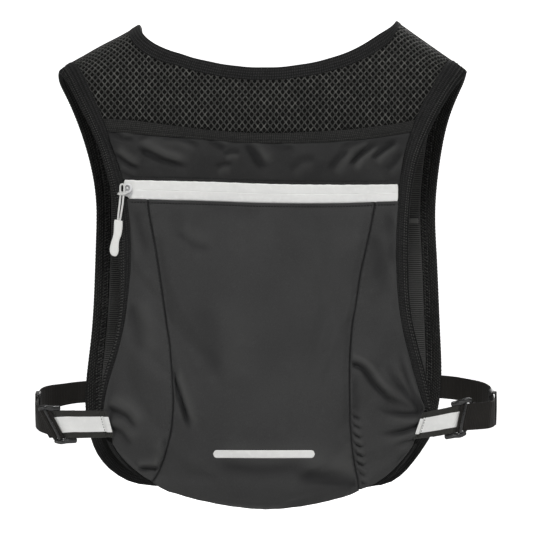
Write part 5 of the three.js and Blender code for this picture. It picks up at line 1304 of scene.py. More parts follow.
def pocket_panel(tag, replaced, first, last, step, sewn, table):
    """One panel between two columns. sewn says which of its sides are long seams."""
    u = places(first, last, step, (0.1, 0.2, 0.32, 0.46, 0.62))
    P = interpolate(pocket_points, u, 0)
    # folds fade out at the panel's own edges
    column = np.clip(u, 0, POCKET_COLUMNS)[:, None]
    t = pocket_v / POCKET_ROWS
    fade = (np.clip(np.minimum(column, POCKET_COLUMNS - column) / 1.2, 0, 1)
            * (smoothstep(1, 0.97, t) * smoothstep(0, 0.02, t))[None])
    for seam in SEAM_COLUMNS:
        fade = fade * (0.12 + 0.88 * smoothstep(0, 0.9, np.abs(column - seam)))
    fold = 1.1 * folds(P[..., 0], P[..., 2], table) * fade
    # painted shade in the fold valleys and painted highlight on their ridges, with a little
    # random unevenness
    tone = np.clip(0.75 * fold + 0.10 * ripple(P[..., 0], P[..., 2], 0.06, 9), -1, 1)
    P = P + grid_normals(P) * (FOLD_DEPTH * fold)[..., None]
    P[..., 1] = np.minimum(P[..., 1], curl(P[..., 0]) - BACK_CLEAR)
    from_top, from_bottom = edge_distance(P, 1, 1), edge_distance(P, 1, 0)
    relief = 0.30 * bell(from_top, 1.1, 0.9) - 0.5 * bell(from_top, 3.0, 0.7)
    for end in (0, 1):
        if sewn[end]:
            d = edge_distance(P, 0, end)
            relief += 0.22 * bell(d, 2.0, 1.1) - 1.05 * bell(d, 0, 0.9)
            # thread pulls little dimples along the seam
            relief += 0.16 * np.sin(from_bottom * TAU / 6.5) * bell(d, 2.2, 1.6)
            # painted shade along the seam's groove
            tone = tone - 0.95 * bell(d, 0, 0.75)
    uv_z = pocket_uv_z
    if tag == "centre":
        lip = pocket_lip(P)
        P = np.concatenate([lip, P], 1)
        relief = np.concatenate([np.zeros(lip.shape[:2]), relief], 1)
        # painted shade on the lip where the bag turns under
        tone = np.concatenate([np.full(lip.shape[:2], -0.3), tone], 1)
        uv_z = np.concatenate([uv_z[0] - np.arange(lip.shape[1], 0, -1) * 2.0, uv_z])
    uv_x = np.interp(u, np.arange(POCKET_COLUMNS + 1), pocket_x[:, POCKET_ROWS // 2])
    uv = np.stack(np.meshgrid(uv_x, uv_z, indexing="ij"), -1)
    ob = panel("pocket_cloth_" + tag, P, POCKET_CLOTH, 0.65, uv, relief, tone=tone)
    attach(ob, "fabric", replaced)
    return SimpleNamespace(ob=ob, points=P, columns=u)


LEFT_SEAM, RIGHT_SEAM = SEAM_COLUMNS
pocket_left = pocket_panel("left", "pocket_side_panel_left", 0, LEFT_SEAM, 0.25,
                           (False, True), LEFT_FOLDS)
pocket_centre = pocket_panel("centre", "pocket_centre_panel", LEFT_SEAM, RIGHT_SEAM, 0.36,
                             (True, True), CENTRE_FOLDS)
pocket_right = pocket_panel("right", "pocket_side_panel_right", RIGHT_SEAM, POCKET_COLUMNS,
                            0.25, (True, False), RIGHT_FOLDS)


# ---------------------------------------------------------------- bindings round every edge
def armhole_binding(tag):
    """A knitted outer edge, a groove, then flat tape; the underside is knitted too."""
    def relief(across, t):
        knitted = 0.34 * np.sin(t * TAU / 3.3 + 2.2 * across) - 0.5 * bell(across, -0.45, 0.10)
        return (-0.55 * bell(across, 0.02, 0.10) + knitted * smoothstep(0.0, -0.25, across)
                + 0.10 * np.sin(t * TAU / 6.0) * bell(across, 0.55, 0.35))

    def side_slots(across, up):
        return np.where(up < -0.1, 2, np.where(across < 0.0, 1, 0))

    outer, inner = arm_outer[tag], arm_inner[tag]
    count = int(lengths(outer)[-1] / 1.1)
    ob = tube("armhole_edge_" + tag, outer, inner, -0.45, 3.85, count, 26, 0.42, 0.35,
              relief, BINDING, KNIT_EDGE, KNIT_INSIDE, side_slots=side_slots)
    attach(ob, "binding", "armhole_binding_" + tag)
    # two rows of stitches on the flat tape, then two of loops along the knitted edge
    a, b = even(outer, count), even(inner, count)
    for i, across in enumerate((0.30, 0.78)):
        stitches("armhole_stitch_%s_%d" % (tag, i), (a + b) / 2 + (b - a) / 2 * across,
                 lift=3.92, pitch=2.7, length=1.7, r=0.36, material=THREAD)
    for i, (across, r) in enumerate(((-0.30, 0.55), (-0.62, 0.5))):
        stitches("armhole_stitch_%s_%d" % (tag, i + 2), (a + b) / 2 + (b - a) / 2 * across,
                 lift=3.7, pitch=2.6, length=1.1, r=r, material=LOOP_YARN)


armhole_binding("left")
armhole_binding("right")

attach(tape("neck_edge", neck_outer, neck_inner, BINDING, low=-0.45, high=3.9, sides=30,
            count=420, power=0.42, widen=0.35, groove=0.62, pucker=0.16),
       "binding", "neck_binding")
stitches("neck_stitch", neck_outer * 0.2 + neck_inner * 0.8,
         lift=3.72, pitch=2.6, length=1.8, r=0.36, material=THREAD)
stitches("band_stitch", band_lower * 0.74 + band_upper * 0.26,
         lift=3.86, pitch=2.7, length=1.7, r=0.42, material=THREAD)

# the narrow tape over each shoulder, where back net and front net meet
SHOULDER_TAPE_HALF = 3.4
for tag, _ in SIDES:
    x0, x1 = sorted((arm_x(tag, 0.0), neck_front[tag][-1, 0]))
    x = np.linspace(x0 - 1.0, x1 + 1.0, 50)
    back, front = (np.stack([x, np.full(50, s)], 1)
                   for s in (SHOULDER_TAPE_HALF, -SHOULDER_TAPE_HALF))
    attach(tape("shoulder_seam_" + tag, back, front, SEAM_TAPE, low=1.2, high=3.35, sides=16,
                count=60, power=0.5, widen=0.2), "mesh")

# hem binding of the lining, under the bag
hem_lines = [even(to_pattern(c, 1), 200) for c in (HEM_OUTER, LINING_BOTTOM)]
attach(tape("back_hem_edge", *hem_lines, BINDING, low=-0.1, high=1.4, sides=20, count=200,
            power=0.4, widen=0.1), "binding", "back_hem_binding")


# ---------------------------------------------------------------- back zip
def back_zip_tape(which, z0, z1):
    """One silver tape, between two heights from the zip's middle, with rounded ends."""
    offsets = np.linspace(z0, z1, 13)
    t = np.linspace(0, 1, 261)
    span = ZIP_END_X - ZIP_START_X
    widths = zip_half_width(ZIP_START_X + span * t) / ZIP_HALF
    columns = []
    for offset in offsets:
        out = abs(offset) / ZIP_HALF
        start = 1.4 * out ** 4 if offset > 0 else 5.2 * out ** 1.6
        x = ZIP_START_X + start + t * (span - start - 0.8 * out ** 6)
        columns.append(to_pattern(np.stack([x, zip_middle(x) + offset * widths], 1), 1))
    grid = np.stack(columns, 1)
    x, d = grid[..., 0], np.abs(offsets)[None]
    pucker = (0.10 * np.sin(x * TAU / 9.3 + 1.1 * np.sin(x * 0.11)) * smoothstep(2.5, 7.5, d)
              + 0.08 * np.sin(x * 0.31 + d * 0.3))
    lift = 3.45 + pucker - 0.35 * bell(d, ZIP_HALF, 0.6)
    attach(sheet("zip_tape_" + which, grid, 2.3, lift, FILM),
           "reflective", "back_zip_tape_" + which)


back_zip_tape("upper", -0.15, ZIP_HALF)
back_zip_tape("lower", -ZIP_HALF, 0.0)


def inset_line(P, end, inset=3.0):
    """The line a fixed distance in from one long edge of a grid."""
    out = []
    for row, d in zip(P, edge_distance(P, 1, end)):
        o = np.argsort(d)
        out.append([np.interp(inset, d[o], row[o, k]) for k in range(3)])
    return np.array(out)


ZIP_STITCH = dict(lift=0.55, r=0.45, pitch=2.7, length=1.6)
space_stitches("zip_stitch_upper", inset_line(upper_cloth, 0)[8:-8], **ZIP_STITCH)
for letter, part, skip_first, skip_last in (("l", pocket_left, 12, 0),
                                            ("c", pocket_centre, 0, 0),
                                            ("r", pocket_right, 0, 8)):
    line = inset_line(part.points, 1)
    space_stitches("zip_stitch_lower_" + letter, line[skip_first:len(line) - skip_last],
                   **ZIP_STITCH)

# top-stitching on both sides of the two long seams
SEAM_STITCH_INSET = 0.558  # in columns of the pocket grid
for letter, part, seam, way in (("a", pocket_left, LEFT_SEAM, -1),
                                ("b", pocket_centre, LEFT_SEAM, 1),
                                ("c", pocket_centre, RIGHT_SEAM, -1),
                                ("d", pocket_right, RIGHT_SEAM, 1)):
    nearest = int(np.argmin(np.abs(part.columns - (seam + way * SEAM_STITCH_INSET))))
    line = part.points[nearest]
    if part is pocket_centre:
        line = line[line[:, 1] < -3.0]  # leaves out the lip
    space_stitches("seam_stitch_" + letter, line[2:-3], lift=0.62, r=0.22, pitch=3.0,
                   length=2.0)


def reflective_bar():
    """A thin patch with round ends, low on the bag, that follows the cloth."""
    half_length, half, middle_z = 45.5, 3.5, -146.5
    across, up = int(2 * half_length), 8
    bag = pocket_centre.ob.data
    tree = BVHTree.FromPolygons([v.co[:] for v in bag.vertices],
                                [p.vertices[:] for p in bag.polygons])
    outer = np.zeros((across + 1, up + 1, 3))
    inner = np.zeros_like(outer)
    for i in range(across + 1):
        x = 2 * half_length * i / across - half_length
        from_end = min(x + half_length, half_length - x)
        h = max(half * math.sqrt(1 - max(0, 1 - from_end / half) ** 2), 0.05)
        for j in range(up + 1):
            z = middle_z + h * (2 * j / up - 1)
            hit = tree.ray_cast(Vector((x * MM, -0.2, z * MM)), Vector((0, 1, 0)))
            p, n = np.array(hit[0]) / MM, np.array(hit[1])
            if n[1] > 0:
                n = -n
            outer[i, j], inner[i, j] = p + n * 0.16, p - n * 0.25
    attach(shell("reflective_bar", outer, inner, FILM, outer[..., [0, 2]]), "reflective")


reflective_bar()


# ---------------------------------------------------------------- small solids
def template(hu, hv, hw, r, seg=2):
    """Rounded block, as points and faces."""
    bm = bmesh.new()
    bmesh.ops.create_cube(bm, size=2)
    for v in bm.verts:
        v.co = Vector((v.co.x * hu, v.co.y * hv, v.co.z * hw))
    bmesh.ops.bevel(bm, geom=bm.edges[:], offset=r, segments=seg, profile=0.5, affect="EDGES")
    bm.verts.index_update()
    V = np.array([v.co[:] for v in bm.verts])
    F = [tuple(v.index for v in f.verts) for f in bm.faces]
    bm.free()
    return V, F


def copies(V, F, C, U, W, N):
    """The same block at many places C, turned to the directions U, W, N."""
    C = np.asarray(C, float)
    U, W, N = (np.asarray(k, float) for k in (U, W, N))
    P = C[:, None] + V[None, :, :1] * U + V[None, :, 1:2] * W + V[None, :, 2:] * N
    n = len(V)
    return P.reshape(-1, 3), [tuple(i + n * k for i in f) for k in range(len(C)) for f in F]


def sweep(path, half_across, half_up, up, sides=16, power=1.0, closed=False, ends=None):
    """A solid bar along a path. Its half sizes lie across and along the direction up.
    Both ends are rounded over the length ends."""
    P = np.asarray(path, float)
    count = len(P)
    ru, rv = (np.broadcast_to(np.asarray(r, float), count) for r in (half_across, half_up))
    size = np.ones(count)
    if ends:
        L = lengths(P)
        d = ends * (1 - np.cos(np.linspace(0.12, np.pi / 2, 6)))
        w = np.unique(np.concatenate([d, L[-1] - d, L[(L > ends) & (L < L[-1] - ends)]]))
        e = np.minimum(w, L[-1] - w)
        size = np.where(e < ends, np.sqrt(np.clip(1 - (1 - e / ends) ** 2, 0.01, 1)), 1)
        P = np.stack([np.interp(w, L, P[:, j]) for j in range(3)], 1)
        ru, rv = np.interp(w, L, ru), np.interp(w, L, rv)
    if closed:
        T = np.roll(P, -1, 0) - np.roll(P, 1, 0)
    else:
        T = np.gradient(P, axis=0)
    T = unit(T)
    up = np.broadcast_to(np.asarray(up, float), P.shape)
    V = unit(up - (up * T).sum(1, keepdims=True) * T)
    U = np.cross(T, V)
    a, b = (k[None, :, None] for k in rounded(turns(sides), power))
    Q = (P[:, None] + (ru * size)[:, None, None] * a * U[:, None]
         + (rv * size)[:, None, None] * b * V[:, None])
    return Q.reshape(-1, 3), tube_faces(len(P), sides, closed)


def plate(outline, z0, z1, r, crown=0.0):
    """A flat part with an anticlockwise outline, all its edges rounded by r."""
    d = unit(np.roll(outline, -1, 0) - np.roll(outline, 1, 0))
    outward = np.stack([d[:, 1], -d[:, 0]], 1)
    rings, levels = [], []
    for start, end, level in ((-np.pi / 2, 0, z0 + r), (0, np.pi / 2, z1 - r)):
        for th in np.linspace(start, end, 5):
            rings.append(outline - outward * r * (1 - np.cos(th)))
            levels.append(level + r * np.sin(th))
    # inner rings let a crowned face stay smooth
    middle = outline.mean(0)
    for f in (0.6, 0.25):
        ring = middle + (outline - middle) * f
        rings = [ring] + rings + [ring]
        levels = [z0] + levels + [z1 + crown * (1 - f ** 2)]
    V = np.concatenate([np.concatenate([a, np.full((len(a), 1), h)], 1)
                        for a, h in zip(rings, levels)])
    return V, tube_faces(len(rings), len(outline))


def merged(parts):
    V, F, n = [], [], 0
    for v, f in parts:
        V.append(v)
        F += [tuple(int(i) + n for i in k) for k in f]
        n += len(v)
    return np.concatenate(V), F


def turned(part, origin, u, w, n):
    """A part moved from its own axes to the vest's."""
    V, F = part
    u, w, n = (np.asarray(k, float) for k in (u, w, n))
    return np.asarray(origin, float) + V[:, :1] * u + V[:, 1:2] * w + V[:, 2:] * n, F


# ---------------------------------------------------------------- the two front panels
CHEST_ZIP_Z, CHEST_BOTTOM_Z = 62, -96
CHEST_INNER_X, CHEST_OUTER_X = 22, 118


def part_of(c, z0, z1, n=60):
    """Part of a climbing pattern line between two heights."""
    heights, z = height(c), np.linspace(z0, z1, n)
    return np.stack([np.interp(z, heights, c[:, 0]), np.interp(z, heights, c[:, 1])], 1)


def x_at_height(c, z):
    return float(np.interp(z, height(c), c[:, 0]))


def rising(c):
    """The part of a line that climbs steadily, lowest place first."""
    keep, top = [], -1e9
    for i, z in enumerate(height(c)):
        if z > top + 0.01:
            keep.append(i)
            top = z
    return c[keep]


def front_patch(side, bottom, top, arm, middle, nu, nv):
    """A patch whose edges run from the armhole towards the middle of the vest."""
    if side < 0:
        return patch(bottom, top, arm, middle, nu, nv)
    return patch(bottom[::-1], top[::-1], middle, arm, nu, nv)


def across_front(side, count):
    """0 to 1 away from the start of each row that runs outwards on the right."""
    return np.linspace(0, 1, count)[None] if side > 0 else np.linspace(1, 0, count)[None]


def front_lines(tag, side):
    """The lines that bound one front panel, from its armhole to the centre zip."""
    inner = arm_inner[tag]
    arm = rising(inner[inner[:, 1] < -0.5][::-1])
    neck = rising(neck_front[tag])
    bottom_outer = to_pattern(FRONT_BOTTOM[tag], -1)
    low_z = max(FRONT_BOTTOM[tag][0][1], float(height(arm[:1])[0]))
    low_arm = part_of(arm, low_z, STRIP_BOTTOM_Z)
    b = offset_curve(smooth_curve(even(bottom_outer, 60), 2), -side * BINDING_WIDTH)
    b = b[(np.abs(b[:, 0]) < abs(low_arm[0, 0]) - 2) & (np.abs(b[:, 0]) > CENTRE_HALF + 1)]
    bottom_end = np.array([side * CENTRE_HALF, b[-1, 1]])

    def neck_below(z):
        return neck[(height(neck) < z) & (np.abs(neck[:, 0]) > CENTRE_HALF + 1)][::-1]

    throat = np.array([side * CENTRE_HALF, neck_below(STRIP_BOTTOM_Z)[-1, 1] - 0.4])
    return SimpleNamespace(
        tag=tag, side=side, arm=arm, neck=neck, neck_below=neck_below, low_arm=low_arm,
        bottom_outer=bottom_outer, bottom=np.vstack([low_arm[:1], b, bottom_end]),
        bottom_end=bottom_end, throat=throat,
        middle=even(np.array([bottom_end, throat]), 20))


def shoulder(front):
    """Net over the shoulder, with its dark backing."""
    side, tag = front.side, front.tag
    arm, neck = (c[np.argsort(c[:, 1])] for c in (front.arm, front.neck))

    def inside(x, s):
        xa, xn = (np.interp(s, c[:, 1], c[:, 0]) for c in (arm, neck))
        low, high = (xa - 0.3, xn + 1.6) if side < 0 else (xn - 1.6, xa + 0.3)
        z = height(np.stack([x, s], -1))
        return (z > STRIP_TOP_Z + 0.4) & (x > low) & (x < high) & (s < -3)

    x_range = (-215, 0) if side < 0 else (0, 215)
    attach(net("shoulder_net_" + tag, -1, inside, x_range, (100, 330)),
           "mesh", "front_mesh_shoulder_" + tag)
    edges = []
    for c in (front.arm, front.neck):
        top_z = float(height(c[-1:])[0])
        edges.append(np.vstack([part_of(c, STRIP_TOP_Z, top_z), [[c[-1, 0], -0.6]]]))
    bottom = front_line(x_at_height(front.arm, STRIP_TOP_Z),
                        x_at_height(front.neck, STRIP_TOP_Z), STRIP_TOP_Z)
    top = even(np.array([edges[0][-1], edges[1][-1]]), 20)
    grid = front_patch(side, bottom, top, *edges, 30, 60)
    attach(sheet("shoulder_backing_" + tag, grid, 0.0, 1.3, BACKING), "mesh")


def chest_strip(front):
    """Silver strip across the chest, under the net."""
    lines = [even(front_line(x_at_height(front.arm, z), x_at_height(front.neck, z), z + up), 110)
             for z, up in ((STRIP_BOTTOM_Z, 0.3), (STRIP_TOP_Z, 0))]
    v = np.linspace(0, 1, 9)[None]
    grid = lines[0][:, None] * (1 - v[..., None]) + lines[1][:, None] * v[..., None]
    lift = (3.0 + 0.10 * np.sin(grid[..., 0] * 0.7 + 2 * v)
            - 0.4 * bell(v, 0, 0.08) - 0.4 * bell(v, 1, 0.08))
    attach(sheet("chest_strip_" + front.tag, grid, 1.75, lift, FILM),
           "reflective", "front_reflective_strip_" + front.tag)


def front_cloth(front):
    """The panel below the strip, and its lining."""
    side, tag = front.side, front.tag
    x_arm, x_neck = (x_at_height(c, STRIP_BOTTOM_Z) for c in (front.arm, front.neck))
    top = np.vstack([front_line(x_arm, x_neck, STRIP_BOTTOM_Z - 0.2),
                     front.neck_below(STRIP_BOTTOM_Z), front.throat])
    grid = front_patch(side, front.bottom, top, front.low_arm, front.middle, 70, 96)
    x, z = grid[..., 0], height(grid)
    u, v = np.linspace(0, 1, 71)[:, None], np.linspace(0, 1, 97)[None]
    swell = np.sin(np.pi * u) ** 0.6 * np.sin(np.pi * v) ** 0.6
    lift = 2.4 + swell * (0.45 * ripple(x, z, 0.07, 11 + side) + 0.5)
    under_pocket = (np.abs(x) > 20) & (np.abs(x) < 124) & (z < 62) & (z > -96)
    P = place(grid, np.where(under_pocket, np.minimum(lift, 2.6), lift))
    relief = sum(-0.5 * bell(d, 0, 0.8) for d in all_edge_distances(P))
    from_zip = edge_distance(P, 0, 1 if side < 0 else 0)
    relief += 0.25 * bell(from_zip, 2.0, 1.2) - 0.3 * bell(from_zip, 4.2, 0.7)
    attach(panel("front_cloth_" + tag, P, POCKET_CLOTH, 0.62, np.stack([x, z], -1), relief,
                 away=FORWARD), "fabric", "front_panel_" + tag)

    x_arm, x_neck = (x_at_height(c, STRIP_TOP_Z) for c in (front.arm, front.neck))
    top = np.vstack([front_line(x_arm, x_neck, STRIP_TOP_Z), front.neck_below(STRIP_TOP_Z),
                     front.throat])
    arm = part_of(front.arm, float(height(front.low_arm[:1])[0]), STRIP_TOP_Z)
    grid = front_patch(side, front.bottom, top, arm, front.middle, 60, 80)
    inner = 0.08 + 0.10 * ripple(grid[..., 0], height(grid), 0.16, 21)
    attach(sheet("front_knit_" + tag, grid, inner, 1.32, LINING),
           "lining", "front_lining_" + tag)


def inset_grid(side, edge, insets):
    """Copies of an armhole edge moved towards the middle, as a pattern grid."""
    z = height(edge)
    columns = [to_pattern(np.stack([edge[:, 0] - side * k, z], 1), -1) for k in insets]
    return np.stack(columns if side < 0 else columns[::-1], 1)


def armhole_inside(front):
    """The wearer's side of the armhole edge: a serrated mesh band, then ribbed elastic."""
    side, tag = front.side, front.tag
    band_width, tooth_pitch = 4.4, 3.1
    edge = part_of(front.arm, -112, 168, 520)
    edge[:, 0] -= side * 0.4
    d = lengths(edge)
    teeth = np.abs((d / tooth_pitch) % 1 * 2 - 1)
    grid = inset_grid(side, edge, [band_width * f + 1.0 * teeth * f ** 2
                                   for f in np.linspace(0, 1, 9)])
    f = across_front(-side, 9)
    rib = (0.45 * np.abs(np.sin(np.pi * d / tooth_pitch))[:, None]
           * np.sin(np.pi * np.clip(f * 1.05, 0, 1)))
    attach(sheet("edge_band_" + tag, grid, -0.85 - rib, -0.35, EDGE_YARN),
           "mesh", "front_edge_mesh_" + tag)

    # slanted stitches joining the band to the binding
    def on_band(distance, f):
        x = np.interp(distance, d, edge[:, 0]) - side * band_width * f
        return to_pattern(np.stack([x, np.interp(distance, d, height(edge))], 1), -1)

    start = np.arange(2.0, d[-1] - 3, 3.3)
    a, b = on_band(start, 0.02), on_band(start + 1.5, 0.72)
    attach(capsules("edge_zigzag_" + tag, place(a, -1.35), place(b, -1.35), -normal(a), 0.62,
                    BLACK_THREAD), "binding")

    dense = np.linspace(0, d[-1], int(d[-1] / 0.25))
    edge = np.stack([np.interp(dense, d, edge[:, k]) for k in (0, 1)], 1)
    grid = inset_grid(side, edge, 5.6 + 28.4 * np.linspace(0, 1, 15))
    f = across_front(-side, 15)
    rib = (np.cos(TAU * dense / 1.85)[:, None] * (0.9 + 0.1 * np.cos(f * 9))
           * smoothstep(0, 0.06, f) * smoothstep(1, 0.94, f))
    pull = 0.22 * np.sin(TAU * dense[:, None] / 21 + 4.5 * f) * np.sin(np.pi * f)
    # tone=rib paints shade and highlight that follow the ribs
    attach(sheet("elastic_band_" + tag, grid, -1.15 - 0.28 * rib - np.abs(pull), -0.35,
                 ELASTIC, tone=rib), "elastic", "front_elastic_lining_" + tag)


def front_hem(front):
    attach(tape("front_hem_" + front.tag, even(front.bottom_outer, 110),
                even(front.bottom, 110), BINDING, low=-0.3, high=3.9, sides=24, count=110,
                power=0.42, widen=0.3, groove=0.55, pucker=0.14),
           "binding", "front_hem_binding_" + front.tag)


def centre_zip(front):
    """One tape of the centre zip, its teeth and the block at their foot."""
    side, tag = front.side, front.tag
    top = float(height(front.throat)) - 3
    bottom = float(height(front.bottom_end)) + 1
    z = np.linspace(bottom, top, 220)
    columns = [to_pattern(np.stack([np.full(220, side * x), z], 1), -1)
               for x in np.linspace(2.7, CENTRE_HALF + 0.1, 8)]
    grid = np.stack(columns[::side], 1)
    f = across_front(side, 8)
    pucker = 0.08 * np.sin(z * 0.72)[:, None] * f - 0.25 * bell(1 - f, 0, 0.15)
    attach(sheet("centre_tape_" + tag, grid, 2.0, 2.8 + pucker, FILM),
           "reflective", "front_zip_tape_" + tag)

    pitch = 2.5
    z = np.arange(bottom + 2.2, top - 2.4, pitch) + (0 if side < 0 else pitch / 2)
    z = z[z < top - 2]
    C = place(to_pattern(np.stack([np.full(len(z), side * 1.45), z], 1), -1), 2.42)
    axes = ((side * 1.0, 0, 0), (0, 0, 1.0), (0, 1.0, 0))
    head, head_faces = template(0.5, 1.0, 0.6, 0.25)
    head[:, 0] -= 1.25
    foot = [[side * 2.6, DEPTH + 2.45, bottom + 3.2]]
    V, F = merged([copies(*template(1.45, 0.62, 0.78, 0.3), C, *axes),
                   copies(head, head_faces, C, *axes),
                   copies(*template(3.3, 3.4, 1.0, 0.6, 3), foot, *axes)])
    attach(make("centre_teeth_" + tag, V, F, TEETH), "coil", "front_zip_teeth_" + tag)


def chest_rise(x, z):
    return (8 * smoothstep(0, 26, 48 - np.abs(np.abs(x) - 70)) * smoothstep(34, -22, z)
            * smoothstep(-96, -74, z))


def chest_pocket(front):
    """A small bag of cloth with a zip across its top."""
    side, tag = front.side, front.tag
    inner_x, outer_x = side * CHEST_INNER_X, side * CHEST_OUTER_X
    bottom = front_line(outer_x - side * 6, inner_x, CHEST_BOTTOM_Z)
    top = front_line(outer_x, inner_x, CHEST_ZIP_Z - 8)
    arm, middle = (even(np.array([bottom[k], top[k]]), 30) for k in (0, -1))
    grid = front_patch(side, bottom, top, arm, middle, 52, 76)
    x, z = grid[..., 0], height(grid)
    u, v = np.linspace(0, 1, 53)[:, None], np.linspace(0, 1, 77)[None]
    swell = (np.sin(np.pi * u) * np.sin(np.pi * v)) ** 0.55
    fold = folds(np.abs(x), z, CHEST_FOLDS, fade_in=0.25, fade_out=0.65)
    uneven = 0.35 * ripple(x, z, 0.09, 31 + side)
    lift = 4.15 + chest_rise(x, z) + swell * (0.4 + fold * 1.2 + uneven)
    P = place(grid, np.maximum(lift, 3.9))
    P = simulate("chest_sim_" + tag, P, edge_pins(x.shape), shrink=-0.03, pressure=1.2,
                 limit=2.5, away=FORWARD)
    u, v = places(0, 52, 0.5, (0.12, 0.3, 0.5)), places(0, 76, 0.5, (0.12, 0.3, 0.5))
    P = refine(P, u, v)
    relief = sum(-0.45 * bell(d, 0, 0.8) + 0.22 * bell(d, 1.6, 0.9) - 0.4 * bell(d, 3.2, 0.6)
                 for d in all_edge_distances(P))
    # the tone paints shade into the fold valleys and highlight onto the fold ridges
    attach(panel("chest_bag_" + tag, P, POCKET_CLOTH, 0.6, P[..., [0, 2]], relief,
                 away=FORWARD, tone=np.clip(0.7 * refine(fold * swell, u, v), -1, 1)),
           "fabric", "chest_pocket_" + tag)
    # top-stitching along the bottom, the inner side and the outer side
    inner, outer = (P[-5], P[4]) if side < 0 else (P[4], P[-5])
    for letter, line in (("b", P[:, 4]), ("i", inner), ("o", outer)):
        space_stitches("chest_stitch_%s_%s" % (letter, tag), line[3:-3], lift=0.42, r=0.22,
                       away=FORWARD)

    gap, width = 0.7, 7.5
    for which, low, high in (("upper", gap, width), ("lower", -width, -gap)):
        a, b = (even(front_line(inner_x, outer_x, CHEST_ZIP_Z + k, 120), 150)[:, None]
                for k in (low, high))
        t = np.linspace(0, 1, 9)[None, :, None]
        rows = a * (1 - t) + b * t
        rows = rows[::side]
        d = np.abs(np.linspace(low, high, 9))[None]
        pucker = (0.10 * np.sin(rows[..., 0] * TAU / 8.1) * smoothstep(2.5, 6.5, d)
                  - 0.3 * bell(d, width, 0.5) - 0.35 * bell(d, gap, 0.35))
        attach(sheet("chest_tape_%s_%s" % (which, tag), rows, 4.2, 4.98 + pucker, FILM),
               "reflective", "chest_zip_tape_%s_%s" % (which, tag))
    x = np.arange(23.5, 105, 1.15) * side
    A = place(front_line(x[0], x[-1], CHEST_ZIP_Z, len(x)), 4.35)
    slant = np.array([0.25 * side, 0, -0.95])
    attach(capsules("chest_coil_" + tag, A + slant, A - slant,
                    np.tile([[0, 1.0, 0]], (len(A), 1)), 0.42, TEETH), "coil")


for tag, side in SIDES:
    front = front_lines(tag, side)
    shoulder(front)
    chest_strip(front)
    front_cloth(front)
    armhole_inside(front)
    front_hem(front)
    centre_zip(front)
    chest_pocket(front)


def hang_loop():
    """Small grey loop sewn on the right front's inner side, with three stitches."""
    y, z, half_gap = DEPTH - float(curl(142.5)) - 2.9, 63.3, 0.36
    path = [(131.4, half_gap)] + [(x, half_gap) for x in np.linspace(132.5, 141.2, 8)]
    path += [(141.9 + 0.45 * math.sin(a), half_gap * math.cos(a))
             for a in np.linspace(0.4, math.pi - 0.4, 5)]
    path += [(x, -half_gap) for x in np.linspace(141.2, 131.4, 9)]
    parts = [sweep([(px, y + py, z) for px, py in path], 0.2, 2.25, (0, 0, 1), 16, 0.5)]
    for x in (132.2, 133.0, 133.8):
        parts.append(sweep([(x, y - 0.75, z - 1.9), (x, y - 0.8, z), (x, y - 0.75, z + 1.9)],
                           0.22, 0.2, (0, 1, 0), 6))
    attach(make("hang_loop_right", *merged(parts), GREY_LOOP), "cord", "inner_loop_right")


hang_loop()


# ---------------------------------------------------------------- straps
def ribbon(name, middle, half, thick, material, rib=1.0, relief=0.0, step=0.6, edge=0.55,
           shift=0.0, scale=1.0, start=0.0, stop=None):
    """Strap round a path of middles and half-width vectors, with rounded selvedges and ribs.
    shift moves it along its normal, and start and stop are distances along the path."""
    cord_pitch = 1.9
    L = lengths(middle)
    stop = L[-1] if stop is None else stop
    s = np.linspace(start, stop, max(6, int((stop - start) / step)))
    s = np.unique(np.concatenate([[start + 0.08, start + 0.25], s, [stop - 0.25, stop - 0.08]]))
    idx = np.interp(s, L, np.arange(len(middle)))
    P, Q = interpolate(middle, idx, 0), interpolate(half, idx, 0) * scale
    N = unit(np.cross(unit(np.gradient(P, s, axis=0)), Q))
    w = float(np.linalg.norm(Q, axis=1).mean())
    e = edge / w
    corner = e * (1 - np.cos(np.linspace(0, np.pi / 2, 5)))
    u = np.unique(np.concatenate([np.linspace(-1, 1, 19), 1 - corner, -1 + corner]))
    v = np.sqrt(np.clip(1 - np.clip((np.abs(u) - (1 - e)) / e, 0, 1) ** 2, 0, 1))
    from_end = np.minimum(s - start, stop - s)
    end = np.sqrt(np.clip(1 - np.clip(1 - from_end / 0.5, 0, 1) ** 2, 0.04, 1))
    ribs = (relief * np.cos(TAU * s / rib)[:, None] * (1 - u[None] ** 6)
            + 0.25 * relief * np.cos(TAU * u[None] * w / cord_pitch) * (v[None] > 0.99))
    rise = (thick / 2 * v[None] * end[:, None] + ribs * v[None])[..., None]
    flat = P[:, None] + u[None, :, None] * Q[:, None]
    top, bottom = flat + N[:, None] * (shift + rise), flat + N[:, None] * (shift - rise)
    loop = np.concatenate([top, bottom[:, 1:-1][:, ::-1]], 1)
    around = np.concatenate([u, u[1:-1][::-1]]) * w
    uv = np.stack(np.meshgrid(s, around, indexing="ij"), -1)[..., ::-1]
    return make(name, loop.reshape(-1, 3), tube_faces(*loop.shape[:2]), material,
                uv=uv.reshape(-1, 2))


WEB_HALF = 12.5          # half width of the webbing
RUN_Y0, RUN_Y1 = 23.8, 61.8  # the straight run past the side
RUN_RISE = 7
GLIDE_Y = 41.8
UP = np.array([0, 0, 1.0])


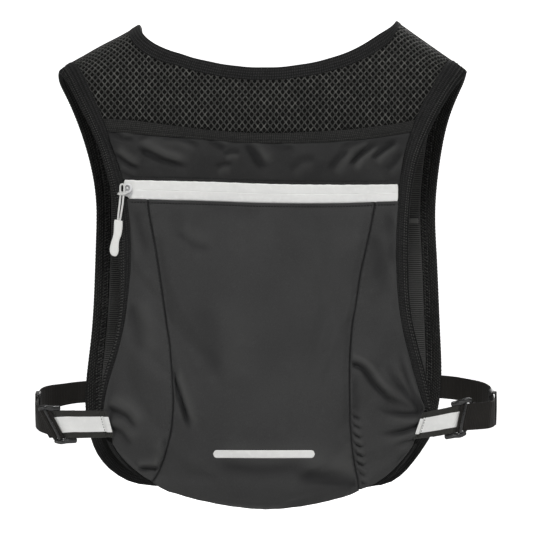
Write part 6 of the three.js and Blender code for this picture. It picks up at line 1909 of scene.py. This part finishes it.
class Strap:
    """One side strap: tab, webbing, ladder lock and tri-glide.

    lock: middle of the lock's first bar; lean: sideways lean of its bars; shear: how far its
    arms slope along the bars; turn_x: x of the straight run; front_z and turn_z: heights at
    the front and at the run; tab_top and tab_bottom: (x, z) of the tab's corners; tuck: how
    far its end reaches in and its change of height; lift: height added at the front; thin:
    share of the width kept there; glide_half: half thickness of the glide.
    """

    def __init__(self, tag, side, **sizes):
        self.tag, self.side = tag, side
        self.__dict__.update(sizes)
        bar = np.array([side * self.lean, 0, 1.0])
        self.bar = bar / np.linalg.norm(bar)
        self.out = np.array([side * self.bar[2], 0, -side * self.bar[0]]) + self.shear * self.bar
        self.back = np.array([0, -1.0, 0])
        self.half = WEB_HALF / self.bar[2]
        self.run_z = self.turn_z - 3.5
        self.build_tab()
        self.build_webbing()
        self.build_lock()
        self.build_glide()

    def at(self, out, back, along_bar=0.0):
        """A place in the lock's own directions."""
        return (np.array(self.lock, float) + out * self.out + back * self.back
                + along_bar * self.bar)

    def build_tab(self):
        """Sewn over the armhole edge, out to the lock's first bar, round it and back."""
        tag, side = self.tag, self.side
        (x0, z0), (x1, z1) = self.tab_top, self.tab_bottom
        top, bottom = np.array([x0, 0, z0]), np.array([x1, 0, z1])
        middle, corner_half = (top + bottom) / 2, (top - bottom) / 2
        inner = middle + np.array([-side * self.tuck[0], 0, self.tuck[1]])
        web = self.half * self.bar
        path, widths = [], []

        def add(point, width=web):
            path.append(point)
            widths.append(width)

        for f, y in ((0.0, -4.5), (0.35, -4.5), (0.7, -4.0), (1.0, -3.0)):
            p = inner + (middle - inner) * f
            add([p[0], y, p[2]], corner_half * 0.99)
        lock_end = self.at(-7.5, 1.9)
        for f in np.linspace(0.14, 1, 7):
            p = middle + (lock_end - middle) * f
            y = -3.0 + (lock_end[1] + 3.0) * float(smoothstep(0, 1, f))
            add([p[0], y, p[2]], corner_half * (1 - f) + web * f)
        front_count = len(path)
        for out, back in ((-4.6, 2.3), (-2.2, 2.85)):
            add(self.at(out, back))
        for th in np.linspace(0.15, np.pi - 0.15, 8):
            add(self.at(5.0 * math.sin(th), 3.0 * math.cos(th)))
        for out, back in ((-2.2, -2.5), (-5.0, -1.0), (-8.5, -0.3), (-13, -0.3)):
            add(self.at(out, back))
        path, widths = np.array(path), np.array(widths)
        L = lengths(path)
        attach(ribbon("tab_strap_" + tag, path, widths, 1.9, TAB_WEBBING, rib=1.7,
                      relief=0.07), "webbing", "side_tab_webbing_" + tag)
        # the silver strips lie on the side that faces away from the wearer
        faces_out = np.dot(np.cross(path[6] - path[4], widths[5]), self.back) > 0
        sign = 1.0 if faces_out else -1.0
        attach(ribbon("tab_silver_" + tag, path, widths, 0.55, FILM, step=0.7, edge=0.3,
                      shift=sign * 1.28, scale=0.56, start=0.3, stop=L[front_count + 6]),
               "reflective", "side_reflective_strip_" + tag)
        fold_end = L[3] + 1.5
        attach(ribbon("tab_fold_" + tag, path, widths, 0.9, FILM, step=0.5, edge=0.45,
                      shift=sign * 1.95, scale=0.58, stop=fold_end), "reflective")
        # stitches across the folded end
        idx = [float(np.interp(fold_end + 1.2, L, np.arange(len(path))))]
        centre, width = interpolate(path, idx, 0)[0], interpolate(widths, idx, 0)[0]
        u = np.arange(-0.9, 0.9, 0.2)[:, None]
        lifted = centre + self.back * np.where(np.abs(u) < 0.56, 1.62, 1.08)
        attach(capsules("tab_stitch_a_" + tag, lifted + u * width, lifted + (u + 0.12) * width,
                        np.tile(self.back, (len(u), 1)), 0.24, THREAD), "webbing")

    def build_webbing(self):
        """Tail, round the lock's second bar, along the side and on to the front panel."""
        tag, side, turn_x = self.tag, self.side, self.turn_x
        web, upright = self.half * self.bar, WEB_HALF * UP
        path, widths = [], []

        def add(point, width):
            path.append(point)
            widths.append(width)

        for out, back in ((19.0, -4.0), (15.5, -3.9), (12.0, -3.5), (9.8, -3.0)):
            add(self.at(out, back), web * 0.97)
        for th in np.linspace(np.pi - 0.35, 0.35, 7):
            add(self.at(9.5 - 3.05 * math.sin(th), -0.2 + 2.55 * math.cos(th)), web)
        add(self.at(11.2, 2.6), web * 0.97)
        leave = self.at(14.0, 2.5)
        add(leave, web * 0.98)
        for f, inset, y in ((0.35, 7.6, 3.6), (0.62, 2.6, 7.6), (0.85, 0.5, 13.2),
                            (0.97, 0, 18.6)):
            add([side * (turn_x - inset), y, leave[2] + (self.run_z - leave[2]) * f],
                web * 0.98 * (1 - f) + upright * f)
        for y in np.linspace(RUN_Y0, RUN_Y1, 8):
            rise = RUN_RISE * (y - RUN_Y0) / (RUN_Y1 - RUN_Y0)
            add([side * turn_x, y, self.run_z + rise], upright)
        tail = [(turn_x - inset, y) for inset, y in ((0, RUN_Y1), (1.2, 67.8), (5, 73.8),
                                                     (11, 78.3), (20, 81.4), (32, 84.4))]
        tail += [(x, DEPTH - float(curl(x)) + 5.6) for x in (159, 152, 144, 136)]
        L = lengths(np.array(tail))
        run_end_z = self.run_z + RUN_RISE
        for (x, y), distance in zip(tail[1:], L[1:]):
            u = min(1.0, distance / L[-1])
            climb = (self.front_z + self.lift - run_end_z) * (1 - (1 - u) ** 2.6)
            add([side * x, y, run_end_z + climb],
                upright * (1 - (1 - self.thin) * float(smoothstep(0.05, 0.45, u))))
        main = ribbon("side_webbing_" + tag, np.array(path), np.array(widths), 1.55, WEBBING,
                      rib=2.5, relief=0.09)
        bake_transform(main)
        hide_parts("lock_webbing_" + tag, "side_strap_webbing_" + tag)
        # close stitches where the webbing meets the front panel
        end_x = 139.5
        end = np.array([side * end_x, DEPTH - float(curl(end_x)) + 6.6, self.front_z])
        A = end + np.arange(-9.5, 9.6, 0.9)[:, None] * UP
        attach(capsules("front_bartack_" + tag, A - np.array([side * 1.6, -0.12, 0]),
                        A + np.array([side * 1.6, 0.12, 0.25]),
                        np.tile([[0, 1.0, 0]], (len(A), 1)), 0.3, THREAD), "webbing")

    def build_lock(self):
        """Two arms, two round bars, a bowed front bar and a toothed lip behind it."""
        half, parts = self.half, []
        out = np.linspace(-2.7, 15.6, 22)
        for end in (1, -1):
            # the arms are deep in the middle and thinner at both ends
            bar = end * (half + 2.2 + 1.1 * bell(out, 10.5, 3.6)
                         - 0.5 * smoothstep(11, 15.6, out))
            back = 0.35 + 1.0 * bell(out, 9.5, 4.5)
            parts.append(sweep([self.at(*k) for k in zip(out, back, bar)],
                               2.3 + 0.35 * bell(out, 3, 5.0), 1.75 + 1.5 * bell(out, 9.5, 4.2),
                               self.back, 20, 0.55, ends=1.6))
        for o, b, r in ((0, 0, 1.6), (9.5, -0.2, 1.5)):
            parts.append(sweep([self.at(o, b, c)
                                for c in np.linspace(-half - 1.5, half + 1.5, 14)],
                               r, r, self.back, 18, ends=0.5))
        places_on_bar = [(c, math.cos(c / half * 1.5))
                         for c in np.linspace(-half - 1.2, half + 1.2, 18)]
        parts.append(sweep([self.at(10.4 - 0.25 * bow, 4.5 + 0.4 * bow, c)
                            for c, bow in places_on_bar], 1.25, 0.95, self.back, 20, 0.9,
                           ends=0.6))
        parts.append(sweep([self.at(14.9, -1.15 - 0.2 * bow, c) for c, bow in places_on_bar],
                           1.2, 0.8, self.back, 20, 0.6, ends=0.6))
        teeth = [self.at(14.4, -2.0, c) for c in np.arange(-half + 2, half - 1.5, 2.2)]
        parts.append(copies(*template(0.5, 0.55, 0.45, 0.18), teeth,
                            self.out / np.linalg.norm(self.out), self.bar, self.back))
        attach(make("lock_" + self.tag, *merged(parts), PLASTIC), "plastic",
               "ladder_lock_" + self.tag, body="ladder_lock_" + self.tag)

    def build_glide(self):
        """Tri-glide round the straight run: two arms, three outer bars and two inner ones."""
        slope = math.atan(RUN_RISE / (RUN_Y1 - RUN_Y0))
        rise = RUN_RISE * (GLIDE_Y - RUN_Y0) / (RUN_Y1 - RUN_Y0)
        origin = np.array([self.side * self.turn_x, GLIDE_Y, self.run_z + rise])
        out = np.array([self.side, 0, 0.0])
        run = np.array([0, math.cos(slope), math.sin(slope)])
        across = np.array([0, -math.sin(slope), math.cos(slope)])
        half = WEB_HALF / math.cos(slope) + 0.5
        thick = self.glide_half
        parts = []

        def bar(path, *sizes, **options):
            points = [origin + p * out + q * run + r * across for p, q, r in path]
            parts.append(sweep(points, *sizes[:2], out, *sizes[2:], **options))

        for end in (1, -1):
            bar([(0.25, k, end * (half + 1.55 - 0.25 * (k / 6.3) ** 2))
                 for k in np.linspace(-6.3, 6.3, 14)], 1.4, thick, 20, 0.6, ends=1.2)
        rs = np.linspace(-half - 1.3, half + 1.3, 16)
        for k, width in ((-5.0, 1.25), (0.0, 1.2), (5.0, 1.25)):
            bar([(thick - 0.5 + 0.25 * math.cos(r / half * 1.5), k, r) for r in rs],
                width, 0.7, 18, 0.75, ends=0.5)
        for k in (-4.6, 4.6):
            bar([(0.55 - thick, k, r) for r in rs], 1.5, 0.6, 18, 0.7, ends=0.5)
        attach(make("glide_" + self.tag, *merged(parts), PLASTIC), "plastic",
               "tri_glide_" + self.tag, body="tri_glide_" + self.tag)


Strap("left", -1, lock=(-179, 4.2, -121.2), lean=0.52, turn_x=206, front_z=-96, turn_z=-109,
      tab_top=(-145.6, -108.4), tab_bottom=(-139.2, -132.6), tuck=(4.4, -0.5), shear=0.50,
      lift=2.2, thin=0.80, glide_half=2.3)
Strap("right", 1, lock=(168.5, 4.2, -117.4), lean=0.2, turn_x=208.5, front_z=-92, turn_z=-107,
      tab_top=(144.6, -109.8), tab_bottom=(136.4, -134.0), tuck=(2.4, -0.8), shear=0.42,
      lift=2.9, thin=0.86, glide_half=3.3)

# ---------------------------------------------------------------- back zip's slider and pull
BACK_AXES = ((1, 0, 0), (0, 0, 1), (0, -1, 0))   # x, up, away from the wearer
SLIDER_AT = np.array([-122.3, 0, 89.6])
RING_X, RING_Z = -122.67, 91.53
circle = turns(64)


def back_slider():
    """A shield-shaped top plate with a crown, a small lower plate and a post."""
    x, y = rounded(circle, 0.75, 0.8)
    shield = np.stack([4.3 * x * (1 - 0.12 * np.sin(circle)), 5.6 * y], 1)
    parts = [turned(plate(shield, 4.25, 5.65, 0.5, crown=0.35), SLIDER_AT, *BACK_AXES),
             turned(plate(shield * 0.8, 1.7, 2.2, 0.2), SLIDER_AT + np.array([2.2, 0, 0]),
                    *BACK_AXES),
             turned(template(0.4, 0.35, 1.3, 0.1), SLIDER_AT + np.array([0, -3.2, 0]),
                    *BACK_AXES)]
    attach(make("slider_base", *merged(parts), SLIDER_BODY), "zipmetal", "back_zip_slider",
           body="back_zip_slider")


def slider_ring():
    """An open C with a pin in its middle, and two posts that join it to the plate."""
    a = np.radians(np.linspace(-128, 168, 40))
    ring = np.stack([RING_X + 3.15 * np.cos(a), -7.0 - 0.7 * np.cos(a * 0.5),
                     RING_Z + 3.55 * np.sin(a)], 1)
    parts = [sweep(ring, 0.78 + 0.18 * np.cos(a), 0.7, BACKWARD, 16, 0.8, ends=0.6)]
    pin = 1.15 * np.stack([np.cos(circle), np.sin(circle)], 1)
    parts.append(turned(plate(pin, 5.2, 7.3, 0.5, crown=0.25),
                        (RING_X - 0.3, 0, RING_Z + 0.1), *BACK_AXES))
    for post in (((2.9, -5.2, 1.6), (3.1, -6.4, 1.4), (3.1, -7.2, 1.2)),
                 ((2.7, -5.2, -2.0), (2.9, -6.4, -1.9), (2.8, -7.2, -1.8))):
        parts.append(sweep([(RING_X + x, y, RING_Z + z) for x, y, z in post], 0.8, 0.8,
                           (1, 0, 0), 12, 0.8))
    attach(make("slider_ring", *merged(parts), METAL), "zipmetal", body="back_zip_slider")


back_slider()
slider_ring()


def twist(path, r, n=90, pitch=2.6):
    """A cord with a visible lay: its surface rises and falls in a helix."""
    sides = 14
    P = smooth_curve(even(np.asarray(path, float), n), 3)
    L = lengths(P)
    V, F = sweep(P, 1.0, 1.0, (0.31, -1, 0.17), sides)
    V = V.reshape(n + 1, sides, 3)
    c = V.mean(1, keepdims=True)
    phase = TAU * (L[:, None] / pitch) + turns(sides)[None] * 2
    radius = r + 0.11 * np.abs(np.sin(phase))
    e = np.minimum(L, L[-1] - L)
    radius *= np.sqrt(np.clip(1 - np.clip(1 - e / r, 0, 1) ** 2, 0.05, 1))[:, None]
    return (c + (V - c) * radius[..., None]).reshape(-1, 3), F


# middles of the cords, (x, y, z)
CORD_RADIUS = 0.78
CORD_LOOP = [
    (-128.79, -8.9, 86.76), (-129.15, -8.6, 89.55), (-129.15, -8.1, 92.7), (-128.7, -7.7, 94.5),
    (-127.35, -7.5, 95.31), (-126, -7.7, 94.5), (-125.46, -8.1, 92.7), (-125.64, -8.6, 89.55),
    (-125.82, -8.9, 86.76)]
CORD_STRANDS = [
    [(-128.79, -8.9, 87.48), (-128.97, -9.1, 83.7), (-129.69, -8.9, 77.4),
     (-130.68, -8.5, 69.3), (-131.49, -8.2, 61.02)],
    [(-126.09, -8.9, 87.48), (-126.27, -9.1, 83.7), (-126.9, -8.9, 77.4),
     (-128.16, -8.5, 69.3), (-129.69, -8.2, 61.02)]]
KNOT_FRONT = [
    (-131.4, -8.9, 86.67), (-129.96, -10.0, 86.13), (-127.44, -10.5, 85.95),
    (-124.92, -10.0, 86.4), (-123.3, -8.9, 87.66), (-122.67, -8.0, 88.92)]
KNOT_BEHIND = [(-130.5, -8.3, 87.3), (-128.7, -7.7, 87.66), (-126.36, -7.7, 87.48),
               (-124.74, -8.3, 87.12)]
attach(make("cord_loop", *twist(CORD_LOOP, CORD_RADIUS), CORD), "cord", body="back_zip_slider")
cord_parts = [twist(strand, CORD_RADIUS) for strand in CORD_STRANDS]
cord_parts += [twist(KNOT_FRONT, 0.95, 60, 2.2), twist(KNOT_BEHIND, 0.85, 40, 2.2)]
attach(make("pull_cord", *merged(cord_parts), CORD), "cord", "back_pull_cord",
       body="back_pull_cord")

# the grip's outline from the top down: (z, left x, right x)
GRIP = np.array([
    (62.82, -133.74, -127.62), (62.55, -134.19, -127.26), (61.92, -134.55, -126.99),
    (60.3, -134.685, -126.945), (57.6, -134.82, -126.99), (54.9, -134.91, -127.17),
    (52.2, -135.045, -127.62), (49.5, -135.36, -128.25), (46.8, -135.99, -129.24),
    (44.1, -136.8, -129.96), (41.4, -137.655, -130.275), (38.7, -138.33, -130.365),
    (36, -138.645, -130.41), (34.2, -138.33, -130.545), (32.76, -137.61, -130.815),
    (31.68, -136.71, -131.31), (30.87, -135.72, -132.12), (30.33, -134.82, -133.02)])
GRIP_TOP_Z, GRIP_Y = 63.0, -8.2
# (distance below GRIP_TOP_Z, half depth)
GRIP_DEPTH = np.array([
    (0.18, 1.1), (0.54, 1.5), (1.08, 1.8), (10.8, 1.8), (18, 1.55), (27, 1.95), (30.6, 1.8),
    (31.95, 1.3), (32.76, 0.8)])


def pull_grip():
    """Moulded grip: a raised rim round a shallow flat, and ridges low down."""
    rings, sides = 90, 32
    z, left, right = interpolate(GRIP, np.linspace(0, len(GRIP) - 1, rings), 0).T
    depth = np.interp(GRIP_TOP_Z - z, GRIP_DEPTH[:, 0], GRIP_DEPTH[:, 1])
    middle, half = (left + right) / 2, (right - left) / 2
    V, F = sweep(np.stack([middle, np.full(rings, GRIP_Y), z], 1), half, depth, BACKWARD,
                 sides, 0.62)
    V = V.reshape(rings, sides, 3)
    out = np.abs((V[..., 0] - middle[:, None]) / np.maximum(half, 0.1)[:, None])
    d = z[0] - z
    dish = (0.28 * smoothstep(0.78, 0.6, out) * smoothstep(1.0, 2.4, d)[:, None]
            * smoothstep(32.0, 30.0, d)[:, None])
    ridge = (0.22 * np.clip(np.sin(TAU * d / 2.1), 0, 1)[:, None]
             * smoothstep(15, 17, d)[:, None] * smoothstep(29.5, 27.5, d)[:, None]
             * smoothstep(0.7, 0.5, out))
    outer_face = np.sin(turns(sides)) > 0.55
    V[..., 1] += np.where(outer_face[None], dish - ridge, 0)
    attach(make("pull_grip", V.reshape(-1, 3), F, RUBBER), "rubber", "back_pull_grip",
           body="back_pull_grip")


pull_grip()

# ---------------------------------------------------------------- sliders and pulls on the front
FRONT_AXES = ((-1, 0, 0), (0, 0, 1), (0, 1, 0))


def front_slider(name, node, origin, half_x, half_z, top, lower, post_x, post_z, post_y, bar):
    """Two plates and a neck, with two posts and a bar that holds the pull.
    top and lower are the y of each plate's faces, and bar is (y, z)."""
    o = np.array(origin, float)
    x, y = rounded(circle, 0.6)
    shield = np.stack([half_x * x * (0.86 + 0.14 * np.sin(circle)), half_z * y], 1)
    parts = [turned(plate(shield, *top, 0.45, crown=0.3), o, *FRONT_AXES),
             turned(plate(shield * 0.82, *lower, 0.2), o, *FRONT_AXES)]
    foot = top[1] - 0.8
    for end in (-1, 1):
        v, f = template(0.5, (post_y - foot) / 2, (post_z[1] - post_z[0]) / 2, 0.32, 3)
        middle = [end * post_x, (post_y + foot) / 2 + 0.2, (post_z[0] + post_z[1]) / 2]
        parts.append((v + o + np.array(middle), f))
    parts.append(sweep([o + np.array([x, *bar]) for x in np.linspace(-post_x, post_x, 6)],
                       0.45, 0.45, FORWARD, 12))
    v, f = template(0.3, 0.9, 0.7, 0.12)
    parts.append((v + o + np.array([0, (top[0] + lower[1]) / 2, half_z * 0.55]), f))
    attach(make(name, *merged(parts), METAL), "zipmetal", node, body=node)


def front_pull(name, node, origin, ring_y, ring_z, end_z, tab_y, half):
    """A ring round the slider's bar, and a ridged tab that hangs from it."""
    o = np.array(origin, float)
    t = turns(28)
    ring = np.stack([np.zeros(28), ring_y + 1.75 * np.cos(t), ring_z + 1.75 * np.sin(t)], 1)
    parts = [sweep(ring + o, 0.58, 0.58, (1, 0, 0), 14, closed=True)]
    n, sides = 60, 24
    z = np.linspace(ring_z - 1.6, end_z, n)
    d = (ring_z - 1.6) - z
    total = d[-1]
    w = 0.75 + (half - 0.75) * smoothstep(1.6, 5.2, d) * (1 - 0.18 * bell(d, total * 0.55, 4.5))
    w = w * np.sqrt(np.clip(1 - np.clip((d - (total - half)) / half, 0, 1) ** 2, 0.02, 1))
    thick = ((0.55 + 0.35 * smoothstep(2, 6, d))
             * np.sqrt(np.clip(1 - np.clip((d - (total - 1.2)) / 1.2, 0, 1) ** 2, 0.04, 1)))
    V, F = sweep(np.stack([np.zeros(n), np.full(n, tab_y), z], 1) + o, w, thick, FORWARD,
                 sides, 0.6)
    V = V.reshape(n, sides, 3)
    ridge = (0.2 * np.clip(np.sin(TAU * d / 2.2), 0, 1) * smoothstep(8, 10, d)
             * smoothstep(total - 3, total - 5, d))
    out = np.abs(V[..., 0] - o[0]) / np.maximum(w, 0.1)[:, None]
    V[..., 1] += np.where((V[..., 1] - o[1]) > tab_y,
                          ridge[:, None] * smoothstep(0.8, 0.55, out), 0)
    parts.append((V.reshape(-1, 3), F))
    attach(make(name, *merged(parts), RUBBER), "rubber", node, body=node)


centre_at = (0, DEPTH, 94.134)
front_slider("front_slider", "front_zip_slider", centre_at, half_x=5.1, half_z=6.0,
             top=(3.5, 4.8), lower=(0.45, 1.3), post_x=1.9, post_z=(-3.1, 3.1), post_y=7.8,
             bar=(7.5, 0))
front_pull("front_puller", "front_zip_pull", centre_at, ring_y=7.5, ring_z=0, end_z=-34,
           tab_y=(6.7 + 8.3) / 2 if False else 1.05, half=3.2) if False else \
    front_pull("front_puller", "front_zip_pull", centre_at, ring_y=7.5, ring_z=0, end_z=-34,
               tab_y=7.5, half=3.2)
for tag, side in SIDES:
    chest_at = (side * 112, DEPTH, CHEST_ZIP_Z)
    front_slider("chest_slider_" + tag, "chest_zip_slider_" + tag, chest_at, half_x=4.9,
                 half_z=5.0, top=(5.4, 6.6), lower=(3.42, 3.85), post_x=2.7,
                 post_z=(-2.1, 1.6), post_y=9.7, bar=(9.4, -1.7))
    front_pull("chest_puller_" + tag, "chest_pull_" + tag, chest_at, ring_y=9.4, ring_z=-1.7,
               end_z=-26, tab_y=9.4, half=2.6)

# ---------------------------------------------------------------- camera, light and floor, in m
camera_data = bpy.data.cameras.new("camera")
camera = bpy.data.objects.new("camera", camera_data)
SCENE.collection.objects.link(camera)
camera.location = (0.00225, -3.0, 0.02115)
camera.rotation_euler = (math.pi / 2, 0, 0)
camera_data.lens, camera_data.sensor_width = 225.0, 36.0
camera_data.clip_start, camera_data.clip_end = 0.05, 50
SCENE.camera = camera


def area_light(name, location, target, size, power, size_y=None):
    data = bpy.data.lights.new(name, "AREA")
    data.shape = "RECTANGLE"
    data.size, data.size_y = size, size_y or size
    data.energy = power
    data.color = (1, 1, 1)
    ob = bpy.data.objects.new(name, data)
    SCENE.collection.objects.link(ob)
    ob.location = location
    ob.rotation_euler = (Vector(target) - Vector(location)).to_track_quat("-Z", "Y").to_euler()


area_light("key", (0.1, -1.8, 1.7), (0, 0, 0), size=0.5, power=30.5)
area_light("fill", (1.6, -2.2, 0.5), (0, 0, 0), size=1.0, power=3.5)
area_light("top", (0.2, 0.9, 2.0), (0, 0.04, 0.1), size=1.0, power=8)
area_light("low", (-1.2, -1.2, -0.22), (0, 0, 0.0), size=1.0, power=2.0, size_y=0.3)
area_light("front", (0.8, 2.4, 1.0), (0, 0.05, 0), size=1.0, power=14)


def studio_world():
    """White to the camera, and dim as a light."""
    world = bpy.data.worlds.new("studio")
    SCENE.world = world
    world.use_nodes = True
    tree = world.node_tree
    background = tree.nodes["Background"]
    background.inputs[0].default_value = (1, 1, 1, 1)
    path = tree.nodes.new("ShaderNodeLightPath")
    strength = tree.nodes.new("ShaderNodeMapRange")
    strength.inputs["To Min"].default_value = 0.14
    strength.inputs["To Max"].default_value = 1.0
    tree.links.new(path.outputs["Is Camera Ray"], strength.inputs["Value"])
    tree.links.new(strength.outputs[0], background.inputs[1])


def floor_material():
    m = Shader("pale_floor", (250, 250, 249), rough=0.9)
    m.tint(m.noise(1.5), (244, 244, 243), low=0.4, high=0.8, amount=0.5)
    m.shader.inputs["Emission Color"].default_value = (1, 1, 1, 1)
    path = m.node("LightPath")
    # glows for the camera, and little for the vest
    glow = m.remap(path.outputs["Is Camera Ray"], 0, 1, to_low=0.10, to_high=0.95)
    m.link(glow, m.shader.inputs["Emission Strength"])
    return m.end()


def studio_floor():
    """A pale floor that curves up into a wall at +Y."""
    half_width, floor_z, bend_y, bend_radius = 6, -0.30, 4.1, 0.9
    profile = [(-6.0, floor_z), (bend_y, floor_z)]
    profile += [(bend_y + bend_radius * math.sin(a), floor_z + bend_radius * (1 - math.cos(a)))
                for a in np.linspace(0.12, math.pi / 2, 12)]
    profile.append((bend_y + bend_radius, 6.0))
    verts = [(x, y, z) for y, z in profile for x in (-half_width, half_width)]
    faces = [(k - 2, k - 1, k + 1, k) for k in range(2, len(verts), 2)]
    me = bpy.data.meshes.new("studio_floor")
    me.from_pydata(verts, [], faces)
    for p in me.polygons:
        p.use_smooth = True
    floor = bpy.data.objects.new("studio_floor", me)
    SCENE.collection.objects.link(floor)
    me.materials.append(floor_material())


studio_world()
studio_floor()
SCENE.view_settings.view_transform = "Standard"
SCENE.view_settings.look = "None"

# every node of the frame that is still shown gets a material of the same family
FAMILY = {
    "lining": LINING, "mesh": NET_YARN, "fabric": POCKET_CLOTH, "binding": BINDING,
    "reflective": FILM, "coil": TEETH, "elastic": ELASTIC, "webbing": WEBBING,
    "plastic": PLASTIC, "zipmetal": METAL, "rubber": RUBBER, "cord": CORD}
slot_of = {s["node"]: s["material_slot"] for s in frame["record"]["subparts"]}
for node, ob in frame["nodes"].items():
    ob.data.materials.clear()
    ob.data.materials.append(FAMILY[slot_of[node]])
